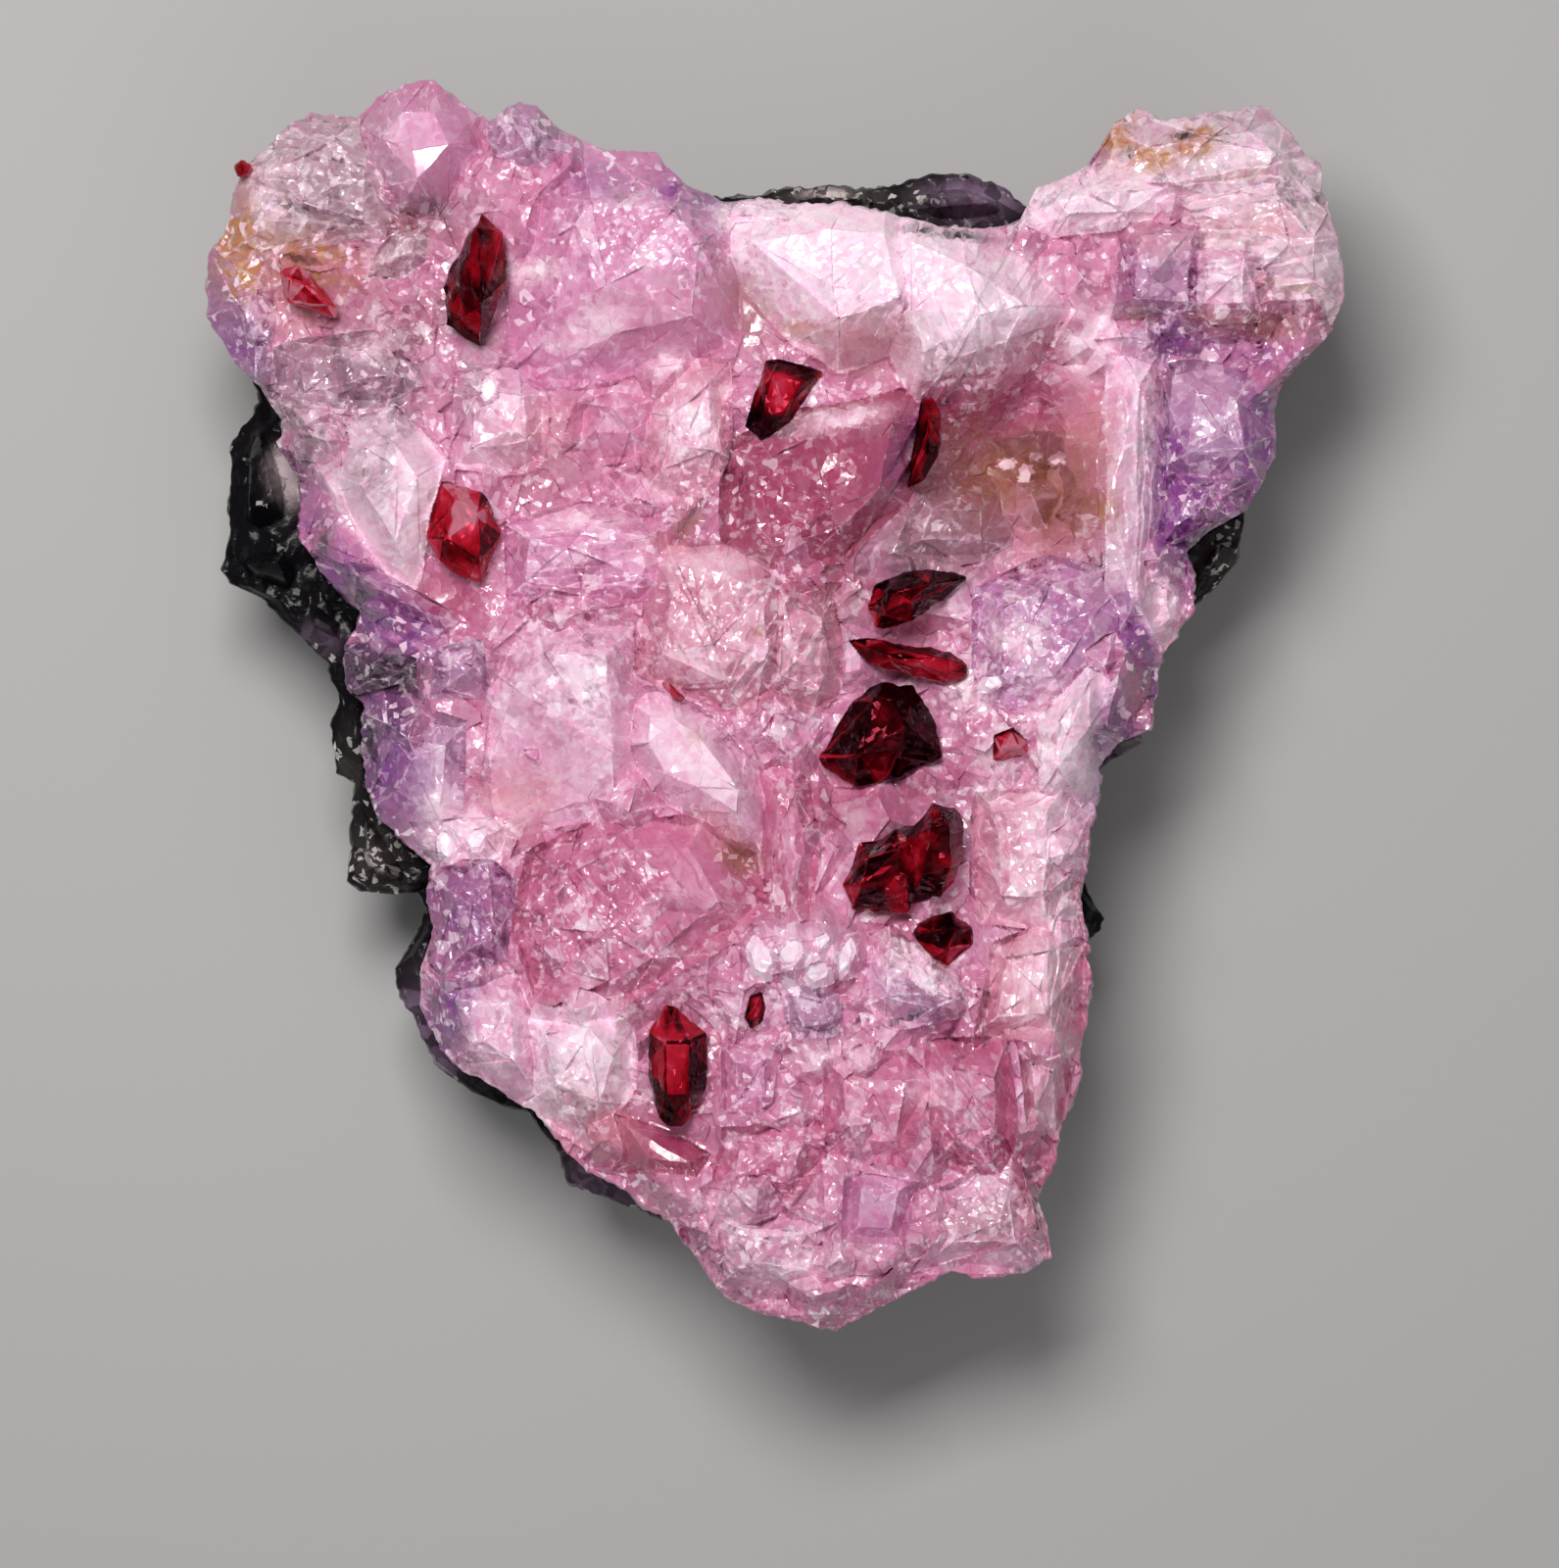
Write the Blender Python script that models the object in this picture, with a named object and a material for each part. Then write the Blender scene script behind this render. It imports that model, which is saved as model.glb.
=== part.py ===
"""Roselite specimen: a dark rock slab, a crust of pink calcite crystals on it, and red roselite
crystals set in sockets in the crust. It lies on its broken flat back.

Frame: +Z up out of the crystal face, +Y towards the two horns, origin under the middle of the part.
Lengths below are millimetres until MM turns them into metres.
"""
import math

import bmesh
import bpy
import numpy as np
from mathutils import Vector
from mathutils.geometry import delaunay_2d_cdt

MM = 0.001

# Driving dimensions
SEAM_HEIGHT = 9.0          # height of the seam between the rock and the crust
SEAM_WAVE = 0.5            # the seam rises and falls by this much
SEAM_WAVELENGTH = 34.0
GAP = 0.4                  # room between pieces that touch
CRUST_LEVEL = 14.0         # mean height of the crust between its crystals
CRUST_STEP = 2.6           # distance between the points of the crust's top
ROCK_STEP = 3.2            # distance between the points of the rock's top
UNDERSIDE_STEP = 6.0
SKIRT_DEPTH = 1.2          # how deep a crystal is rooted in the crust
SKIRT_CLEARANCE = 0.9      # least height of a crystal's root above the seam
ROOT_SPREAD = 1.16         # crystals' roots spread this much past the places given below
PEAK = 0.09                # a crystal's peak stands this share of its width above its crest
LEAN = 0.10                # slope of a crystal's crest in the direction it leans
SMALL_STEP = 6.2           # distance between the smaller crystals
SOCKET_GAP = 0.32          # room between a roselite crystal and its socket
FOOT_INSET = 4.4           # the flat foot ends about this far inside the rock's outline
MIDDLE = (0.0, 1.0)        # every corner of both outlines can be seen from here

# Outline of the crust, clockwise from the left horn
CRUST_OUTLINE = [
    (-30.0, 20.7), (-30.0, 24.0), (-29.2, 24.9), (-28.6, 26.5), (-28.2, 28.2), (-26.9, 29.3),
    (-25.3, 30.9), (-24.5, 31.5), (-21.9, 31.0), (-21.0, 32.1), (-19.3, 32.8), (-17.8, 32.9),
    (-16.4, 31.8), (-14.9, 30.8), (-14.0, 31.8), (-12.4, 31.5), (-11.2, 30.4), (-9.2, 29.5),
    (-6.0, 29.0), (-5.3, 27.9), (-4.5, 27.3), (-2.8, 26.6), (0.3, 26.4), (3.5, 26.1), (6.3, 25.7),
    (8.6, 25.0), (11.0, 24.9), (13.3, 25.6), (13.8, 27.2), (15.5, 27.8), (16.5, 28.5), (17.5, 29.7),
    (18.0, 30.8), (19.2, 31.5), (20.3, 30.7), (21.8, 31.0), (24.0, 31.3), (25.3, 31.8), (26.2, 31.6),
    (26.4, 31.0), (28.0, 29.1), (28.9, 28.5), (29.0, 27.0), (29.8, 24.0), (30.1, 21.4), (29.5, 19.9),
    (28.6, 18.9), (26.8, 17.1), (26.6, 15.0), (26.5, 13.5), (25.8, 12.0), (25.0, 10.4), (23.0, 9.3),
    (21.8, 8.2), (22.2, 6.6), (22.1, 4.9), (20.4, 2.8), (20.0, 0.0), (19.9, -1.2), (18.0, -1.9),
    (17.2, -3.2), (17.0, -5.7), (16.5, -6.3), (16.3, -8.4), (16.2, -10.5), (16.4, -12.0),
    (16.8, -14.0), (16.6, -16.0), (16.1, -19.2), (15.3, -21.9), (14.9, -24.1), (14.0, -26.0),
    (14.5, -27.4), (14.7, -29.0), (13.1, -29.8), (11.2, -30.1), (8.8, -29.9), (7.0, -31.0),
    (4.6, -32.2), (3.1, -32.9), (1.3, -32.4), (-0.8, -32.0), (-2.6, -31.2), (-4.0, -29.0),
    (-5.6, -27.2), (-7.2, -25.8), (-9.6, -24.6), (-11.2, -23.4), (-12.4, -21.6), (-14.2, -20.2),
    (-16.4, -19.2), (-17.8, -17.6), (-18.6, -15.6), (-18.4, -13.4), (-17.9, -11.4), (-18.2, -9.5),
    (-18.0, -8.3), (-19.4, -7.2), (-20.9, -5.7), (-21.6, -3.4), (-21.6, -1.8), (-21.5, 0.0),
    (-22.5, 1.2), (-22.5, 2.8), (-21.8, 5.1), (-23.9, 7.2), (-25.0, 9.0), (-25.0, 12.0),
    (-26.2, 14.0), (-26.0, 15.2), (-27.2, 17.0), (-28.5, 18.2), (-29.2, 19.5),
]

# Outline of the rock: it shows past the crust at the left, along the top middle and in small bits
ROCK_OUTLINE = [
    (-28.2, 20.4), (-28.4, 23.6), (-27.2, 26.6), (-25.4, 29.2), (-23.0, 30.0), (-20.6, 31.0),
    (-18.0, 31.3), (-15.6, 29.8), (-12.4, 30.0), (-9.2, 28.6), (-6.0, 27.9), (-4.5, 27.6),
    (-3.3, 27.2), (-1.0, 27.2), (1.3, 27.8), (5.7, 27.8), (8.4, 28.5), (10.0, 28.4), (12.3, 27.8),
    (13.8, 26.6), (15.6, 26.8), (18.2, 28.6), (20.4, 29.4), (24.6, 30.2), (27.2, 28.0), (28.2, 24.6),
    (28.6, 21.6), (26.8, 19.6), (25.2, 16.4), (24.8, 13.0), (25.2, 10.6), (24.8, 8.0), (23.7, 6.5),
    (22.1, 5.2), (20.6, 4.2), (19.4, 2.0), (19.2, 0.0), (19.6, -1.8), (18.0, -2.7), (16.4, -3.9),
    (15.6, -6.5), (16.4, -8.6), (16.9, -9.9), (17.6, -11.1), (17.3, -11.9), (15.9, -12.6),
    (16.0, -16.0), (15.2, -20.0), (13.8, -24.4), (13.0, -27.6), (10.0, -28.6), (6.4, -29.4),
    (3.0, -31.0), (-0.6, -30.6), (-2.8, -29.0), (-4.6, -27.6), (-7.9, -26.6), (-10.0, -25.7),
    (-11.0, -25.2), (-11.6, -23.2), (-13.0, -21.6), (-16.0, -20.4), (-17.8, -19.1), (-19.6, -16.0),
    (-20.1, -13.8), (-19.2, -12.4), (-18.4, -10.6), (-19.0, -9.8), (-20.3, -9.9), (-21.8, -9.7),
    (-22.6, -9.1), (-22.4, -5.9), (-22.4, -4.0), (-23.3, -3.4), (-23.6, -0.9), (-23.1, 0.3),
    (-23.8, 2.5), (-25.5, 4.0), (-27.4, 5.9), (-29.0, 6.7), (-29.5, 7.4), (-29.0, 9.0),
    (-28.9, 12.0), (-29.1, 13.8), (-28.5, 15.0), (-27.3, 16.3), (-28.0, 17.8),
]

# Swells and hollows of the crust: x, y, radius, rise
CRUST_SWELLS = [
    (5.0, 22.0, 7.0, 2.2), (-8.5, 22.5, 6.0, 1.6), (24.0, 25.0, 6.5, 1.2), (-18.0, 29.0, 4.0, 0.8),
    (-27.5, 21.5, 3.5, -1.4), (-24.0, 17.0, 4.0, -0.6), (-19.5, 12.0, 4.0, 1.0), (2.5, 11.5, 4.5, 1.3),
    (14.2, 12.6, 3.6, -3.6), (10.5, 13.6, 3.0, -1.6), (22.6, 18.6, 2.4, -1.8), (23.5, 12.5, 3.0, -0.8),
    (-10.0, 13.0, 3.0, -1.2), (-9.5, 4.0, 6.0, 1.0), (-1.0, 4.0, 4.5, 1.2), (7.0, 2.0, 3.0, -1.4),
    (-1.8, -7.8, 1.8, -2.2), (-14.0, -6.8, 2.4, -1.4), (-7.0, -11.0, 5.5, 1.4), (8.0, -8.0, 3.0, -1.0),
    (3.0, -13.0, 4.0, 0.8), (15.0, -0.5, 3.0, 1.0), (13.0, -12.0, 4.0, 0.6), (-5.0, -19.0, 2.4, -1.0),
    (4.0, -24.0, 6.0, 0.8), (13.0, -25.0, 2.4, -1.0), (-22.0, -2.0, 3.0, -1.2),
]

# Crystals of the crust. Each has a root, as x, y, and a crest, as x, y, rise above the crust's level.
CRUST_CRYSTALS = {
    "left horn cleavage block": (
        [(-28.6, 24.4), (-28.2, 28.0), (-25.8, 30.2), (-22.0, 30.6), (-19.8, 28.0), (-20.4, 24.8)],
        [(-27.0, 25.5, 0.6), (-26.4, 28.2, 1.2), (-23.5, 29.6, 2.1), (-21.4, 28.0, 2.3), (-21.6, 25.6, 1.4)]),
    "left horn round crystal": (
        [(-21.8, 27.6), (-21.6, 30.6), (-20.0, 32.4), (-18.2, 32.6), (-16.0, 31.4), (-15.4, 29.2),
         (-17.6, 26.2), (-20.0, 26.2)],
        [(-20.6, 29.8, 2.4), (-19.4, 31.2, 2.4), (-17.8, 31.2, 2.6), (-17.0, 29.4, 2.8), (-18.6, 27.6, 2.8)]),
    "left horn small peak": (
        [(-15.0, 29.0), (-14.6, 31.0), (-13.8, 31.6), (-12.2, 31.2), (-10.8, 29.4), (-12.0, 28.2)],
        [(-13.8, 30.6, 1.8), (-12.6, 30.4, 2.0), (-12.8, 29.4, 2.2)]),
    "leaf crystal": (
        [(-21.6, 22.3), (-20.6, 24.6), (-18.2, 25.5), (-18.1, 23.6), (-19.4, 22.2)],
        [(-20.5, 23.3, 1.3), (-18.9, 24.7, 1.6), (-18.9, 23.9, 1.5)]),
    "left margin crystal": (
        [(-29.6, 20.9), (-29.6, 24.0), (-26.6, 24.4), (-26.2, 20.0), (-27.6, 17.6)],
        [(-28.7, 21.9, 1.0), (-28.3, 23.2, 1.2), (-27.2, 22.6, 1.5), (-27.4, 19.4, 1.0)]),
    "left field": (
        [(-26.0, 15.6), (-26.4, 19.2), (-23.0, 19.8), (-19.6, 20.0), (-18.4, 17.0), (-21.0, 15.4)],
        [(-24.8, 16.6, 1.2), (-25.0, 18.2, 1.4), (-21.6, 18.8, 1.7), (-20.0, 17.5, 1.7)]),
    "great crystal": (
        [(-14.2, 17.2), (-13.9, 22.0), (-12.4, 26.0), (-9.9, 28.4), (-4.8, 27.5), (-2.5, 25.0),
         (-2.6, 19.0), (-4.8, 18.2), (-8.2, 17.4), (-11.0, 16.8)],
        [(-11.8, 20.6, 1.3), (-10.4, 25.2, 2.5), (-9.5, 26.4, 2.8), (-5.2, 25.9, 3.7), (-3.9, 24.2, 3.9),
         (-4.2, 20.4, 2.8), (-8.4, 19.4, 1.8)]),
    "white ridge west": (
        [(-2.8, 25.3), (0.0, 26.0), (4.0, 26.2), (7.0, 25.6), (7.6, 22.0), (6.6, 19.2), (3.2, 17.9),
         (0.6, 19.4), (-2.4, 23.0)],
        [(-1.0, 24.2, 2.4), (3.0, 24.9, 3.2), (5.8, 24.6, 3.4), (6.6, 21.2, 3.4), (3.4, 20.2, 2.8)]),
    "white ridge east": (
        [(6.0, 25.4), (10.0, 24.6), (13.2, 23.0), (15.4, 20.8), (14.2, 18.8), (11.2, 16.5), (7.6, 16.5),
         (6.0, 20.0)],
        [(7.2, 24.2, 3.5), (10.0, 23.0, 3.9), (13.2, 20.9, 3.4), (12.2, 19.1, 3.2), (9.6, 18.2, 3.4),
         (7.9, 18.4, 3.4), (7.2, 20.6, 3.5)]),
    "white layer": (
        [(-3.0, 26.5), (3.5, 26.0), (5.5, 25.2), (-3.0, 24.6)],
        [(-2.0, 25.8, 1.2), (3.6, 25.4, 1.6)]),
    "white crest": (
        [(13.5, 25.2), (14.2, 27.1), (16.0, 28.0), (21.5, 28.4), (22.6, 26.0), (19.0, 25.0), (15.0, 24.6)],
        [(14.9, 26.5, 2.0), (20.6, 27.2, 2.4), (18.5, 25.9, 2.4), (15.5, 25.7, 2.2)]),
    "right horn upper plate": (
        [(18.0, 30.4), (19.2, 31.1), (21.2, 30.4), (25.2, 31.4), (26.3, 30.8), (28.4, 28.4), (28.7, 25.8),
         (20.8, 25.6), (17.0, 28.2)],
        [(19.8, 29.4, 1.8), (24.8, 30.2, 2.0), (26.4, 29.0, 2.2), (26.0, 28.4, 2.3), (20.7, 27.4, 2.5)]),
    "right horn lower plate": (
        [(20.8, 27.2), (26.0, 28.2), (28.8, 26.0), (29.4, 23.8), (29.7, 21.5), (25.0, 20.4), (22.4, 21.0)],
        [(21.8, 26.0, 2.3), (26.4, 26.6, 2.4), (28.4, 24.6, 1.7), (28.4, 22.4, 0.8), (24.4, 21.8, 1.0)]),
    "right horn purple block": (
        [(18.0, 20.6), (18.4, 25.7), (22.8, 25.8), (22.6, 20.4)],
        [(18.9, 21.4, 2.4), (19.2, 24.7, 2.4), (21.8, 24.8, 2.6), (21.8, 21.2, 2.4)]),
    "right horn white block": (
        [(21.9, 20.4), (22.0, 24.3), (25.6, 24.2), (25.6, 20.4)],
        [(22.6, 21.2, 2.8), (22.8, 23.4, 3.0), (24.6, 23.4, 2.8), (24.6, 21.2, 2.6)]),
    "small fan": (
        [(19.4, 18.6), (19.6, 21.4), (23.2, 21.2), (22.4, 18.4)],
        [(20.4, 19.6, 1.8), (21.2, 20.6, 2.4), (22.2, 19.8, 2.0)]),
    "right upright ridge": (
        [(17.8, 4.4), (17.5, 12.0), (18.0, 18.4), (20.6, 18.0), (21.0, 11.0), (20.6, 4.6)],
        [(19.1, 5.6, 1.5), (18.9, 11.0, 2.4), (19.3, 17.0, 2.4)]),
    "violet slab": (
        [(20.6, 12.6), (20.8, 17.8), (25.2, 17.4), (26.1, 14.6), (25.6, 12.2), (22.5, 11.6)],
        [(21.8, 13.4, 1.6), (22.4, 16.6, 2.0), (24.4, 16.2, 1.9), (24.8, 13.6, 1.5)]),
    "violet step": (
        [(20.5, 8.0), (20.8, 12.6), (25.2, 11.8), (24.4, 10.2), (22.2, 8.8)],
        [(21.3, 9.6, 1.1), (22.0, 11.6, 1.5), (24.0, 11.2, 1.1)]),
    "centre block": (
        [(-2.4, 8.2), (-2.2, 13.6), (1.6, 15.2), (6.6, 16.2), (7.4, 14.0), (6.6, 10.6), (5.0, 9.6),
         (3.6, 7.6), (0.0, 6.8)],
        [(-1.0, 9.6, 1.5), (-0.9, 12.6, 2.2), (2.0, 14.0, 3.0), (6.2, 14.8, 3.5), (5.6, 11.4, 3.0),
         (3.6, 9.4, 2.2), (0.2, 8.4, 1.5)]),
    "centre druse block": (
        [(-7.0, 11.0), (-7.0, 15.4), (-4.6, 18.4), (-2.1, 18.0), (-2.1, 13.0), (-4.0, 10.2)],
        [(-5.8, 12.4, 1.6), (-5.4, 15.2, 2.0), (-3.4, 16.8, 2.2), (-3.2, 13.4, 2.0)]),
    "pale crystal": (
        [(-17.0, 12.5), (-16.8, 17.6), (-13.6, 18.0), (-11.8, 16.0), (-12.0, 13.0), (-13.6, 12.1)],
        [(-15.8, 13.5, 1.9), (-15.6, 16.6, 2.1), (-13.2, 16.4, 2.3), (-12.9, 14.0, 2.1)]),
    "left great block": (
        [(-22.9, 11.2), (-22.6, 14.8), (-20.0, 15.4), (-17.4, 13.0), (-18.8, 9.0), (-18.9, 6.0),
         (-20.4, 6.8), (-21.8, 8.8)],
        [(-21.6, 11.6, 2.2), (-21.4, 13.6, 2.2), (-19.8, 13.8, 2.4), (-18.6, 12.0, 2.5), (-19.8, 8.6, 2.4)]),
    "left lower face": (
        [(-23.4, 7.2), (-22.0, 8.0), (-18.8, 5.9), (-16.0, 4.4), (-17.6, 3.1), (-21.6, 5.4)],
        [(-22.0, 6.9, 0.9), (-18.4, 5.0, 1.3)]),
    "banded block": (
        [(-13.9, 5.4), (-13.9, 9.6), (-10.0, 10.6), (-5.4, 9.8), (-5.4, 6.0), (-10.0, 4.8)],
        [(-13.0, 6.6, 1.0), (-12.8, 8.8, 1.4), (-9.6, 9.6, 2.2), (-6.6, 8.8, 2.4), (-6.8, 6.8, 1.9),
         (-10.0, 6.2, 1.3)]),
    "fan west": (
        [(-7.0, 1.8), (-6.6, 6.6), (-5.4, 8.6), (-2.4, 8.2), (0.4, 7.0), (0.6, 2.0), (-1.6, -0.2),
         (-4.2, 1.0)],
        [(-5.8, 2.8, 1.9), (-5.0, 7.4, 2.4), (-2.6, 7.0, 2.8), (-0.5, 5.9, 2.8), (-0.4, 2.4, 2.4),
         (-2.4, 1.2, 2.0)]),
    "fan east": (
        [(-0.4, 0.6), (0.0, 6.6), (3.2, 5.6), (3.8, 2.8), (3.6, 0.8), (1.8, -0.4)],
        [(0.4, 1.6, 1.8), (0.6, 5.6, 2.2), (2.6, 4.6, 1.9), (3.0, 2.4, 1.6), (2.4, 0.8, 1.5)]),
    "middle left block": (
        [(-15.2, -5.8), (-15.0, 2.0), (-12.4, 4.4), (-7.8, 3.8), (-7.4, -3.0), (-9.0, -6.0)],
        [(-13.8, -4.6, 0.8), (-13.6, 1.0, 1.8), (-12.0, 2.8, 2.4), (-8.7, 2.6, 2.8), (-8.4, -2.4, 2.0),
         (-9.8, -4.8, 1.0)]),
    "pale plate": (
        [(-7.4, 0.0), (-7.6, -2.4), (-6.4, -4.6), (-4.0, -5.6), (-1.0, -7.2), (-0.6, -4.4),
         (-2.0, -2.0), (-3.4, -0.4), (-4.9, 0.0), (-6.3, 0.9)],
        [(-6.4, -0.5, 2.6), (-6.5, -1.9, 2.6), (-5.6, -3.5, 2.6), (-3.9, -4.2, 2.8), (-1.9, -5.6, 2.8),
         (-1.8, -4.3, 3.0), (-3.9, -1.6, 3.0), (-5.1, -0.7, 2.8)]),
    "disc crystal": (
        [(-13.6, -12.0), (-12.6, -8.0), (-9.4, -6.2), (-4.0, -6.0), (-2.2, -7.6), (-1.1, -10.6),
         (-2.2, -12.4), (-6.8, -14.8), (-9.0, -16.2), (-12.4, -15.4)],
        [(-11.8, -11.6, 1.0), (-10.8, -8.8, 1.8), (-8.4, -7.6, 2.4), (-4.4, -7.4, 2.9), (-2.9, -10.2, 2.8),
         (-6.0, -9.5, 3.0), (-6.2, -13.2, 1.6), (-8.6, -14.4, 1.2), (-11.0, -13.8, 1.0)]),
    "left margin flow north": (
        [(-17.9, -9.2), (-17.6, -14.0), (-14.0, -13.6), (-13.4, -9.6), (-15.4, -7.8)],
        [(-16.8, -9.8, 1.4), (-16.2, -12.8, 1.6), (-14.6, -12.0, 1.8), (-14.8, -9.4, 1.8)]),
    "left margin flow south": (
        [(-17.9, -14.4), (-16.8, -18.4), (-12.8, -20.2), (-12.4, -17.0), (-14.0, -13.4)],
        [(-16.8, -15.4, 1.2), (-16.0, -17.8, 1.2), (-13.6, -18.6, 1.6), (-13.8, -15.6, 1.8)]),
    "lower left crystals": (
        [(-13.0, -16.0), (-12.4, -20.4), (-9.6, -22.4), (-7.3, -20.6), (-7.4, -16.6), (-10.0, -15.4)],
        [(-12.0, -17.2, 1.6), (-11.4, -19.8, 1.6), (-9.2, -20.8, 1.7), (-8.4, -18.4, 1.7), (-9.6, -16.8, 1.7)]),
    "centre column": (
        [(-0.8, -3.4), (-0.9, -7.6), (0.0, -11.4), (2.0, -11.6), (2.6, -8.0), (2.0, -4.4), (0.6, -2.6)],
        [(0.2, -4.4, 1.8), (0.4, -7.2, 1.8), (1.0, -10.4, 1.6), (1.6, -7.4, 1.7), (1.2, -4.6, 1.7)]),
    "white group": (
        [(-1.8, -12.6), (-1.4, -14.2), (1.0, -15.0), (4.2, -14.4), (4.4, -12.0), (2.0, -11.2), (-0.6, -11.2)],
        [(-0.8, -12.8, 1.8), (1.2, -13.8, 2.3), (3.4, -13.4, 2.1), (3.0, -12.2, 2.1), (0.2, -12.0, 2.1)]),
    "lower right wedge": (
        [(5.0, -12.2), (4.8, -15.8), (6.2, -17.0), (9.4, -16.4), (10.6, -15.2), (8.8, -14.2), (6.4, -11.8)],
        [(6.2, -12.6, 2.2), (5.9, -15.2, 1.9), (8.4, -15.8, 2.0), (9.5, -15.3, 2.3), (7.4, -13.8, 2.6)]),
    "lilac face": (
        [(0.2, -14.4), (1.0, -17.6), (3.8, -17.4), (3.6, -15.0), (1.0, -13.8)],
        [(0.8, -15.0, 1.4), (1.6, -16.8, 1.4), (3.1, -16.6, 1.4), (2.6, -15.5, 1.6)]),
    "lower middle crystals": (
        [(-2.8, -17.8), (-2.7, -21.4), (0.4, -21.4), (0.6, -17.8)],
        [(-2.0, -18.7, 1.4), (-1.8, -20.6, 1.4), (-0.4, -20.4, 1.6), (-0.4, -18.6, 1.6)]),
    "lower smooth face": (
        [(-8.6, -21.2), (-7.8, -24.2), (-4.2, -25.0), (-3.0, -23.2), (-6.6, -22.6)],
        [(-7.6, -22.2, 0.9), (-6.8, -23.5, 1.1), (-4.4, -24.0, 1.2)]),
    "lower field west": (
        [(-2.8, -21.9), (-3.6, -25.6), (1.0, -26.4), (3.0, -24.0), (2.2, -21.2)],
        [(-1.8, -22.8, 1.2), (-2.0, -24.8, 1.2), (0.8, -25.0, 1.4), (1.6, -22.8, 1.4)]),
    "lower field middle": (
        [(2.6, -18.4), (2.6, -23.6), (7.0, -24.4), (8.6, -20.0), (6.6, -17.8)],
        [(3.8, -19.6, 1.4), (3.8, -22.6, 1.4), (6.4, -22.8, 1.6), (7.0, -19.6, 1.6)]),
    "lower field east": (
        [(8.0, -17.8), (8.4, -24.0), (12.4, -25.4), (13.0, -22.0), (12.4, -17.6)],
        [(9.4, -19.0, 1.8), (9.6, -22.8, 1.8), (11.6, -24.0, 1.8), (11.6, -19.4, 1.8)]),
    "lower violet face": (
        [(3.6, -24.4), (3.4, -28.4), (7.0, -28.6), (8.0, -25.0)],
        [(4.6, -25.2, 1.4), (4.4, -27.4, 1.2), (6.2, -27.4, 1.4), (6.6, -25.4, 1.4)]),
    "tip west": (
        [(-3.4, -26.6), (-2.4, -30.2), (2.8, -31.2), (3.6, -27.0), (0.4, -25.8)],
        [(-2.0, -27.4, 1.0), (-1.2, -29.2, 1.0), (1.8, -29.6, 1.1), (2.2, -27.6, 1.2)]),
    "tip east": (
        [(8.4, -25.0), (8.2, -29.2), (13.8, -29.2), (13.8, -26.4), (12.6, -23.4)],
        [(9.6, -26.0, 1.1), (9.6, -28.2, 0.9), (12.8, -28.2, 0.9), (12.4, -25.4, 1.3)]),
    "right margin north": (
        [(10.6, -4.6), (10.9, -11.4), (14.6, -12.0), (15.7, -8.0), (15.6, -4.0)],
        [(11.8, -5.6, 1.6), (12.0, -10.0, 1.6), (14.2, -10.0, 1.7), (14.4, -5.4, 1.8)]),
    "right margin middle": (
        [(11.2, -12.4), (10.4, -17.4), (15.2, -17.8), (15.8, -13.0), (13.6, -11.4)],
        [(12.2, -13.2, 1.4), (11.8, -16.2, 1.4), (14.4, -16.2, 1.6), (14.4, -12.8, 1.6)]),
    "right margin south": (
        [(12.6, -18.0), (13.0, -22.6), (14.8, -22.0), (15.5, -18.6)],
        [(13.6, -18.8, 1.1), (13.8, -21.2, 0.9), (14.7, -19.2, 1.0)]),
    "right slope": (
        [(11.0, 0.4), (10.8, 6.0), (14.0, 8.0), (18.6, 6.8), (19.0, 3.6), (15.6, 0.4), (13.0, -0.4)],
        [(12.0, 1.6, 1.4), (12.2, 5.2, 1.7), (14.6, 6.4, 2.0), (17.2, 5.2, 1.8), (14.8, 1.6, 1.6)]),
    "right bright ridge": (
        [(14.0, -4.4), (13.9, -0.4), (16.4, 2.8), (18.6, 2.4), (17.6, -1.6), (16.4, -4.4)],
        [(14.9, -3.2, 1.8), (15.0, -0.8, 2.0), (16.6, 1.4, 1.9), (16.6, -1.2, 1.5)]),
    "hollow druse": (
        [(6.2, 7.9), (7.6, 11.2), (12.0, 11.8), (12.8, 8.6), (10.8, 7.4)],
        [(7.8, 8.8, 1.6), (8.4, 10.4, 1.7), (11.0, 10.4, 1.8), (11.0, 8.8, 1.7)]),
    "violet bank": (
        [(-21.2, -0.6), (-21.0, -5.0), (-18.2, -7.6), (-15.8, -5.0), (-16.0, -0.4), (-18.6, 0.4)],
        [(-20.0, -1.6, 1.1), (-19.8, -4.4, 1.0), (-17.6, -6.0, 1.2), (-17.2, -2.0, 1.4)]),
    "lavender step": (
        [(-18.4, 0.2), (-18.0, 3.2), (-15.2, 4.0), (-14.6, 0.4)],
        [(-17.2, 1.0, 1.2), (-16.8, 2.5, 1.4), (-15.8, 2.2, 1.4)]),
    "dark lump": (
        [(-22.3, 0.8), (-22.2, 2.9), (-18.4, 3.0), (-18.6, 0.4)],
        [(-21.4, 1.3, 0.9), (-21.2, 2.3, 1.0), (-19.4, 1.8, 1.1)]),
    "small white crystals": (
        [(-18.0, -5.8), (-17.4, -8.2), (-14.4, -8.2), (-13.8, -5.8)],
        [(-16.8, -6.5, 1.6), (-16.4, -7.3, 1.6), (-15.2, -6.8, 1.6)]),
}

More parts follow.
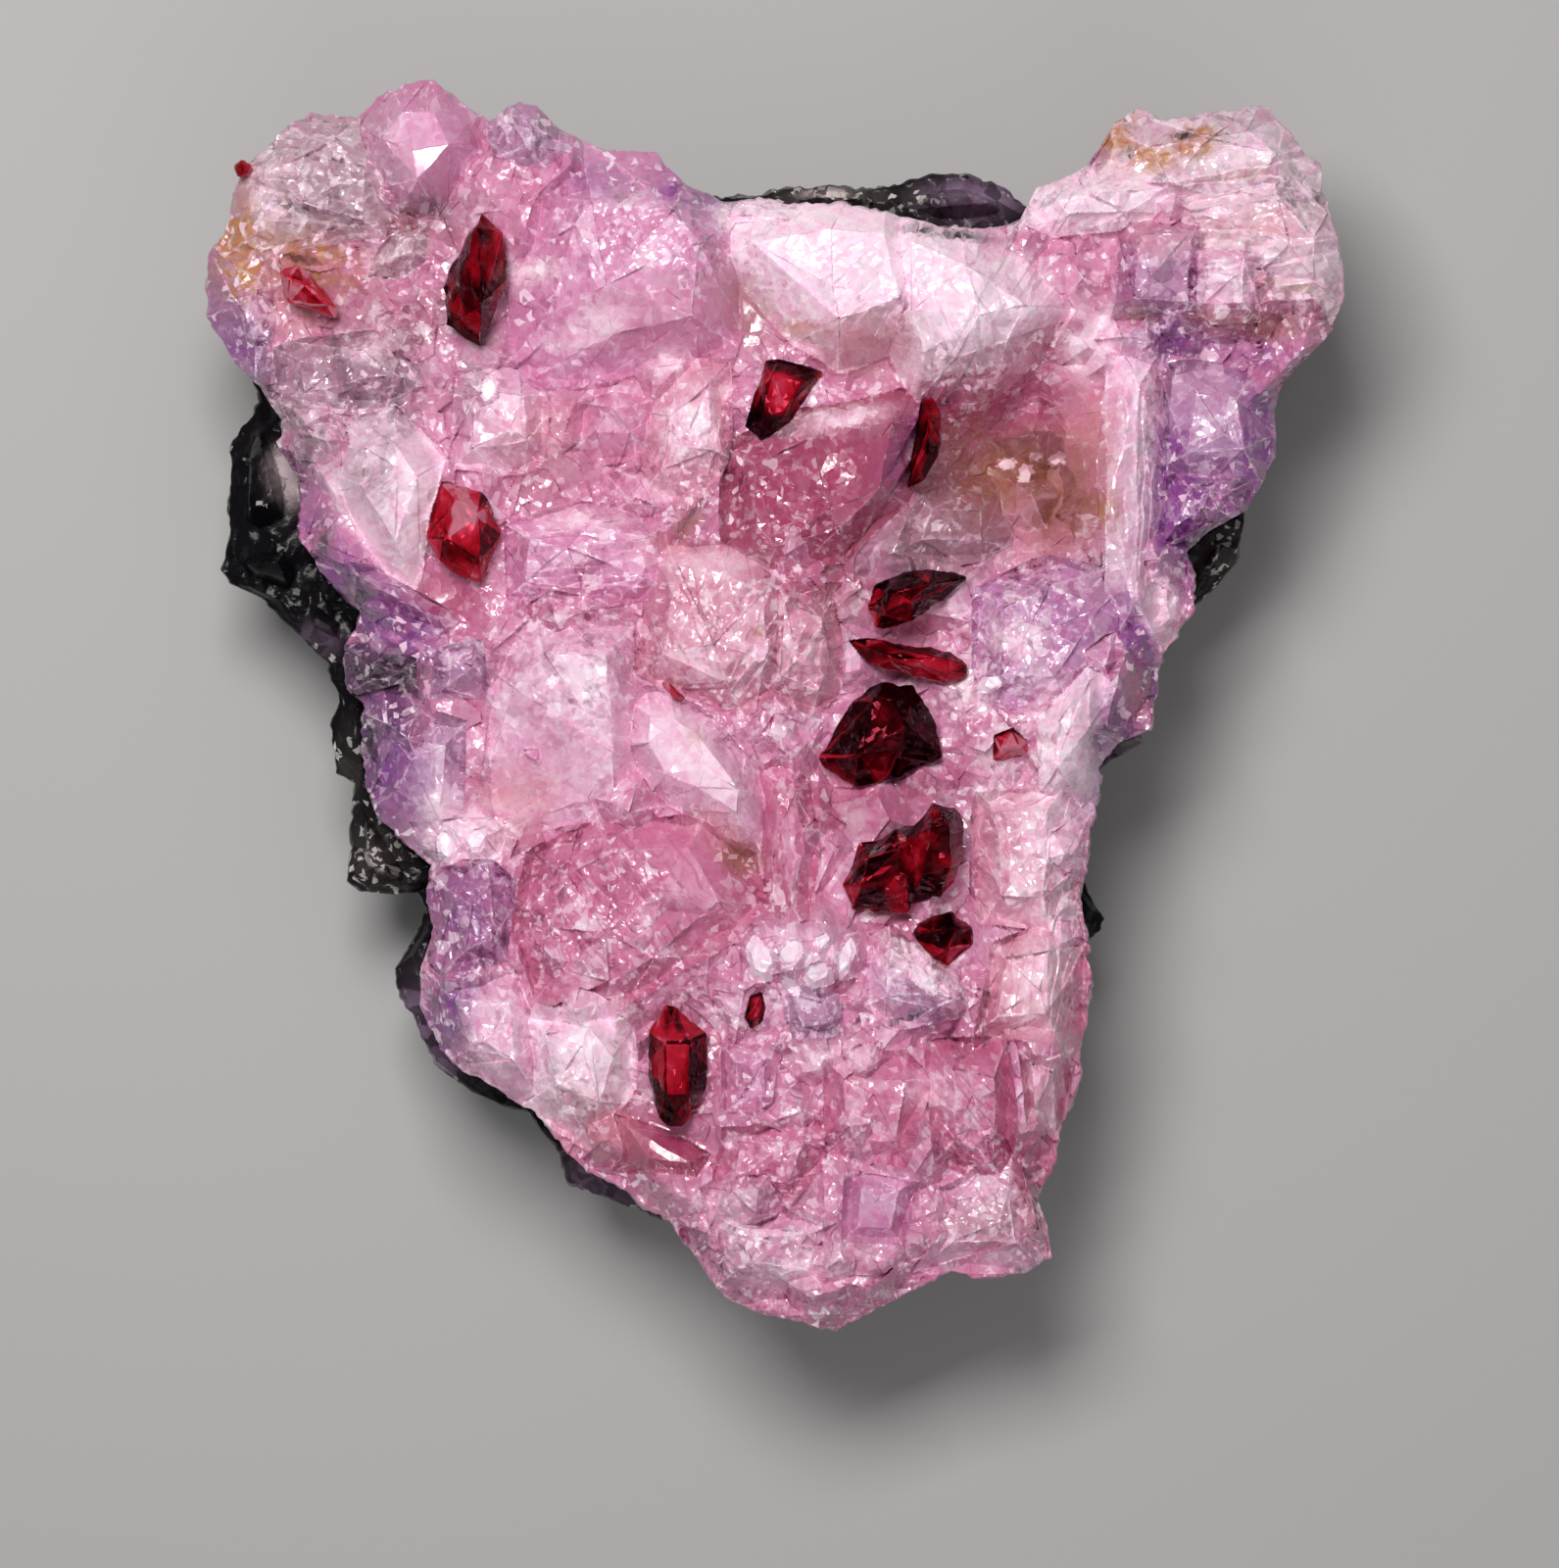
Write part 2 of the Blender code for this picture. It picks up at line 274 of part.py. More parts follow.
# Angular lumps of the rock where it stands clear of the crust: a root, and a crest above the seam
ROCK_LUMPS = {
    "left lump north": (
        [(-28.5, 9.6), (-28.4, 14.4), (-27.7, 15.7), (-27.0, 14.6), (-26.8, 13.2), (-25.9, 11.6),
         (-25.9, 9.6), (-27.0, 8.8)],
        [(-27.9, 10.6, 2.0), (-27.8, 13.2, 2.6), (-27.2, 13.6, 2.2), (-26.6, 11.0, 1.6)]),
    "left lump middle": (
        [(-28.9, 7.4), (-28.5, 8.8), (-26.0, 8.8), (-25.1, 7.2), (-26.2, 5.7), (-27.6, 6.3)],
        [(-28.0, 7.6, 1.2), (-26.4, 7.8, 1.8), (-26.0, 6.8, 1.1)]),
    "left lump lower": (
        [(-25.2, 4.4), (-24.4, 6.0), (-22.9, 4.9), (-23.2, 3.2), (-24.4, 3.6)],
        [(-24.3, 4.8, 1.5), (-23.6, 4.3, 1.3)]),
    "left lump south": (
        [(-22.2, -4.6), (-22.3, -8.9), (-20.4, -9.6), (-19.3, -9.5), (-19.4, -8.6), (-21.4, -6.5)],
        [(-21.8, -6.2, 1.2), (-21.4, -8.4, 2.1), (-20.4, -8.9, 1.6)]),
    "top lens": (
        [(7.0, 26.8), (8.6, 28.1), (10.2, 28.1), (12.4, 27.3), (12.6, 26.5), (11.0, 26.0), (8.6, 26.1)],
        [(8.8, 27.3, 2.1), (10.6, 27.3, 2.6), (11.6, 26.9, 2.2), (9.0, 26.7, 2.4)]),
    "top band": (
        [(0.6, 27.3), (2.0, 27.6), (5.4, 27.5), (6.0, 26.9), (4.0, 26.8), (1.6, 27.0)],
        [(2.0, 27.3, 1.6), (4.8, 27.2, 2.0)]),
    "right patch": (
        [(23.2, 6.8), (24.4, 8.2), (24.7, 9.2), (23.7, 8.8), (22.8, 7.9)],
        [(23.8, 8.3, 1.3), (23.4, 7.6, 1.0)]),
}

# Roselite crystals. seat is the height of the rim; rim is x, y; crest is x, y, rise above the seat;
# root is how deep the crystal goes below its rim.
ROSELITES = {
    "roselite_kite": dict(
        seat=17.2, root=3.0,
        rim=[(-15.3, 25.9), (-14.1, 24.9), (-13.9, 22.4), (-15.3, 18.7), (-17.1, 20.0), (-17.35, 22.0),
             (-15.9, 24.9)],
        crest=[(-15.5, 25.0, 1.3), (-16.1, 22.7, 2.2), (-15.2, 20.9, 2.0), (-15.3, 19.6, 0.9)]),
    "roselite_lath": dict(
        seat=15.6, root=2.2,
        rim=[(-26.0, 22.8), (-25.7, 23.2), (-25.1, 23.25), (-24.5, 22.9), (-23.6, 21.9), (-22.8, 20.9),
             (-23.0, 20.4), (-24.0, 21.0), (-25.6, 21.3)],
        crest=[(-25.4, 22.5, 0.9), (-24.6, 22.2, 1.1), (-23.4, 21.1, 0.8)]),
    "roselite_wedge": dict(
        seat=16.4, root=2.8,
        rim=[(-17.4, 11.8), (-16.9, 11.85), (-15.3, 11.2), (-14.8, 10.6), (-14.2, 9.2), (-15.3, 6.4),
             (-15.9, 6.6), (-17.5, 7.5), (-18.3, 8.9), (-18.1, 9.4)],
        crest=[(-16.6, 10.9, 1.2), (-15.4, 10.0, 1.8), (-15.4, 7.6, 1.6), (-17.2, 8.8, 1.2)]),
    "roselite_slab": dict(
        seat=16.9, root=2.8,
        rim=[(-0.4, 18.15), (0.3, 18.2), (2.6, 17.6), (1.7, 16.3), (0.9, 14.9), (-0.6, 13.9), (-1.45, 14.7)],
        crest=[(-0.1, 17.5, 1.0), (1.6, 17.0, 1.1), (0.6, 15.4, 1.3), (-0.7, 14.9, 1.2)]),
    "roselite_crescent": dict(
        seat=16.2, root=2.6,
        rim=[(7.8, 16.2), (8.5, 16.3), (8.8, 15.3), (8.9, 14.0), (8.6, 13.0), (7.9, 11.8), (7.0, 11.4),
             (7.6, 13.5)],
        crest=[(8.2, 15.2, 0.7), (8.1, 13.4, 0.9), (7.7, 12.3, 0.6)]),
    "roselite_column_top": dict(
        seat=16.0, root=2.6,
        rim=[(5.4, 6.4), (7.0, 7.2), (8.5, 7.3), (10.35, 6.8), (8.3, 5.1), (7.3, 4.3), (5.3, 4.2),
             (5.0, 5.2)],
        crest=[(6.2, 6.0, 1.6), (8.2, 6.4, 1.9), (7.2, 5.4, 1.7), (5.8, 4.9, 1.2)]),
    "roselite_column_bar": dict(
        seat=15.4, root=2.4,
        rim=[(4.0, 3.5), (5.0, 3.6), (9.3, 3.0), (10.4, 2.3), (10.2, 1.7), (9.3, 1.2), (6.8, 1.9),
             (5.0, 2.2)],
        crest=[(5.0, 3.1, 1.0), (9.2, 2.5, 1.2), (9.2, 1.8, 1.0), (6.6, 2.4, 1.3)]),
    "roselite_column_foot": dict(
        seat=15.5, root=2.8,
        rim=[(5.0, 1.0), (5.8, 1.4), (7.5, 1.2), (8.6, -0.9), (9.1, -2.7), (7.4, -3.3), (5.6, -4.1),
             (4.2, -4.2), (2.6, -3.2), (2.4, -2.6), (4.2, 0.3)],
        crest=[(5.4, 0.4, 1.4), (6.4, 0.3, 1.6), (7.0, -1.0, 2.0), (6.8, -2.4, 1.4), (4.4, -2.6, 1.9)]),
    "roselite_under_pair": dict(
        seat=15.6, root=2.4,
        rim=[(7.6, -11.4), (8.4, -11.0), (9.4, -10.8), (10.5, -11.6), (10.5, -12.5), (9.2, -13.7),
             (8.5, -13.3), (7.3, -12.0)],
        crest=[(8.4, -11.7, 1.1), (9.7, -11.6, 1.2), (9.2, -12.8, 1.0)]),
    "roselite_barrel": dict(
        seat=16.0, root=2.8,
        rim=[(-5.7, -15.7), (-5.1, -15.7), (-4.3, -16.5), (-3.5, -17.2), (-3.4, -18.8), (-3.5, -20.2),
             (-4.2, -21.5), (-4.7, -22.1), (-5.5, -22.2), (-6.1, -21.6), (-6.4, -20.5), (-6.7, -18.9),
             (-6.5, -17.0)],
        crest=[(-5.3, -16.6, 1.1), (-4.5, -17.6, 1.5), (-4.4, -20.4, 1.5), (-5.1, -21.4, 1.0),
               (-5.6, -20.4, 1.5), (-5.7, -17.6, 1.5)]),
    "roselite_chip": dict(
        seat=16.0, root=1.6,
        rim=[(-1.2, -15.2), (-0.6, -15.0), (-0.4, -15.8), (-0.6, -16.6), (-1.2, -17.0), (-1.5, -16.3)],
        crest=[(-0.9, -15.6, 0.7), (-0.9, -16.4, 0.8)]),
    "roselite_bud": dict(
        seat=15.6, root=1.6,
        rim=[(11.6, -1.5), (12.6, -1.1), (13.4, -1.8), (13.4, -2.6), (11.6, -2.8)],
        crest=[(12.2, -1.7, 0.9), (12.9, -2.1, 0.9), (12.0, -2.3, 0.7)]),
    "roselite_speck": dict(
        seat=14.8, root=1.2,
        rim=[(-28.5, 28.5), (-28.0, 29.0), (-27.5, 28.6), (-27.6, 28.1), (-28.2, 28.0)],
        crest=[(-28.1, 28.7, 0.5), (-27.9, 28.3, 0.5)]),
    "roselite_sliver": dict(
        seat=17.0, root=1.5,
        rim=[(-5.9, 1.25), (-5.5, 1.35), (-4.6, 0.45), (-4.75, 0.2), (-5.1, 0.35)],
        crest=[(-5.5, 1.1, 0.5), (-4.9, 0.5, 0.5)]),
}

# The pair is two crystals grown through each other, so it is one solid
PAIR_SEAT = 16.2
PAIR_ROOT = 2.8
PAIR_WEST = dict(
    rim=[(3.6, -9.4), (4.6, -7.2), (6.5, -6.5), (7.5, -7.2), (8.0, -8.4), (7.2, -10.9), (4.2, -10.6)],
    crest=[(5.0, -7.9, 1.7), (6.6, -7.5, 2.0), (7.0, -8.8, 1.9), (6.4, -10.0, 1.4), (4.6, -9.4, 1.6)])
PAIR_EAST = dict(
    rim=[(7.0, -6.9), (8.4, -5.0), (9.6, -5.3), (10.0, -6.0), (10.0, -8.0), (9.6, -9.2), (8.8, -10.0),
         (7.3, -9.8)],
    crest=[(8.2, -6.3, 2.4), (9.2, -6.2, 2.3), (9.3, -8.4, 2.0), (7.9, -8.8, 2.1)])

COLOURS = {
    "matrix": ((0.012, 0.010, 0.012, 1.0), 0.25),
    "calcite": ((0.70, 0.36, 0.52, 1.0), 0.30),
    "roselite": ((0.20, 0.002, 0.010, 1.0), 0.08),
}


def clear_scene():
    """Start from an empty scene."""
    for thing in list(bpy.data.objects):
        bpy.data.objects.remove(thing, do_unlink=True)


def material(name):
    """A plain Principled finish in the mineral's own colour."""
    colour, roughness = COLOURS[name]
    finish = bpy.data.materials.new(name)
    finish.use_nodes = True
    shader = finish.node_tree.nodes["Principled BSDF"]
    shader.inputs["Base Color"].default_value = colour
    shader.inputs["Roughness"].default_value = roughness
    shader.inputs["Metallic"].default_value = 0.0
    return finish


def seam(x, y):
    """Height of the seam between rock and crust: one long wave each way."""
    turn = 2.0 * math.pi / SEAM_WAVELENGTH
    return SEAM_HEIGHT + SEAM_WAVE * math.sin(turn * (x + 4.0)) * math.cos(turn * (y - 3.0))


def crust_level(x, y):
    """Height of the crust between its crystals: the mean level plus every swell and hollow."""
    height = CRUST_LEVEL
    for cx, cy, radius, rise in CRUST_SWELLS:
        reach = ((x - cx) ** 2 + (y - cy) ** 2) / (2.0 * radius * radius)
        height += rise * math.exp(-reach)
    return height


def rim_drop(index):
    """How far the crust falls away at its edge, which changes from point to point."""
    return 2.0 + 0.7 * math.sin(1.9 * index) + 0.5 * math.sin(0.7 * index + 1.0)


def inset(outline, distances):
    """The outline drawn in, each corner by its own distance, straight towards the middle."""
    drawn = []
    for (x, y), distance in zip(outline, distances):
        out = Vector((x - MIDDLE[0], y - MIDDLE[1]))
        kept = 1.0 - distance / out.length
        drawn.append((MIDDLE[0] + out.x * kept, MIDDLE[1] + out.y * kept))
    return drawn


def inside(point, outline):
    """Even-odd test of a point against an outline."""
    x, y = point
    found = False
    for (x0, y0), (x1, y1) in zip(outline, outline[1:] + outline[:1]):
        if (y0 > y) != (y1 > y) and x < x0 + (y - y0) * (x1 - x0) / (y1 - y0):
            found = not found
    return found


def net(outline, step, margin):
    """Triangles inside an outline, on a slightly uneven triangular net of points."""
    inner = inset(outline, [margin] * len(outline))
    points = list(outline)
    rows = int(70.0 / (step * 0.866)) + 1
    columns = int(64.0 / step) + 1
    for row in range(rows):
        for column in range(columns):
            x = -32.0 + step * (column + 0.5 * (row % 2)) + 0.22 * step * math.sin(3.1 * row + 1.7 * column)
            y = -35.0 + step * 0.866 * row + 0.22 * step * math.cos(2.3 * row - 1.3 * column)
            if inside((x, y), inner):
                points.append((x, y))
    count = len(outline)
    edges = [(i, (i + 1) % count) for i in range(count)]
    flat = [Vector(p) for p in points]
    found = delaunay_2d_cdt(flat, edges, [], 1, 1e-6)
    return [tuple(v) for v in found[0]], found[2]


def slab(name, outline, top_step, top_height, rows, floor_height):
    """Closed block: a netted top, walls through rows, and a netted underside inside the last row.
    A row gives each corner's (distance in from the outline, height) from its x, y and number."""
    mesh = bmesh.new()
    count = len(outline)
    top_points, top_faces = net(outline, top_step, 1.2)
    ring = []
    for i, (x, y) in enumerate(top_points):
        height = rows[0](x, y, i)[1] if i < count else top_height(x, y)
        ring.append(mesh.verts.new((x, y, height)))
    for face in top_faces:
        mesh.faces.new([ring[i] for i in face])
    above = ring[:count]
    for row in rows[1:]:
        placed = [row(x, y, i) for i, (x, y) in enumerate(outline)]
        corners = inset(outline, [distance for distance, height in placed])
        below = [mesh.verts.new((x, y, height)) for (x, y), (distance, height) in zip(corners, placed)]
        for i in range(count):
            j = (i + 1) % count
            mesh.faces.new((above[i], above[j], below[j], below[i]))
        above = below
    foot_points, foot_faces = net(corners, UNDERSIDE_STEP, 2.5)
    floor = above + [mesh.verts.new((x, y, floor_height(x, y))) for x, y in foot_points[count:]]
    for face in foot_faces:
        mesh.faces.new([floor[i] for i in reversed(face)])
    bmesh.ops.triangulate(mesh, faces=mesh.faces[:])
    bmesh.ops.recalc_face_normals(mesh, faces=mesh.faces[:])
    return finish_object(name, mesh)


def finish_object(name, mesh):
    """Turn a working mesh in millimetres into an object in metres."""
    bmesh.ops.scale(mesh, vec=(MM, MM, MM), verts=mesh.verts[:])
    data = bpy.data.meshes.new(name)
    mesh.to_mesh(data)
    mesh.free()
    thing = bpy.data.objects.new(name, data)
    bpy.context.scene.collection.objects.link(thing)
    return thing


def hull(points):
    """Working mesh of the convex hull of some points, with flat faces kept whole."""
    mesh = bmesh.new()
    for point in points:
        mesh.verts.new(point)
    result = bmesh.ops.convex_hull(mesh, input=mesh.verts[:])
    spare = [v for v in result["geom_interior"] + result["geom_unused"] if isinstance(v, bmesh.types.BMVert)]
    bmesh.ops.delete(mesh, geom=list(set(spare)), context="VERTS")
    bmesh.ops.recalc_face_normals(mesh, faces=mesh.faces[:])
    return mesh


def lean(x, y):
    """Direction in which a crystal at a place leans, which changes from crystal to crystal."""
    turn = 2.4 * (1.7 * x + 2.3 * y)
    return math.cos(turn), math.sin(turn)


def middle(points):
    """Mean place of some points."""
    return sum(p[0] for p in points) / len(points), sum(p[1] for p in points) / len(points)


def crust_crystal_points(root, crest):
    """Corners of one crystal of the crust: its root buried in the crust, and its leaning crest."""
    points = []
    mx, my = middle(root)
    for x, y in root:
        x, y = mx + ROOT_SPREAD * (x - mx), my + ROOT_SPREAD * (y - my)
        buried = max(crust_level(x, y) - SKIRT_DEPTH, seam(x, y) + GAP + SKIRT_CLEARANCE)
        points.append((x, y, buried))
    dx, dy = lean(mx, my)
    for x, y, rise in crest:
        leaning = LEAN * ((x - mx) * dx + (y - my) * dy)
        points.append((x, y, crust_level(x, y) + rise + leaning))
    cx, cy = middle(crest)
    width = 2.0 * sum(math.hypot(x - cx, y - cy) for x, y, rise in crest) / len(crest)
    top = sum(p[2] for p in points[len(root):]) / len(crest)
    points.append((cx + 0.2 * width * dx, cy + 0.2 * width * dy, top + PEAK * width))
    return points


def near_roselite(x, y, room):
    """Whether a place is nearer than some room to a roselite crystal's rim or middle."""
    rims = [shape["rim"] for shape in ROSELITES.values()] + [PAIR_WEST["rim"], PAIR_EAST["rim"]]
    for rim in rims:
        for px, py in rim + [middle(rim)]:
            if math.hypot(px - x, py - y) < room:
                return True
    return False


def small_crystals():
    """Roots and crests of the smaller crystals: leaning wedges on an uneven net, clear of the reds."""
    shapes = {}
    field = inset(CRUST_OUTLINE, [1.8] * len(CRUST_OUTLINE))
    for row in range(13):
        for column in range(11):
            x = -31.0 + SMALL_STEP * (column + 0.5 * (row % 2)) + 1.6 * math.sin(5.1 * row + 2.3 * column)
            y = -33.0 + SMALL_STEP * 0.866 * row + 1.6 * math.cos(3.7 * row - 4.1 * column)
            size = 1.9 + 0.7 * math.sin(2.9 * row + 4.3 * column)
            if not inside((x, y), field) or near_roselite(x, y, size + 0.9):
                continue
            dx, dy = lean(x, y)
            root = []
            for corner in range(6):
                turn = math.atan2(dy, dx) + corner * math.pi / 3.0
                reach = size * (1.0 + 0.25 * math.cos(2.0 * corner + row))
                root.append((x + reach * math.cos(turn), y + reach * math.sin(turn)))
            rise = 1.9 + 0.5 * math.sin(1.3 * row + 3.1 * column)
            crest = [(x + 0.45 * size * dx, y + 0.45 * size * dy, rise),
                     (x - 0.35 * size * dy, y + 0.35 * size * dx, 0.75 * rise),
                     (x + 0.35 * size * dy, y - 0.35 * size * dx, 0.75 * rise)]
            shapes["small crystal %d %d" % (row, column)] = (root, crest)
    return shapes


def rock_lump_points(root, crest):
    """Corners of one lump of the rock."""
    points = [(x, y, seam(x, y) - 1.6) for x, y in root]
    return points + [(x, y, seam(x, y) + rise) for x, y, rise in crest]


def roselite_points(seat, root, rim, crest):
    """Corners of a roselite crystal: its rim, its crest, and a smaller foot in the socket."""
    mx, my = middle(rim)
    points = [(x, y, seat) for x, y in rim]
    points += [(x, y, seat + rise) for x, y, rise in crest]
    points += [(mx + 0.6 * (x - mx), my + 0.6 * (y - my), seat - root) for x, y in rim[::2]]
    return points


def grown(mesh, distance):
    """The mesh with every face moved out by a distance: each corner goes where its moved faces meet."""
    moves = []
    for corner in mesh.verts:
        normals = []
        for face in corner.link_faces:
            if all((face.normal - n).length > 0.05 for n in normals):
                normals.append(face.normal.copy())
        step = np.linalg.lstsq(np.array(normals), np.full(len(normals), distance), rcond=0.05)[0]
        length = float(np.linalg.norm(step))
        limit = 3.0 * distance
        if length > limit:
            step = step * (limit / length)
        moves.append(Vector(step))
    for corner, move in zip(mesh.verts, moves):
        corner.co += move
    return mesh


def new_collection(name):
    """A collection for the objects that shape another."""
    collection = bpy.data.collections.new(name)
    bpy.context.scene.collection.children.link(collection)
    return collection


def as_cutter(thing, collection):
    """Hide an object that only shapes another, and put it in the collection that does so."""
    thing.hide_render = True
    thing.display_type = "WIRE"
    for other in list(thing.users_collection):
        other.objects.unlink(thing)
    collection.objects.link(thing)


def boolean(thing, name, operation, collection):
    """Join or cut an object with everything in a collection."""
    modifier = thing.modifiers.new(name, "BOOLEAN")
    modifier.operation = operation
    modifier.solver = "EXACT"
    modifier.operand_type = "COLLECTION"
    modifier.collection = collection
    modifier.use_self = True


def make_matrix():
    """The rock slab: uneven top under the crust, broken walls, lumps, flat foot at height zero."""
    def shoulder(x, y, i):
        return 0.0, seam(x, y) - 0.6 - 0.4 * math.sin(2.7 * i)

    def belly(x, y, i):
        return 0.9 + 0.8 * math.sin(1.1 * i) + 0.3 * math.sin(2.6 * i), 5.6 + 1.1 * math.sin(1.7 * i)

    def low(x, y, i):
        return 2.4 + 1.2 * math.sin(0.9 * i + 2.0) + 0.4 * math.sin(2.2 * i), 2.6 + 0.9 * math.sin(2.1 * i + 1.0)

    def foot(x, y, i=0):
        return FOOT_INSET + 1.3 * math.sin(0.8 * i + 2.2) + 0.5 * math.sin(2.0 * i), 0.0

    rock = slab("matrix", ROCK_OUTLINE, ROCK_STEP, seam, [shoulder, belly, low, foot], lambda x, y: 0.0)
    rock.data.materials.append(material("matrix"))
    lumps = new_collection("rock lumps")
    for name, (root, crest) in ROCK_LUMPS.items():
        as_cutter(finish_object(name, hull(rock_lump_points(root, crest))), lumps)
    boolean(rock, "lumps", "UNION", lumps)
    return rock


def make_crust():
    """The pink crust: a netted block, joined with its crystals and cut by the roselites' sockets."""
    def underside(x, y):
        return seam(x, y) + GAP

    def edge(x, y, i):
        return 0.0, crust_level(x, y) - rim_drop(i)

    def waist(x, y, i):
        middle_height = 0.5 * (crust_level(x, y) - rim_drop(i) + underside(x, y))
        return 0.4 + 0.3 * math.sin(1.4 * i), middle_height + 0.3 * math.sin(2.2 * i)

    def lip(x, y, i):
        return 1.1 + 0.5 * math.sin(1.2 * i + 1.0), underside(x, y)

    crust = slab("calcite_crust", CRUST_OUTLINE, CRUST_STEP, crust_level, [edge, waist, lip], underside)
    crust.data.materials.append(material("calcite"))
    crystals = new_collection("crust crystals")
    sockets = new_collection("roselite sockets")
    for name, (root, crest) in list(CRUST_CRYSTALS.items()) + list(small_crystals().items()):
        as_cutter(finish_object(name, hull(crust_crystal_points(root, crest))), crystals)
    for name, shape in ROSELITES.items():
        as_cutter(finish_object(name + " socket", grown(hull(roselite_points(**shape)), SOCKET_GAP)), sockets)
    for name, half in (("west", PAIR_WEST), ("east", PAIR_EAST)):
        points = roselite_points(PAIR_SEAT, PAIR_ROOT, **half)
        as_cutter(finish_object("pair socket " + name, grown(hull(points), SOCKET_GAP)), sockets)
    boolean(crust, "crystals", "UNION", crystals)
    boolean(crust, "sockets", "DIFFERENCE", sockets)
    return crust


def make_roselites():
    """Each roselite crystal as its own solid."""
    red = material("roselite")
    made = []
    for name, shape in ROSELITES.items():
        crystal = finish_object(name, hull(roselite_points(**shape)))
        crystal.data.materials.append(red)
        made.append(crystal)
    made.append(make_pair(red))
    return made


def make_pair(red):
    """The two crystals that grew through each other."""
    pair = finish_object("roselite_pair", hull(roselite_points(PAIR_SEAT, PAIR_ROOT, **PAIR_WEST)))
    east = finish_object("pair east", hull(roselite_points(PAIR_SEAT, PAIR_ROOT, **PAIR_EAST)))
    halves = new_collection("pair halves")
    as_cutter(east, halves)
    boolean(pair, "east half", "UNION", halves)
    pair.data.materials.append(red)
    return pair


def main():
    clear_scene()
    root = bpy.data.objects.new("specimen", None)
    bpy.context.scene.collection.objects.link(root)
    pieces = [make_matrix(), make_crust()] + make_roselites()
    for piece in pieces:
        piece.parent = root


main()
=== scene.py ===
# Roselite specimen: the finished surfaces of the rock, its pink calcite crust and the red crystals in it.
# Lengths are millimetres until toMetres turns them into metres. +Z comes up out of the crystal face.
import math

import bmesh
import bpy
import numpy as np
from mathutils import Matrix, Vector


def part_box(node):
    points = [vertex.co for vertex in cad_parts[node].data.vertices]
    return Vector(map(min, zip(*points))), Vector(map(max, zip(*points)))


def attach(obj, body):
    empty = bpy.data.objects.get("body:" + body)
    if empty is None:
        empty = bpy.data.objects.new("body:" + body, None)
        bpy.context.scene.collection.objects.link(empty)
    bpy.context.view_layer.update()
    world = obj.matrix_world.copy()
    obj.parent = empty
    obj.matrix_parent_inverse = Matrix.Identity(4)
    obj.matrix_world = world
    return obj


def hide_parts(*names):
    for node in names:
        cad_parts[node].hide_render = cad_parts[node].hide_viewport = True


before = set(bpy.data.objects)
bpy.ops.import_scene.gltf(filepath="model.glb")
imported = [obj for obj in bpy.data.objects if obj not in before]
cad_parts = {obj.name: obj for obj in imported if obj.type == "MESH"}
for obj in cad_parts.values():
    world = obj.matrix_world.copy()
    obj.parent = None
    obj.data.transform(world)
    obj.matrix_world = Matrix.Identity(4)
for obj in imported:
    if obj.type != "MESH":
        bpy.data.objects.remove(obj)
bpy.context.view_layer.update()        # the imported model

toMetres = 0.001
middle = (0.0, 1.0)      # every corner of both outlines can be seen from here


def report(words):
    print("roselite specimen:", words)


def dice(seed, count):
    # a table of chances, one row of them for each cell of a net
    return np.random.default_rng(seed).random((256, 256, count)).astype(np.float32)


def roll(table, i, j):
    # the chances of the cell in column i and row j, repeated past the table's end
    return table[i & 255, j & 255]


def smoothStep(edge0, edge1, value):
    # 0 below the first edge, 1 above the second, an S curve between them
    share = np.clip((value - edge0) / (edge1 - edge0), 0.0, 1.0)
    return share * share * (3.0 - 2.0 * share)


def softNoise(x, y, seed):
    # chances at whole numbers, blended by an S curve between them, from -0.5 to 0.5
    table = dice(seed, 1)[..., 0]
    i, j = np.floor(x).astype(int), np.floor(y).astype(int)
    u, v = smoothStep(0.0, 1.0, x - i), smoothStep(0.0, 1.0, y - j)
    low = roll(table, i, j) * (1 - u) + roll(table, i + 1, j) * u
    high = roll(table, i, j + 1) * (1 - u) + roll(table, i + 1, j + 1) * u
    return low * (1 - v) + high * v - 0.5


def layeredNoise(x, y, seed, layers=4):
    # soft noise at each scale, each half as large and twice as fine as the last
    total = 0.0
    for layer in range(layers):
        fine = 2.0 ** layer
        total = total + softNoise(x * fine + 13.7 * layer, y * fine, seed + layer) / fine
    return total


def turned(x, y, degrees):
    # the place measured along and across a direction
    c, s = np.cos(np.radians(degrees)), np.sin(np.radians(degrees))
    return x * c + y * s, y * c - x * s


# the crystals of a net, for one step of it: least rise, how much it varies, how far out the sides start,
# least slope of a side for its steepness, how much that varies, and the floor between the crystals
druseForm = {"rise": 0.30, "riseVaries": 0.45, "reach": 0.28, "slope": 0.6, "slopeVaries": 0.8, "floor": -0.4}


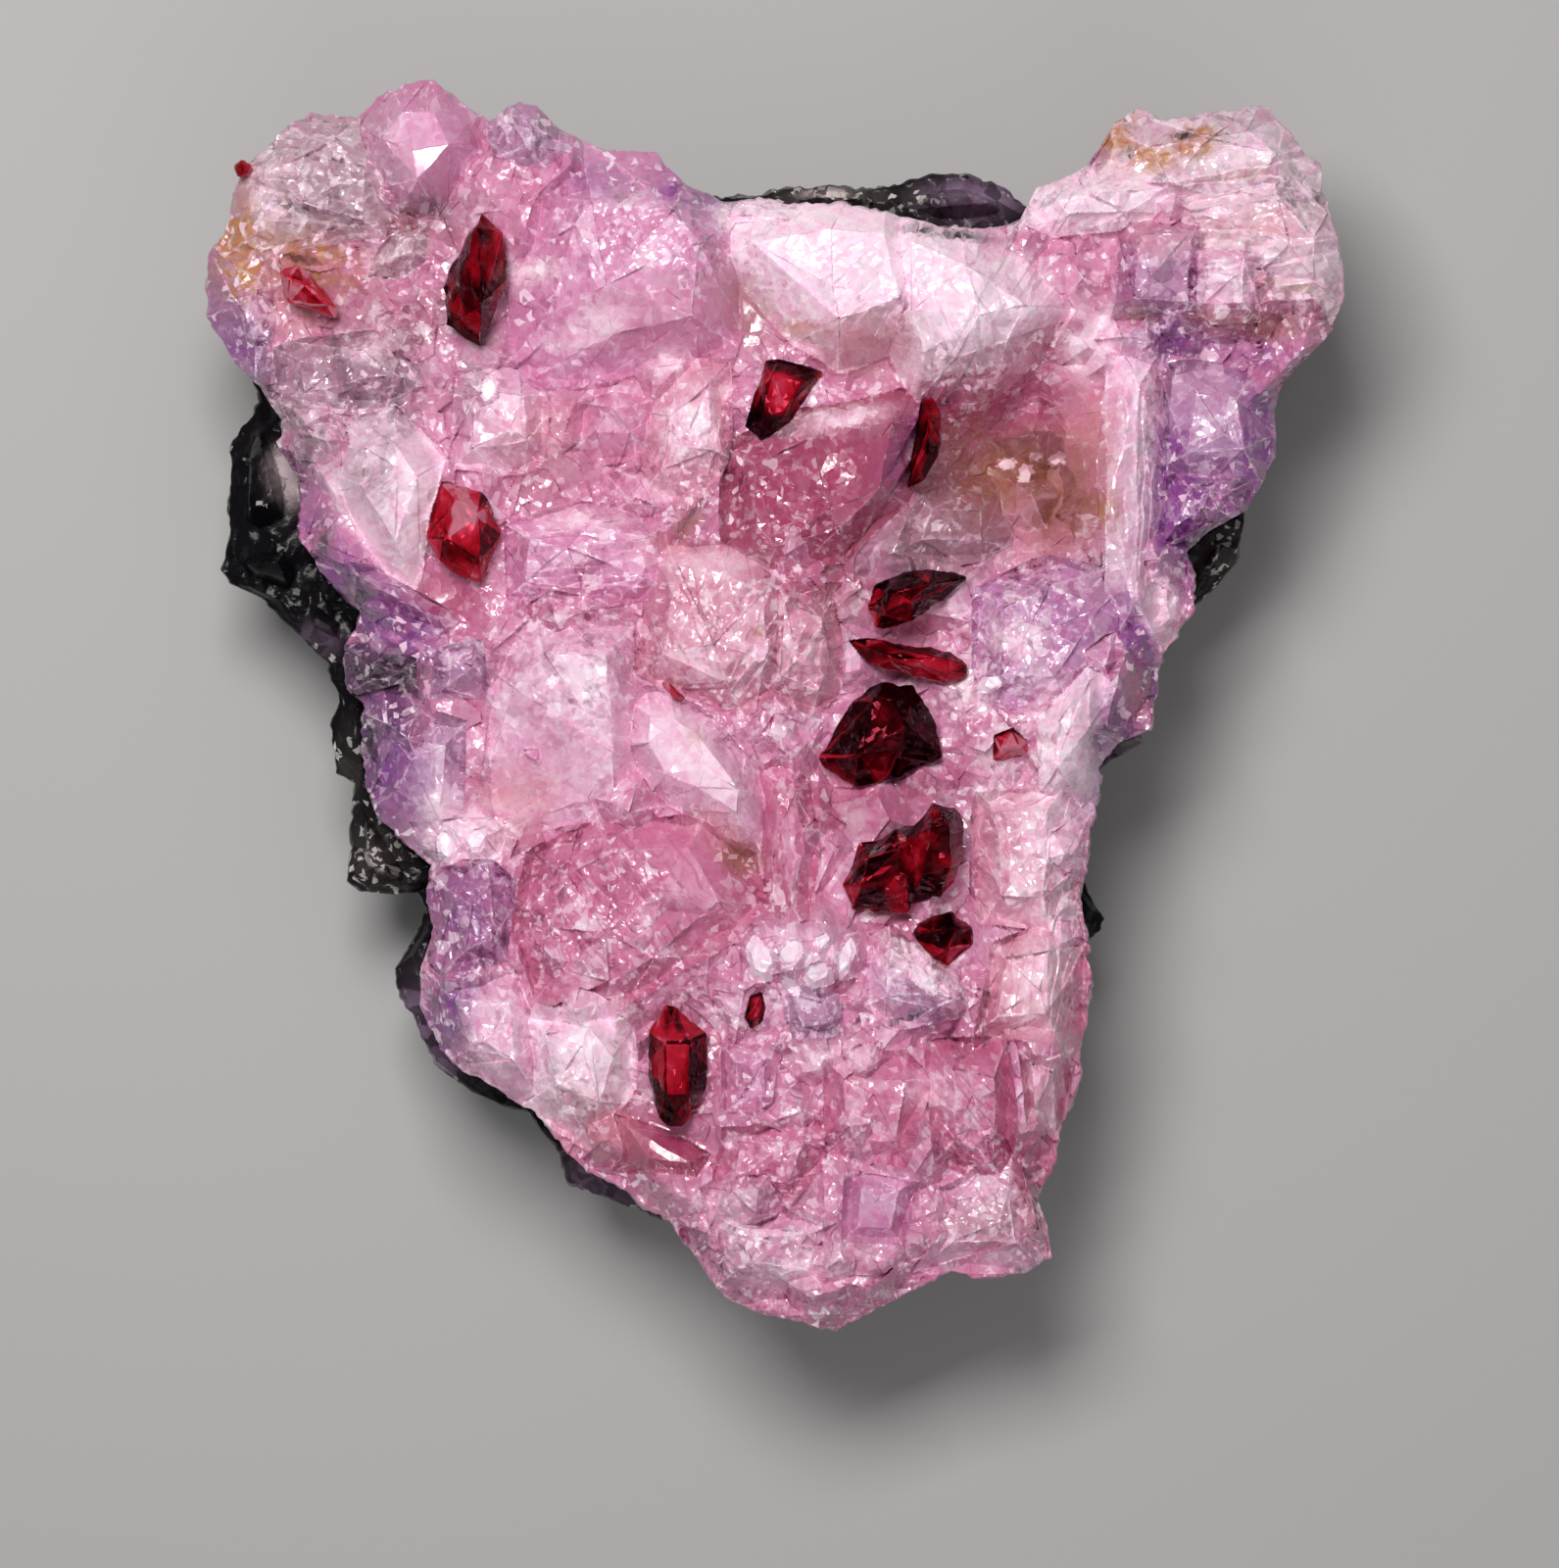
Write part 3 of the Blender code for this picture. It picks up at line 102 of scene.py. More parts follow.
def druse(x, y, step, seed, steep, cap, angle=0.0, stretch=1.0, order=0.0):
    # a jittered net with one crystal in each cell: the lowest of its leaning cap and its four sides,
    # and the highest crystal shows at every place. order 1 gives all the crystals the same faces.
    # Gives the height and a tone for each face of each crystal.
    form = druseForm
    table = dice(seed, 10)
    u, v = turned(x, y, angle)
    u, v = u / (step * stretch), v / step
    ci, cj = np.floor(u).astype(int), np.floor(v).astype(int)
    best = np.full(x.shape, -9.0)
    owner = np.zeros(x.shape)
    for di in (-1, 0, 1):
        for dj in (-1, 0, 1):
            i, j = ci + di, cj + dj
            chance = roll(table, i, j)
            du = (u - i - 0.1 - 0.8 * chance[..., 0]) * stretch
            dv = v - j - 0.1 - 0.8 * chance[..., 1]
            rise = form["rise"] + form["riseVaries"] * chance[..., 2]
            lean = 2.0 * math.pi * chance[..., 3] * (1.0 - order) + 0.9 * order
            height = rise + cap * (du * np.cos(lean) + dv * np.sin(lean))
            turn = (1.0 - order) * 2.0 * math.pi * chance[..., 4]
            c, s = np.cos(turn), np.sin(turn)
            along, across = du * c + dv * s, dv * c - du * s
            tone = chance[..., 9].astype(float)
            sides = ((along, 5), (-along, 6), (across, 7), (-across, 8))
            for reach, k in sides:
                slope = steep * (form["slope"] + form["slopeVaries"] * chance[..., k])
                side = rise + form["reach"] * steep * (0.5 + chance[..., k]) - slope * reach
                tone = np.where(side < height, (chance[..., 9] + 0.23 * k) % 1.0, tone)
                height = np.minimum(height, side)
            shown = height > best
            best = np.where(shown, height, best)
            owner = np.where(shown, tone, owner)
    return np.maximum(best, form["floor"]) * step, owner


def cleavage(x, y, step, seed, tilt, jump, stretch):
    # the nearest seed of a jittered net owns each place, and each owner is a small plane with its own
    # tilt and height
    table = dice(seed, 8)
    u, v = x / (step * stretch), y / step
    ci, cj = np.floor(u).astype(int), np.floor(v).astype(int)
    nearest = np.full(x.shape, 99.0)
    height = np.zeros(x.shape)
    for di in (-1, 0, 1):
        for dj in (-1, 0, 1):
            i, j = ci + di, cj + dj
            chance = roll(table, i, j)
            du = u - i - 0.08 - 0.84 * chance[..., 0]
            dv = v - j - 0.08 - 0.84 * chance[..., 1]
            away = du * du + dv * dv
            shown = away < nearest
            nearest = np.where(shown, away, nearest)
            leaning = tilt * ((2 * chance[..., 2] - 1) * du * stretch + (2 * chance[..., 3] - 1) * dv) * step
            height = np.where(shown, leaning + jump * (chance[..., 4] - 0.5), height)
    return height


def softMax(first, second, width):
    # the higher of two heights, with the corner between them filled over a width
    share = np.clip(0.5 + 0.5 * (first - second) / width, 0.0, 1.0)
    return second + (first - second) * share + width * share * (1.0 - share)


def zone(x, y, spots):
    # how far inside a set of ellipses a place is: (x, y, half length, half width, degrees, strength)
    total = np.zeros(np.shape(x))
    for cx, cy, length, width, degrees, strength in spots:
        u, v = turned(x - cx, y - cy, degrees)
        total = np.maximum(total, strength * np.exp(-((u / length) ** 2 + (v / width) ** 2) ** 1.5))
    return total


def outlineAt(outline, share, ragged, seed):
    # the point at a share of the outline's length, counted against the clock from the lower right,
    # pushed out and in by a fine raggedness
    points = np.array(outline[::-1])
    corner = np.argmin(np.abs(np.arctan2(points[:, 1] - middle[1], points[:, 0] - middle[0]) + math.pi / 4))
    points = np.roll(points, -corner, axis=0)
    closed = np.vstack([points, points[:1]])
    lengths = np.concatenate([[0.0], np.cumsum(np.hypot(*np.diff(closed, axis=0).T))])
    at = share * lengths[-1]
    x, y = np.interp(at, lengths, closed[:, 0]), np.interp(at, lengths, closed[:, 1])
    out = np.arctan2(y - middle[1], x - middle[0])
    broad, fine = softNoise(at * 1.1, at * 0 + 3.5, seed), softNoise(at * 3.3, at * 0 + 8.5, seed)
    wobble = ragged * (broad + 0.6 * fine)
    return x + wobble * np.cos(out), y + wobble * np.sin(out), at


def depthInside(outline, x, y):
    # how far a place is inside the outline, measured straight towards the middle
    edgeX, edgeY, _ = outlineAt(outline, np.linspace(0.0, 1.0, 6000, endpoint=False), 0.0, 0)
    angle = np.arctan2(edgeY - middle[1], edgeX - middle[0])
    radius = np.hypot(edgeX - middle[0], edgeY - middle[1])
    order = np.argsort(angle)
    here = np.arctan2(y - middle[1], x - middle[0])
    reach = np.interp(here, angle[order], radius[order], period=2.0 * math.pi)
    return reach - np.hypot(x - middle[0], y - middle[1])


def blockGrid(outline, samples, ragged, seed):
    # a square grid laid on the outline: each square ring of the grid becomes a smaller copy of the
    # outline about the middle. Gives x, y and the place along the outline.
    line = np.linspace(-1.0, 1.0, samples)
    u, v = np.meshgrid(line, line, indexing="ij")
    ring = np.maximum(np.abs(u), np.abs(v))
    safe = np.maximum(ring, 1e-9)
    share = np.where(v <= -ring, 6.0 + (u / safe + 1.0), 0.0)
    share = np.where(u <= -ring, 4.0 + (1.0 - v / safe), share)
    share = np.where(v >= ring, 2.0 + (1.0 - u / safe), share)
    share = np.where((u >= ring) & (v < ring), v / safe + 1.0, share)
    edgeX, edgeY, at = outlineAt(outline, (share / 8.0) % 1.0, ragged, seed)
    x = middle[0] + ring * (edgeX - middle[0])
    y = middle[1] + ring * (edgeY - middle[1])
    return x, y, at


def eased(x, y, z, slope, passes):
    # raises the foot of every wall steeper than the slope, so that it ends as a leaning face: each point
    # is at least as high as its neighbours less the slope times the distance to them
    z = z.copy()
    runs = [np.hypot(np.diff(x, axis=axis), np.diff(y, axis=axis)) * slope for axis in (0, 1)]
    for _ in range(passes):
        z[1:] = np.maximum(z[1:], z[:-1] - runs[0])
        z[:-1] = np.maximum(z[:-1], z[1:] - runs[0])
        z[:, 1:] = np.maximum(z[:, 1:], z[:, :-1] - runs[1])
        z[:, :-1] = np.maximum(z[:, :-1], z[:, 1:] - runs[1])
    return z


def laidFlat(x, y, depth):
    # a place on a wall, as if the wall lay flat past the edge: as far out from the middle as it is deep
    out = np.arctan2(y - middle[1], x - middle[0])
    return x + depth * np.cos(out), y + depth * np.sin(out)


def border(grid):
    # the grid's edge as one line, against the clock from the corner at the lower right
    return np.concatenate([grid[-1, :-1], grid[:0:-1, -1], grid[0, :0:-1], grid[:-1, 0]])


def blockMesh(name, top, rows, closing):
    # a closed block: the grid of the top, rows of the wall below its edge, and a fan to one last point
    samples = top[0].shape[0]
    places = [np.stack([part.ravel() for part in top], axis=1)]
    number = np.arange(samples * samples).reshape(samples, samples)
    cells = np.stack([number[:-1, :-1], number[1:, :-1], number[1:, 1:], number[:-1, 1:]], axis=-1)
    quads = [cells.reshape(-1, 4)]
    ring = border(number)
    count = samples * samples
    for row in rows:
        places.append(np.stack(row, axis=1))
        below = count + np.arange(len(ring))
        quads.append(np.stack([ring, below, np.roll(below, -1), np.roll(ring, -1)], axis=1))
        ring = below
        count += len(ring)
    places.append(np.array([closing]))
    fan = np.stack([ring, np.full(len(ring), count), np.roll(ring, -1)], axis=1)
    co = np.concatenate(places) * toMetres
    quads = np.concatenate(quads)
    mesh = bpy.data.meshes.new(name)
    mesh.vertices.add(len(co))
    mesh.vertices.foreach_set("co", co.astype(np.float32).ravel())
    mesh.loops.add(quads.size + fan.size)
    mesh.loops.foreach_set("vertex_index", np.concatenate([quads.ravel(), fan.ravel()]).astype(np.int32))
    mesh.polygons.add(len(quads) + len(fan))
    starts = np.concatenate([4 * np.arange(len(quads)), quads.size + 3 * np.arange(len(fan))])
    mesh.polygons.foreach_set("loop_start", starts.astype(np.int32))
    mesh.update(calc_edges=True)
    return mesh


def thinned(name, mesh, triangles, sharp):
    # the finished piece with fewer triangles, kept where the surface bends, and crisp at its edges
    piece = bpy.data.objects.new(name, mesh)
    bpy.context.scene.collection.objects.link(piece)
    full = len(mesh.loops) - 2 * len(mesh.polygons)
    if triangles < full:
        modifier = piece.modifiers.new("thin", "DECIMATE")
        modifier.ratio = triangles / full
        scene = bpy.context.evaluated_depsgraph_get()
        thin = bpy.data.meshes.new_from_object(piece.evaluated_get(scene))
        piece.modifiers.remove(modifier)
        piece.data = thin
        bpy.data.meshes.remove(mesh)
    data = piece.data
    data.name = name
    data.shade_smooth()
    data.set_sharp_from_angle(angle=math.radians(sharp))
    return piece


def placesOf(piece):
    # the piece's points, in millimetres
    co = np.empty(3 * len(piece.data.vertices), dtype=np.float32)
    piece.data.vertices.foreach_get("co", co)
    return co.reshape(-1, 3).astype(float) / toMetres


def facesOf(piece):
    # the middles of the piece's faces, in millimetres
    co = np.empty(3 * len(piece.data.polygons), dtype=np.float32)
    piece.data.polygons.foreach_get("center", co)
    return co.reshape(-1, 3).astype(float) / toMetres


def facing(piece):
    # the outward direction of each face of the piece
    normal = np.empty(3 * len(piece.data.polygons), dtype=np.float32)
    piece.data.polygons.foreach_get("normal", normal)
    return normal.reshape(-1, 3).astype(float)


def paint(piece, name, colours):
    # one colour for each face of the piece
    layer = piece.data.attributes.new(name, "FLOAT_COLOR", "FACE")
    opaque = np.column_stack([colours, np.ones(len(colours))])
    layer.data.foreach_set("color", opaque.astype(np.float32).ravel())


def grade(piece, name, values):
    # one number for each face of the piece
    layer = piece.data.attributes.new(name, "FLOAT", "FACE")
    layer.data.foreach_set("value", np.asarray(values).astype(np.float32))


def hullMesh(points):
    # working mesh of the convex hull of some points
    mesh = bmesh.new()
    for point in points:
        mesh.verts.new(point)
    found = bmesh.ops.convex_hull(mesh, input=mesh.verts[:])
    spare = [v for v in found["geom_interior"] + found["geom_unused"] if isinstance(v, bmesh.types.BMVert)]
    bmesh.ops.delete(mesh, geom=list(set(spare)), context="VERTS")
    bmesh.ops.recalc_face_normals(mesh, faces=mesh.faces[:])
    return mesh


def facePlanes(points):
    # each face of the hull as (normal x, y, z, distance)
    mesh = hullMesh(points)
    planes = [(*face.normal, face.normal.dot(face.verts[0].co)) for face in mesh.faces]
    mesh.free()
    return np.array(planes)


def upperSide(planes, x, y):
    # height of the hull's upper side, the lowest of the planes that face up, with the number of that
    # plane and the distance to its edge: the height to the next plane for the slope between the two.
    # A blunt edge counts as further away.
    up = planes[planes[:, 2] > 0.02]
    height = np.full(np.shape(x), 99.0)
    second = np.full(np.shape(x), 99.0)
    face = np.zeros(np.shape(x), dtype=int)
    other = face
    for index, (nx, ny, nz, distance) in enumerate(up):
        plane = (distance - nx * x - ny * y) / nz
        lower = plane < height
        other = np.where(lower, face, np.where(plane < second, index, other))
        second = np.where(lower, height, np.minimum(second, plane))
        height = np.where(lower, plane, height)
        face = np.where(lower, index, face)
    slopes = up[:, :2] / up[:, 2:3]
    apart = np.linalg.norm(slopes[face] - slopes[other], axis=-1)
    return height, face, (second - height + 0.03) / np.maximum(apart, 0.02)


def lowerSide(planes, x, y):
    # height of the hull's lower side: the highest of the planes that face down
    down = planes[planes[:, 2] < -0.02]
    height = np.full(np.shape(x), -99.0)
    for nx, ny, nz, distance in down:
        height = np.maximum(height, (distance - nx * x - ny * y) / nz)
    return height


def centreOf(points):
    # the mean of the points' x and y
    return sum(p[0] for p in points) / len(points), sum(p[1] for p in points) / len(points)


def leanAt(x, y):
    # a direction that turns quickly from place to place, so that neighbours lean different ways
    turn = 2.4 * (1.7 * x + 2.3 * y)
    return math.cos(turn), math.sin(turn)


crustShape = {
    "samples": 1001,            # grid points across the top
    "triangles": 188000,
    "sharpDegrees": 7,
    "level": 14.0,              # mean height between the crystals
    "ragged": 0.35,             # how far the edge wanders
    "rimWidth": 2.2,            # the crust falls away over this width at its edge
    "rimDrop": 2.0,
    "seam": 9.0,                # mean height of the seam between rock and crust
    "seamWave": 0.5,
    "seamWavelength": 34.0,
    "gap": 0.4,                 # room between crust and rock
    "rootDepth": 1.2,
    "rootClearance": 0.9,
    "spread": 1.30,             # roots spread this much past their places
    "lean": 0.10,
    "peak": 0.09,
    "smallStep": 6.2,           # distance between the smaller crystals
    "smallWander": 1.6,         # how far each is moved off the net
    "smallSize": 1.9,
    "smallVaries": 0.7,
    "smallRise": 1.9,
    "smallInset": 1.8,          # they keep this far inside the crust's edge
    "smallClear": 0.9,          # and this far from the red crystals
    "smallGrain": 0.4,
    "blockStep": 3.4,           # size of the crystals that cover the crust between the named ones
    "blockHeight": 0.75,
    "faceStep": 2.3,            # size of the low faces on the large crystals
    "faceSteep": 0.9,
    "faceCap": 0.30,
    "faceHeight": 0.34,
    "chipStep": 0.95,           # size of the chips on them
    "chipSteep": 1.0,
    "chipCap": 0.35,
    "chipHeight": 0.36,
    "fineStep": 0.42,           # size of the finest chips
    "fineSteep": 1.0,
    "fineCap": 0.40,
    "fineHeight": 0.34,
    "fill": 0.35,               # corners between crystals are filled over this height
    "pointStep": 1.5,           # size of the pointed crystals
    "pointHeight": 0.45,
    "grainStep": 0.8,           # size of the small crystals
    "grainHeight": 0.35,
    "standingRoot": 0.7,        # the standing crystals start this far below the surface
    "standingLean": 0.12,       # their tops lean by this much
    "slope": 1.15,              # steepest rise of a wall between crystals
    "slopePasses": 30,
    "wallRows": 46,
    "wallDepth": 1.2,           # faces deeper than this belong to the wall
    "footInset": 1.1,           # the wall's foot stands in by this much
    "bulge": 0.55,              # how far the crystals on the wall stand out
    "edgeWidth": 0.12,          # width of the painted highlight along a crystal's edges
    "socketFloor": 10.6,        # no socket is cut lower
}

crustOutline = [
    (-30.0, 20.7), (-30.0, 24.0), (-29.2, 24.9), (-28.6, 26.5), (-28.2, 28.2), (-26.9, 29.3),
    (-25.3, 30.9), (-24.5, 31.5), (-21.9, 31.0), (-21.0, 32.1), (-19.3, 32.8), (-17.8, 32.9),
    (-16.4, 31.8), (-14.9, 30.8), (-14.0, 31.8), (-12.4, 31.5), (-11.2, 30.4), (-9.2, 29.5),
    (-6.0, 29.0), (-5.3, 27.9), (-4.5, 27.3), (-2.8, 26.6), (0.3, 26.4), (3.5, 26.1), (6.3, 25.7),
    (8.6, 25.0), (11.0, 24.9), (13.3, 25.6), (13.8, 27.2), (15.5, 27.8), (16.5, 28.5), (17.5, 29.7),
    (18.0, 30.8), (19.2, 31.5), (20.3, 30.7), (21.8, 31.0), (24.0, 31.3), (25.3, 31.8), (26.2, 31.6),
    (26.4, 31.0), (28.0, 29.1), (28.9, 28.5), (29.0, 27.0), (29.8, 24.0), (30.1, 21.4), (29.5, 19.9),
    (28.6, 18.9), (26.8, 17.1), (26.6, 15.0), (26.5, 13.5), (25.8, 12.0), (25.0, 10.4), (23.0, 9.3),
    (21.8, 8.2), (22.2, 6.6), (22.1, 4.9), (20.4, 2.8), (20.0, 0.0), (19.9, -1.2), (18.0, -1.9),
    (17.2, -3.2), (17.0, -5.7), (16.5, -6.3), (16.3, -8.4), (16.2, -10.5), (16.4, -12.0),
    (16.8, -14.0), (16.6, -16.0), (16.1, -19.2), (15.3, -21.9), (14.9, -24.1), (14.0, -26.0),
    (14.5, -27.4), (14.7, -29.0), (13.1, -29.8), (11.2, -30.1), (8.8, -29.9), (7.0, -31.0),
    (4.6, -32.2), (3.1, -32.9), (1.3, -32.4), (-0.8, -32.0), (-2.6, -31.2), (-4.0, -29.0),
    (-5.6, -27.2), (-7.2, -25.8), (-9.6, -24.6), (-11.2, -23.4), (-12.4, -21.6), (-14.2, -20.2),
    (-16.4, -19.2), (-17.8, -17.6), (-18.6, -15.6), (-18.4, -13.4), (-17.9, -11.4), (-18.2, -9.5),
    (-18.0, -8.3), (-19.4, -7.2), (-20.9, -5.7), (-21.6, -3.4), (-21.6, -1.8), (-21.5, 0.0),
    (-22.5, 1.2), (-22.5, 2.8), (-21.8, 5.1), (-23.9, 7.2), (-25.0, 9.0), (-25.0, 12.0),
    (-26.2, 14.0), (-26.0, 15.2), (-27.2, 17.0), (-28.5, 18.2), (-29.2, 19.5),
]

# swells and hollows: x, y, radius, rise
crustSwells = [
    (5.0, 22.0, 7.0, 2.2), (-8.5, 22.5, 6.0, 1.6), (24.0, 25.0, 6.5, 1.2), (-18.0, 29.0, 4.0, 0.8),
    (-27.5, 21.5, 3.5, -1.4), (-24.0, 17.0, 4.0, -0.6), (-19.5, 12.0, 4.0, 1.0), (2.5, 11.5, 4.5, 1.3),
    (14.2, 12.6, 3.6, -3.6), (10.5, 13.6, 3.0, -1.6), (22.6, 18.6, 2.4, -1.8), (23.5, 12.5, 3.0, -0.8),
    (-10.0, 13.0, 3.0, -1.2), (-9.5, 4.0, 6.0, 1.0), (-1.0, 4.0, 4.5, 1.2), (7.0, 2.0, 3.0, -1.4),
    (-1.8, -7.8, 1.8, -2.2), (-14.0, -6.8, 2.4, -1.4), (-7.0, -11.0, 5.5, 1.4), (8.0, -8.0, 3.0, -1.0),
    (3.0, -13.0, 4.0, 0.8), (15.0, -0.5, 3.0, 1.0), (13.0, -12.0, 4.0, 0.6), (-5.0, -19.0, 2.4, -1.0),
    (4.0, -24.0, 6.0, 0.8), (13.0, -25.0, 2.4, -1.0), (-22.0, -2.0, 3.0, -1.2),
]

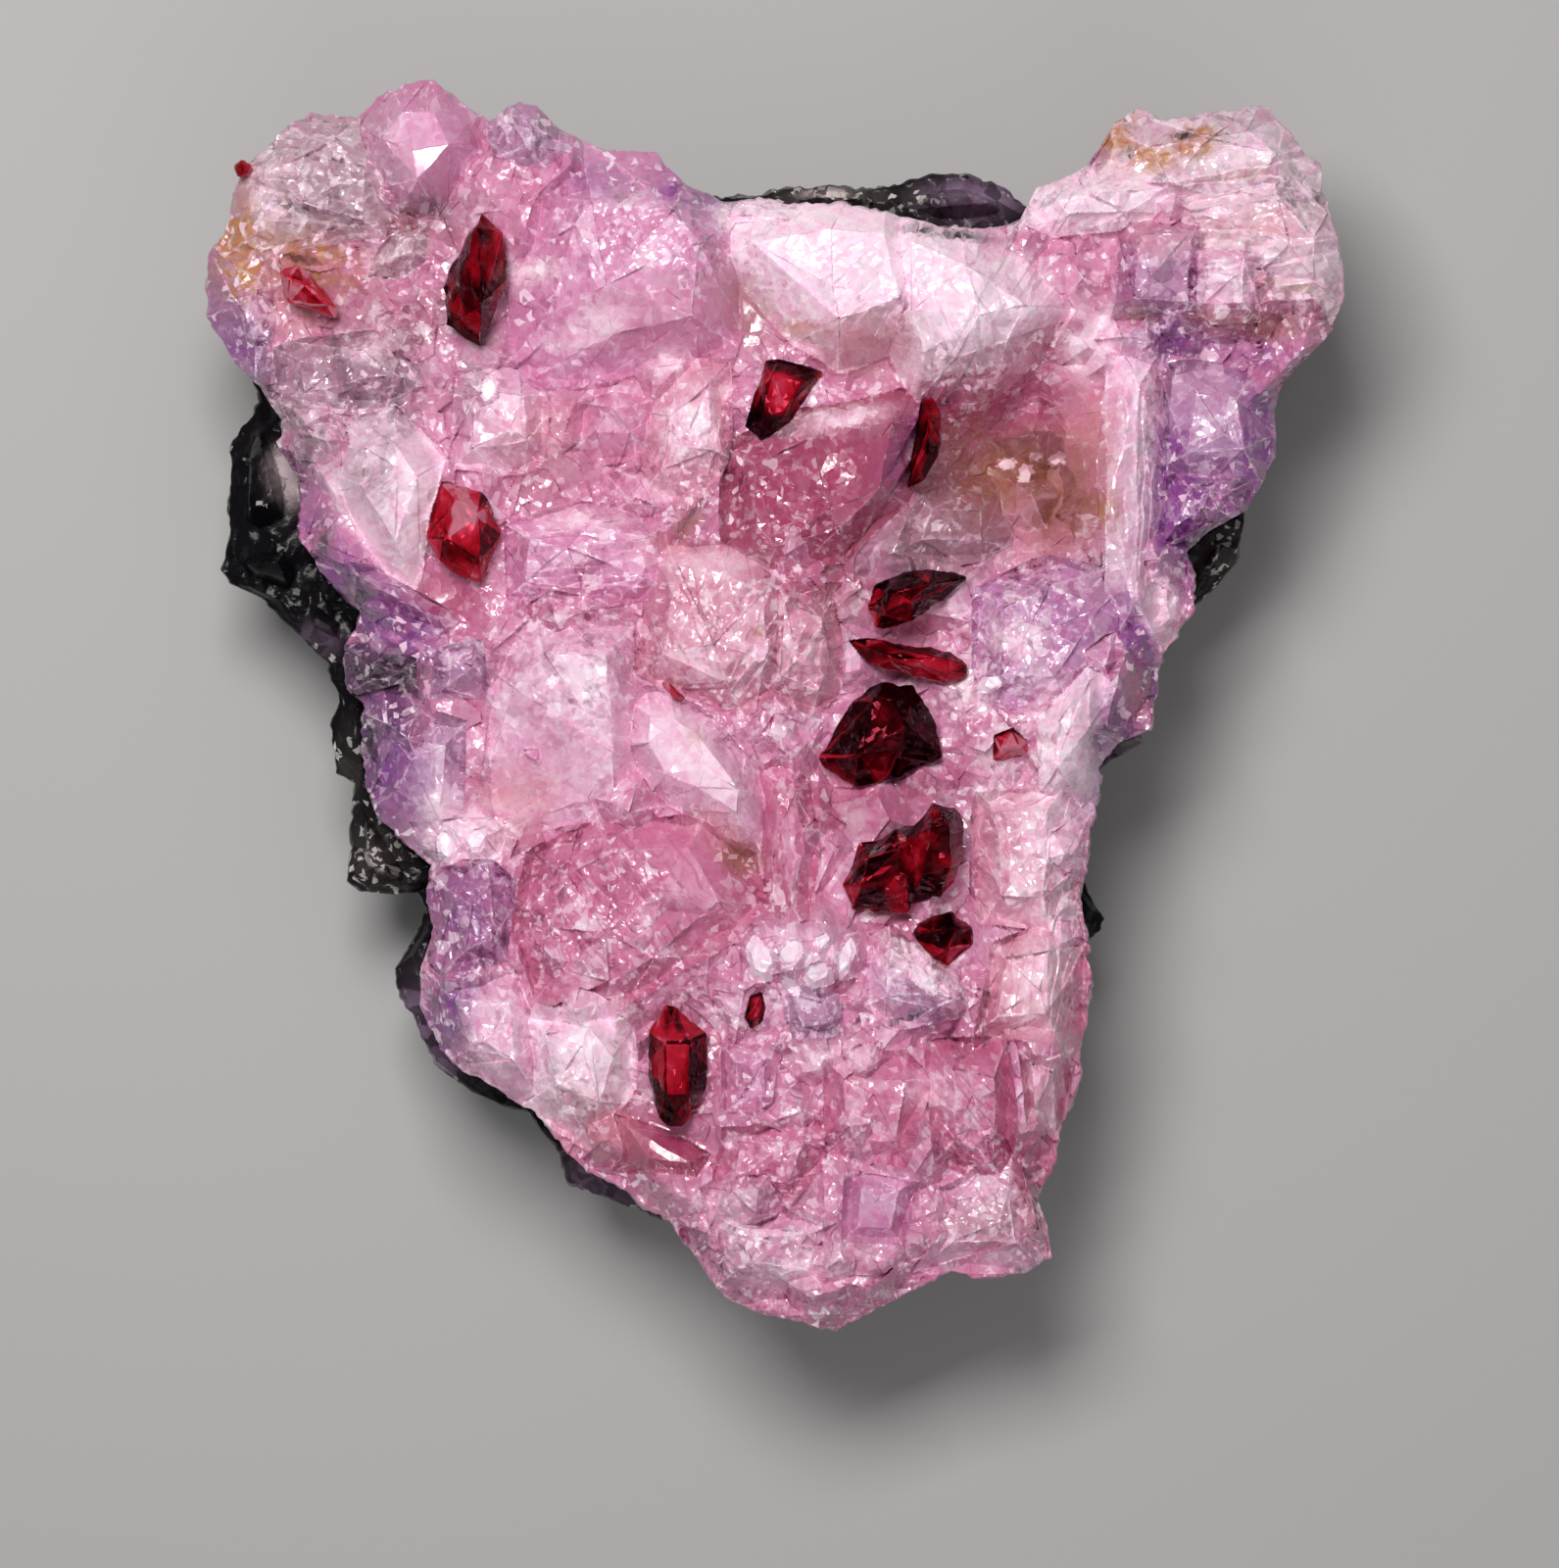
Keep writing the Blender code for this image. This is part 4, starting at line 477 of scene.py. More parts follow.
# each crystal: finish, share of small crystals on it, root as x, y, crest as x, y, rise above the level
crustCrystals = {
    "left horn cleavage block": ("stone", 0.15,
        [(-28.6, 24.4), (-28.2, 28.0), (-25.8, 30.2), (-22.0, 30.6), (-19.8, 28.0), (-20.4, 24.8)],
        [(-27.0, 25.5, 0.6), (-26.4, 28.2, 1.2), (-23.5, 29.6, 2.1), (-21.4, 28.0, 2.3), (-21.6, 25.6, 1.4)]),
    "left horn round crystal": ("pink", 0.2,
        [(-21.8, 27.6), (-21.6, 30.6), (-20.0, 32.4), (-18.2, 32.6), (-16.0, 31.4), (-15.4, 29.2),
         (-17.6, 26.2), (-20.0, 26.2)],
        [(-20.6, 29.8, 2.4), (-19.4, 31.2, 2.4), (-17.8, 31.2, 2.6), (-17.0, 29.4, 2.8), (-18.6, 27.6, 2.8)]),
    "left horn small peak": ("lilac", 0.3,
        [(-15.0, 29.0), (-14.6, 31.0), (-13.8, 31.6), (-12.2, 31.2), (-10.8, 29.4), (-12.0, 28.2)],
        [(-13.8, 30.6, 1.8), (-12.6, 30.4, 2.0), (-12.8, 29.4, 2.2)]),
    "leaf crystal": ("stone", 0.1,
        [(-21.6, 22.3), (-20.6, 24.6), (-18.2, 25.5), (-18.1, 23.6), (-19.4, 22.2)],
        [(-20.5, 23.3, 1.3), (-18.9, 24.7, 1.6), (-18.9, 23.9, 1.5)]),
    "left margin crystal": ("lilac", 0.7,
        [(-29.6, 20.9), (-29.6, 24.0), (-26.6, 24.4), (-26.2, 20.0), (-27.6, 17.6)],
        [(-28.7, 21.9, 1.0), (-28.3, 23.2, 1.2), (-27.2, 22.6, 1.5), (-27.4, 19.4, 1.0)]),
    "left field": ("dusky", 0.7,
        [(-26.0, 15.6), (-26.4, 19.2), (-23.0, 19.8), (-19.6, 20.0), (-18.4, 17.0), (-21.0, 15.4)],
        [(-24.8, 16.6, 1.2), (-25.0, 18.2, 1.4), (-21.6, 18.8, 1.7), (-20.0, 17.5, 1.7)]),
    "great crystal": ("pink", 0.3,
        [(-14.2, 17.2), (-13.9, 22.0), (-12.4, 26.0), (-9.9, 28.4), (-4.8, 27.5), (-2.5, 25.0),
         (-2.6, 19.0), (-4.8, 18.2), (-8.2, 17.4), (-11.0, 16.8)],
        [(-11.8, 20.6, 1.3), (-10.4, 25.2, 2.5), (-9.5, 26.4, 2.8), (-5.2, 25.9, 3.7), (-3.9, 24.2, 3.9),
         (-4.2, 20.4, 2.8), (-8.4, 19.4, 1.8)]),
    "white ridge west": ("white", 0.25,
        [(-2.8, 25.3), (0.0, 26.0), (4.0, 26.2), (7.0, 25.6), (7.6, 22.0), (6.6, 19.2), (3.2, 17.9),
         (0.6, 19.4), (-2.4, 23.0)],
        [(-1.0, 24.2, 2.4), (3.0, 24.9, 3.2), (5.8, 24.6, 3.4), (6.6, 21.2, 3.4), (3.4, 20.2, 2.8)]),
    "white ridge east": ("white", 0.3,
        [(6.0, 25.4), (10.0, 24.6), (13.2, 23.0), (15.4, 20.8), (14.2, 18.8), (11.2, 16.5), (7.6, 16.5),
         (6.0, 20.0)],
        [(7.2, 24.2, 3.5), (10.0, 23.0, 3.9), (13.2, 20.9, 3.4), (12.2, 19.1, 3.2), (9.6, 18.2, 3.4),
         (7.9, 18.4, 3.4), (7.2, 20.6, 3.5)]),
    "white layer": ("white", 0.15,
        [(-3.0, 26.5), (3.5, 26.0), (5.5, 25.2), (-3.0, 24.6)],
        [(-2.0, 25.8, 1.2), (3.6, 25.4, 1.6)]),
    "white crest": ("white", 0.3,
        [(13.5, 25.2), (14.2, 27.1), (16.0, 28.0), (21.5, 28.4), (22.6, 26.0), (19.0, 25.0), (15.0, 24.6)],
        [(14.9, 26.5, 2.0), (20.6, 27.2, 2.4), (18.5, 25.9, 2.4), (15.5, 25.7, 2.2)]),
    "right horn upper plate": ("blush", 0.3,
        [(18.0, 30.4), (19.2, 31.1), (21.2, 30.4), (25.2, 31.4), (26.3, 30.8), (28.4, 28.4), (28.7, 25.8),
         (20.8, 25.6), (17.0, 28.2)],
        [(19.8, 29.4, 1.8), (24.8, 30.2, 2.0), (26.4, 29.0, 2.2), (26.0, 28.4, 2.3), (20.7, 27.4, 2.5)]),
    "right horn lower plate": ("blush", 0.4,
        [(20.8, 27.2), (26.0, 28.2), (28.8, 26.0), (29.4, 23.8), (29.7, 21.5), (25.0, 20.4), (22.4, 21.0)],
        [(21.8, 26.0, 2.3), (26.4, 26.6, 2.4), (28.4, 24.6, 1.7), (28.4, 22.4, 0.8), (24.4, 21.8, 1.0)]),
    "right horn purple block": ("mauve", 0.3,
        [(18.0, 20.6), (18.4, 25.7), (22.8, 25.8), (22.6, 20.4)],
        [(18.9, 21.4, 2.4), (19.2, 24.7, 2.4), (21.8, 24.8, 2.6), (21.8, 21.2, 2.4)]),
    "right horn white block": ("pale", 0.3,
        [(21.9, 20.4), (22.0, 24.3), (25.6, 24.2), (25.6, 20.4)],
        [(22.6, 21.2, 2.8), (22.8, 23.4, 3.0), (24.6, 23.4, 2.8), (24.6, 21.2, 2.6)]),
    "small fan": ("mauve", 0.3,
        [(19.4, 18.6), (19.6, 21.4), (23.2, 21.2), (22.4, 18.4)],
        [(20.4, 19.6, 1.8), (21.2, 20.6, 2.4), (22.2, 19.8, 2.0)]),
    "right upright ridge": ("pale", 0.6,
        [(17.8, 4.4), (17.5, 12.0), (18.0, 18.4), (20.6, 18.0), (21.0, 11.0), (20.6, 4.6)],
        [(19.1, 5.6, 1.5), (18.9, 11.0, 2.4), (19.3, 17.0, 2.4)]),
    "violet slab": ("lilac", 0.6,
        [(20.6, 12.6), (20.8, 17.8), (25.2, 17.4), (26.1, 14.6), (25.6, 12.2), (22.5, 11.6)],
        [(21.8, 13.4, 1.6), (22.4, 16.6, 2.0), (24.4, 16.2, 1.9), (24.8, 13.6, 1.5)]),
    "violet step": ("mauve", 0.6,
        [(20.5, 8.0), (20.8, 12.6), (25.2, 11.8), (24.4, 10.2), (22.2, 8.8)],
        [(21.3, 9.6, 1.1), (22.0, 11.6, 1.5), (24.0, 11.2, 1.1)]),
    "centre block": ("rose", 0.35,
        [(-2.4, 8.2), (-2.2, 13.6), (1.6, 15.2), (6.6, 16.2), (7.4, 14.0), (6.6, 10.6), (5.0, 9.6),
         (3.6, 7.6), (0.0, 6.8)],
        [(-1.0, 9.6, 1.5), (-0.9, 12.6, 2.2), (2.0, 14.0, 3.0), (6.2, 14.8, 3.5), (5.6, 11.4, 3.0),
         (3.6, 9.4, 2.2), (0.2, 8.4, 1.5)]),
    "centre druse block": ("coral", 0.8,
        [(-7.0, 11.0), (-7.0, 15.4), (-4.6, 18.4), (-2.1, 18.0), (-2.1, 13.0), (-4.0, 10.2)],
        [(-5.8, 12.4, 1.6), (-5.4, 15.2, 2.0), (-3.4, 16.8, 2.2), (-3.2, 13.4, 2.0)]),
    "pale crystal": ("pale", 0.3,
        [(-17.0, 12.5), (-16.8, 17.6), (-13.6, 18.0), (-11.8, 16.0), (-12.0, 13.0), (-13.6, 12.1)],
        [(-15.8, 13.5, 1.9), (-15.6, 16.6, 2.1), (-13.2, 16.4, 2.3), (-12.9, 14.0, 2.1)]),
    "left great block": ("white", 0.2,
        [(-22.9, 11.2), (-22.6, 14.8), (-20.0, 15.4), (-17.4, 13.0), (-18.8, 9.0), (-18.9, 6.0),
         (-20.4, 6.8), (-21.8, 8.8)],
        [(-21.6, 11.6, 2.2), (-21.4, 13.6, 2.2), (-19.8, 13.8, 2.4), (-18.6, 12.0, 2.5), (-19.8, 8.6, 2.4)]),
    "left lower face": ("mauve", 0.2,
        [(-23.4, 7.2), (-22.0, 8.0), (-18.8, 5.9), (-16.0, 4.4), (-17.6, 3.1), (-21.6, 5.4)],
        [(-22.0, 6.9, 0.9), (-18.4, 5.0, 1.3)]),
    "banded block": ("pink", 0.3,
        [(-13.9, 5.4), (-13.9, 9.6), (-10.0, 10.6), (-5.4, 9.8), (-5.4, 6.0), (-10.0, 4.8)],
        [(-13.0, 6.6, 1.0), (-12.8, 8.8, 1.4), (-9.6, 9.6, 2.2), (-6.6, 8.8, 2.4), (-6.8, 6.8, 1.9),
         (-10.0, 6.2, 1.3)]),
    "fan west": ("salmon", 0.2,
        [(-7.0, 1.8), (-6.6, 6.6), (-5.4, 8.6), (-2.4, 8.2), (0.4, 7.0), (0.6, 2.0), (-1.6, -0.2),
         (-4.2, 1.0)],
        [(-5.8, 2.8, 1.9), (-5.0, 7.4, 2.4), (-2.6, 7.0, 2.8), (-0.5, 5.9, 2.8), (-0.4, 2.4, 2.4),
         (-2.4, 1.2, 2.0)]),
    "fan east": ("salmon", 0.4,
        [(-0.4, 0.6), (0.0, 6.6), (3.2, 5.6), (3.8, 2.8), (3.6, 0.8), (1.8, -0.4)],
        [(0.4, 1.6, 1.8), (0.6, 5.6, 2.2), (2.6, 4.6, 1.9), (3.0, 2.4, 1.6), (2.4, 0.8, 1.5)]),
    "middle left block": ("pale", 0.25,
        [(-15.2, -5.8), (-15.0, 2.0), (-12.4, 4.4), (-7.8, 3.8), (-7.4, -3.0), (-9.0, -6.0)],
        [(-13.8, -4.6, 0.8), (-13.6, 1.0, 1.8), (-12.0, 2.8, 2.4), (-8.7, 2.6, 2.8), (-8.4, -2.4, 2.0),
         (-9.8, -4.8, 1.0)]),
    "pale plate": ("pale", 0.15,
        [(-7.4, 0.0), (-7.6, -2.4), (-6.4, -4.6), (-4.0, -5.6), (-1.0, -7.2), (-0.6, -4.4),
         (-2.0, -2.0), (-3.4, -0.4), (-4.9, 0.0), (-6.3, 0.9)],
        [(-6.4, -0.5, 2.6), (-6.5, -1.9, 2.6), (-5.6, -3.5, 2.6), (-3.9, -4.2, 2.8), (-1.9, -5.6, 2.8),
         (-1.8, -4.3, 3.0), (-3.9, -1.6, 3.0), (-5.1, -0.7, 2.8)]),
    "disc crystal": ("raspberry", 0.3,
        [(-13.6, -12.0), (-12.6, -8.0), (-9.4, -6.2), (-4.0, -6.0), (-2.2, -7.6), (-1.1, -10.6),
         (-2.2, -12.4), (-6.8, -14.8), (-9.0, -16.2), (-12.4, -15.4)],
        [(-11.8, -11.6, 1.0), (-10.8, -8.8, 1.8), (-8.4, -7.6, 2.4), (-4.4, -7.4, 2.9), (-2.9, -10.2, 2.8),
         (-6.0, -9.5, 3.0), (-6.2, -13.2, 1.6), (-8.6, -14.4, 1.2), (-11.0, -13.8, 1.0)]),
    "left margin flow north": ("mauve", 0.3,
        [(-17.9, -9.2), (-17.6, -14.0), (-14.0, -13.6), (-13.4, -9.6), (-15.4, -7.8)],
        [(-16.8, -9.8, 1.4), (-16.2, -12.8, 1.6), (-14.6, -12.0, 1.8), (-14.8, -9.4, 1.8)]),
    "left margin flow south": ("pale", 0.5,
        [(-17.9, -14.4), (-16.8, -18.4), (-12.8, -20.2), (-12.4, -17.0), (-14.0, -13.4)],
        [(-16.8, -15.4, 1.2), (-16.0, -17.8, 1.2), (-13.6, -18.6, 1.6), (-13.8, -15.6, 1.8)]),
    "lower left crystals": ("white", 0.6,
        [(-13.0, -16.0), (-12.4, -20.4), (-9.6, -22.4), (-7.3, -20.6), (-7.4, -16.6), (-10.0, -15.4)],
        [(-12.0, -17.2, 1.6), (-11.4, -19.8, 1.6), (-9.2, -20.8, 1.7), (-8.4, -18.4, 1.7),
         (-9.6, -16.8, 1.7)]),
    "centre column": ("raspberry", 0.5,
        [(-0.8, -3.4), (-0.9, -7.6), (0.0, -11.4), (2.0, -11.6), (2.6, -8.0), (2.0, -4.4), (0.6, -2.6)],
        [(0.2, -4.4, 1.8), (0.4, -7.2, 1.8), (1.0, -10.4, 1.6), (1.6, -7.4, 1.7), (1.2, -4.6, 1.7)]),
    "white group": ("pink", 0.4,
        [(-1.8, -12.6), (-1.4, -14.2), (1.0, -15.0), (4.2, -14.4), (4.4, -12.0), (2.0, -11.2), (-0.6, -11.2)],
        [(-0.8, -12.8, 1.8), (1.2, -13.8, 2.3), (3.4, -13.4, 2.1), (3.0, -12.2, 2.1), (0.2, -12.0, 2.1)]),
    "lower right wedge": ("pale", 0.4,
        [(5.0, -12.2), (4.8, -15.8), (6.2, -17.0), (9.4, -16.4), (10.6, -15.2), (8.8, -14.2), (6.4, -11.8)],
        [(6.2, -12.6, 2.2), (5.9, -15.2, 1.9), (8.4, -15.8, 2.0), (9.5, -15.3, 2.3), (7.4, -13.8, 2.6)]),
    "lilac face": ("lilac", 0.2,
        [(0.2, -14.4), (1.0, -17.6), (3.8, -17.4), (3.6, -15.0), (1.0, -13.8)],
        [(0.8, -15.0, 1.4), (1.6, -16.8, 1.4), (3.1, -16.6, 1.4), (2.6, -15.5, 1.6)]),
    "lower middle crystals": ("pink", 0.6,
        [(-2.8, -17.8), (-2.7, -21.4), (0.4, -21.4), (0.6, -17.8)],
        [(-2.0, -18.7, 1.4), (-1.8, -20.6, 1.4), (-0.4, -20.4, 1.6), (-0.4, -18.6, 1.6)]),
    "lower smooth face": ("rose", 0.15,
        [(-8.6, -21.2), (-7.8, -24.2), (-4.2, -25.0), (-3.0, -23.2), (-6.6, -22.6)],
        [(-7.6, -22.2, 0.9), (-6.8, -23.5, 1.1), (-4.4, -24.0, 1.2)]),
    "lower field west": ("raspberry", 0.9,
        [(-2.8, -21.9), (-3.6, -25.6), (1.0, -26.4), (3.0, -24.0), (2.2, -21.2)],
        [(-1.8, -22.8, 1.2), (-2.0, -24.8, 1.2), (0.8, -25.0, 1.4), (1.6, -22.8, 1.4)]),
    "lower field middle": ("raspberry", 0.9,
        [(2.6, -18.4), (2.6, -23.6), (7.0, -24.4), (8.6, -20.0), (6.6, -17.8)],
        [(3.8, -19.6, 1.4), (3.8, -22.6, 1.4), (6.4, -22.8, 1.6), (7.0, -19.6, 1.6)]),
    "lower field east": ("raspberry", 0.8,
        [(8.0, -17.8), (8.4, -24.0), (12.4, -25.4), (13.0, -22.0), (12.4, -17.6)],
        [(9.4, -19.0, 1.8), (9.6, -22.8, 1.8), (11.6, -24.0, 1.8), (11.6, -19.4, 1.8)]),
    "lower violet face": ("pink", 0.4,
        [(3.6, -24.4), (3.4, -28.4), (7.0, -28.6), (8.0, -25.0)],
        [(4.6, -25.2, 1.4), (4.4, -27.4, 1.2), (6.2, -27.4, 1.4), (6.6, -25.4, 1.4)]),
    "tip west": ("pale", 0.8,
        [(-3.4, -26.6), (-2.4, -30.2), (2.8, -31.2), (3.6, -27.0), (0.4, -25.8)],
        [(-2.0, -27.4, 1.0), (-1.2, -29.2, 1.0), (1.8, -29.6, 1.1), (2.2, -27.6, 1.2)]),
    "tip east": ("pale", 0.7,
        [(8.4, -25.0), (8.2, -29.2), (13.8, -29.2), (13.8, -26.4), (12.6, -23.4)],
        [(9.6, -26.0, 1.1), (9.6, -28.2, 0.9), (12.8, -28.2, 0.9), (12.4, -25.4, 1.3)]),
    "right margin north": ("coral", 0.9,
        [(10.6, -4.6), (10.9, -11.4), (14.6, -12.0), (15.7, -8.0), (15.6, -4.0)],
        [(11.8, -5.6, 1.6), (12.0, -10.0, 1.6), (14.2, -10.0, 1.7), (14.4, -5.4, 1.8)]),
    "right margin middle": ("coral", 0.9,
        [(11.2, -12.4), (10.4, -17.4), (15.2, -17.8), (15.8, -13.0), (13.6, -11.4)],
        [(12.2, -13.2, 1.4), (11.8, -16.2, 1.4), (14.4, -16.2, 1.6), (14.4, -12.8, 1.6)]),
    "right margin south": ("coral", 0.7,
        [(12.6, -18.0), (13.0, -22.6), (14.8, -22.0), (15.5, -18.6)],
        [(13.6, -18.8, 1.1), (13.8, -21.2, 0.9), (14.7, -19.2, 1.0)]),
    "right slope": ("orchid", 0.6,
        [(11.0, 0.4), (10.8, 6.0), (14.0, 8.0), (18.6, 6.8), (19.0, 3.6), (15.6, 0.4), (13.0, -0.4)],
        [(12.0, 1.6, 1.4), (12.2, 5.2, 1.7), (14.6, 6.4, 2.0), (17.2, 5.2, 1.8), (14.8, 1.6, 1.6)]),
    "right bright ridge": ("white", 0.6,
        [(14.0, -4.4), (13.9, -0.4), (16.4, 2.8), (18.6, 2.4), (17.6, -1.6), (16.4, -4.4)],
        [(14.9, -3.2, 1.8), (15.0, -0.8, 2.0), (16.6, 1.4, 1.9), (16.6, -1.2, 1.5)]),
    "hollow druse": ("dusky", 0.6,
        [(6.2, 7.9), (7.6, 11.2), (12.0, 11.8), (12.8, 8.6), (10.8, 7.4)],
        [(7.8, 8.8, 1.6), (8.4, 10.4, 1.7), (11.0, 10.4, 1.8), (11.0, 8.8, 1.7)]),
    "violet bank": ("lilac", 0.6,
        [(-21.2, -0.6), (-21.0, -5.0), (-18.2, -7.6), (-15.8, -5.0), (-16.0, -0.4), (-18.6, 0.4)],
        [(-20.0, -1.6, 1.1), (-19.8, -4.4, 1.0), (-17.6, -6.0, 1.2), (-17.2, -2.0, 1.4)]),
    "lavender step": ("lilac", 0.5,
        [(-18.4, 0.2), (-18.0, 3.2), (-15.2, 4.0), (-14.6, 0.4)],
        [(-17.2, 1.0, 1.2), (-16.8, 2.5, 1.4), (-15.8, 2.2, 1.4)]),
    "dark lump": ("grape", 0.8,
        [(-22.3, 0.8), (-22.2, 2.9), (-18.4, 3.0), (-18.6, 0.4)],
        [(-21.4, 1.3, 0.9), (-21.2, 2.3, 1.0), (-19.4, 1.8, 1.1)]),
    "small white crystals": ("white", 0.5,
        [(-18.0, -5.8), (-17.4, -8.2), (-14.4, -8.2), (-13.8, -5.8)],
        [(-16.8, -6.5, 1.6), (-16.4, -7.3, 1.6), (-15.2, -6.8, 1.6)]),
}

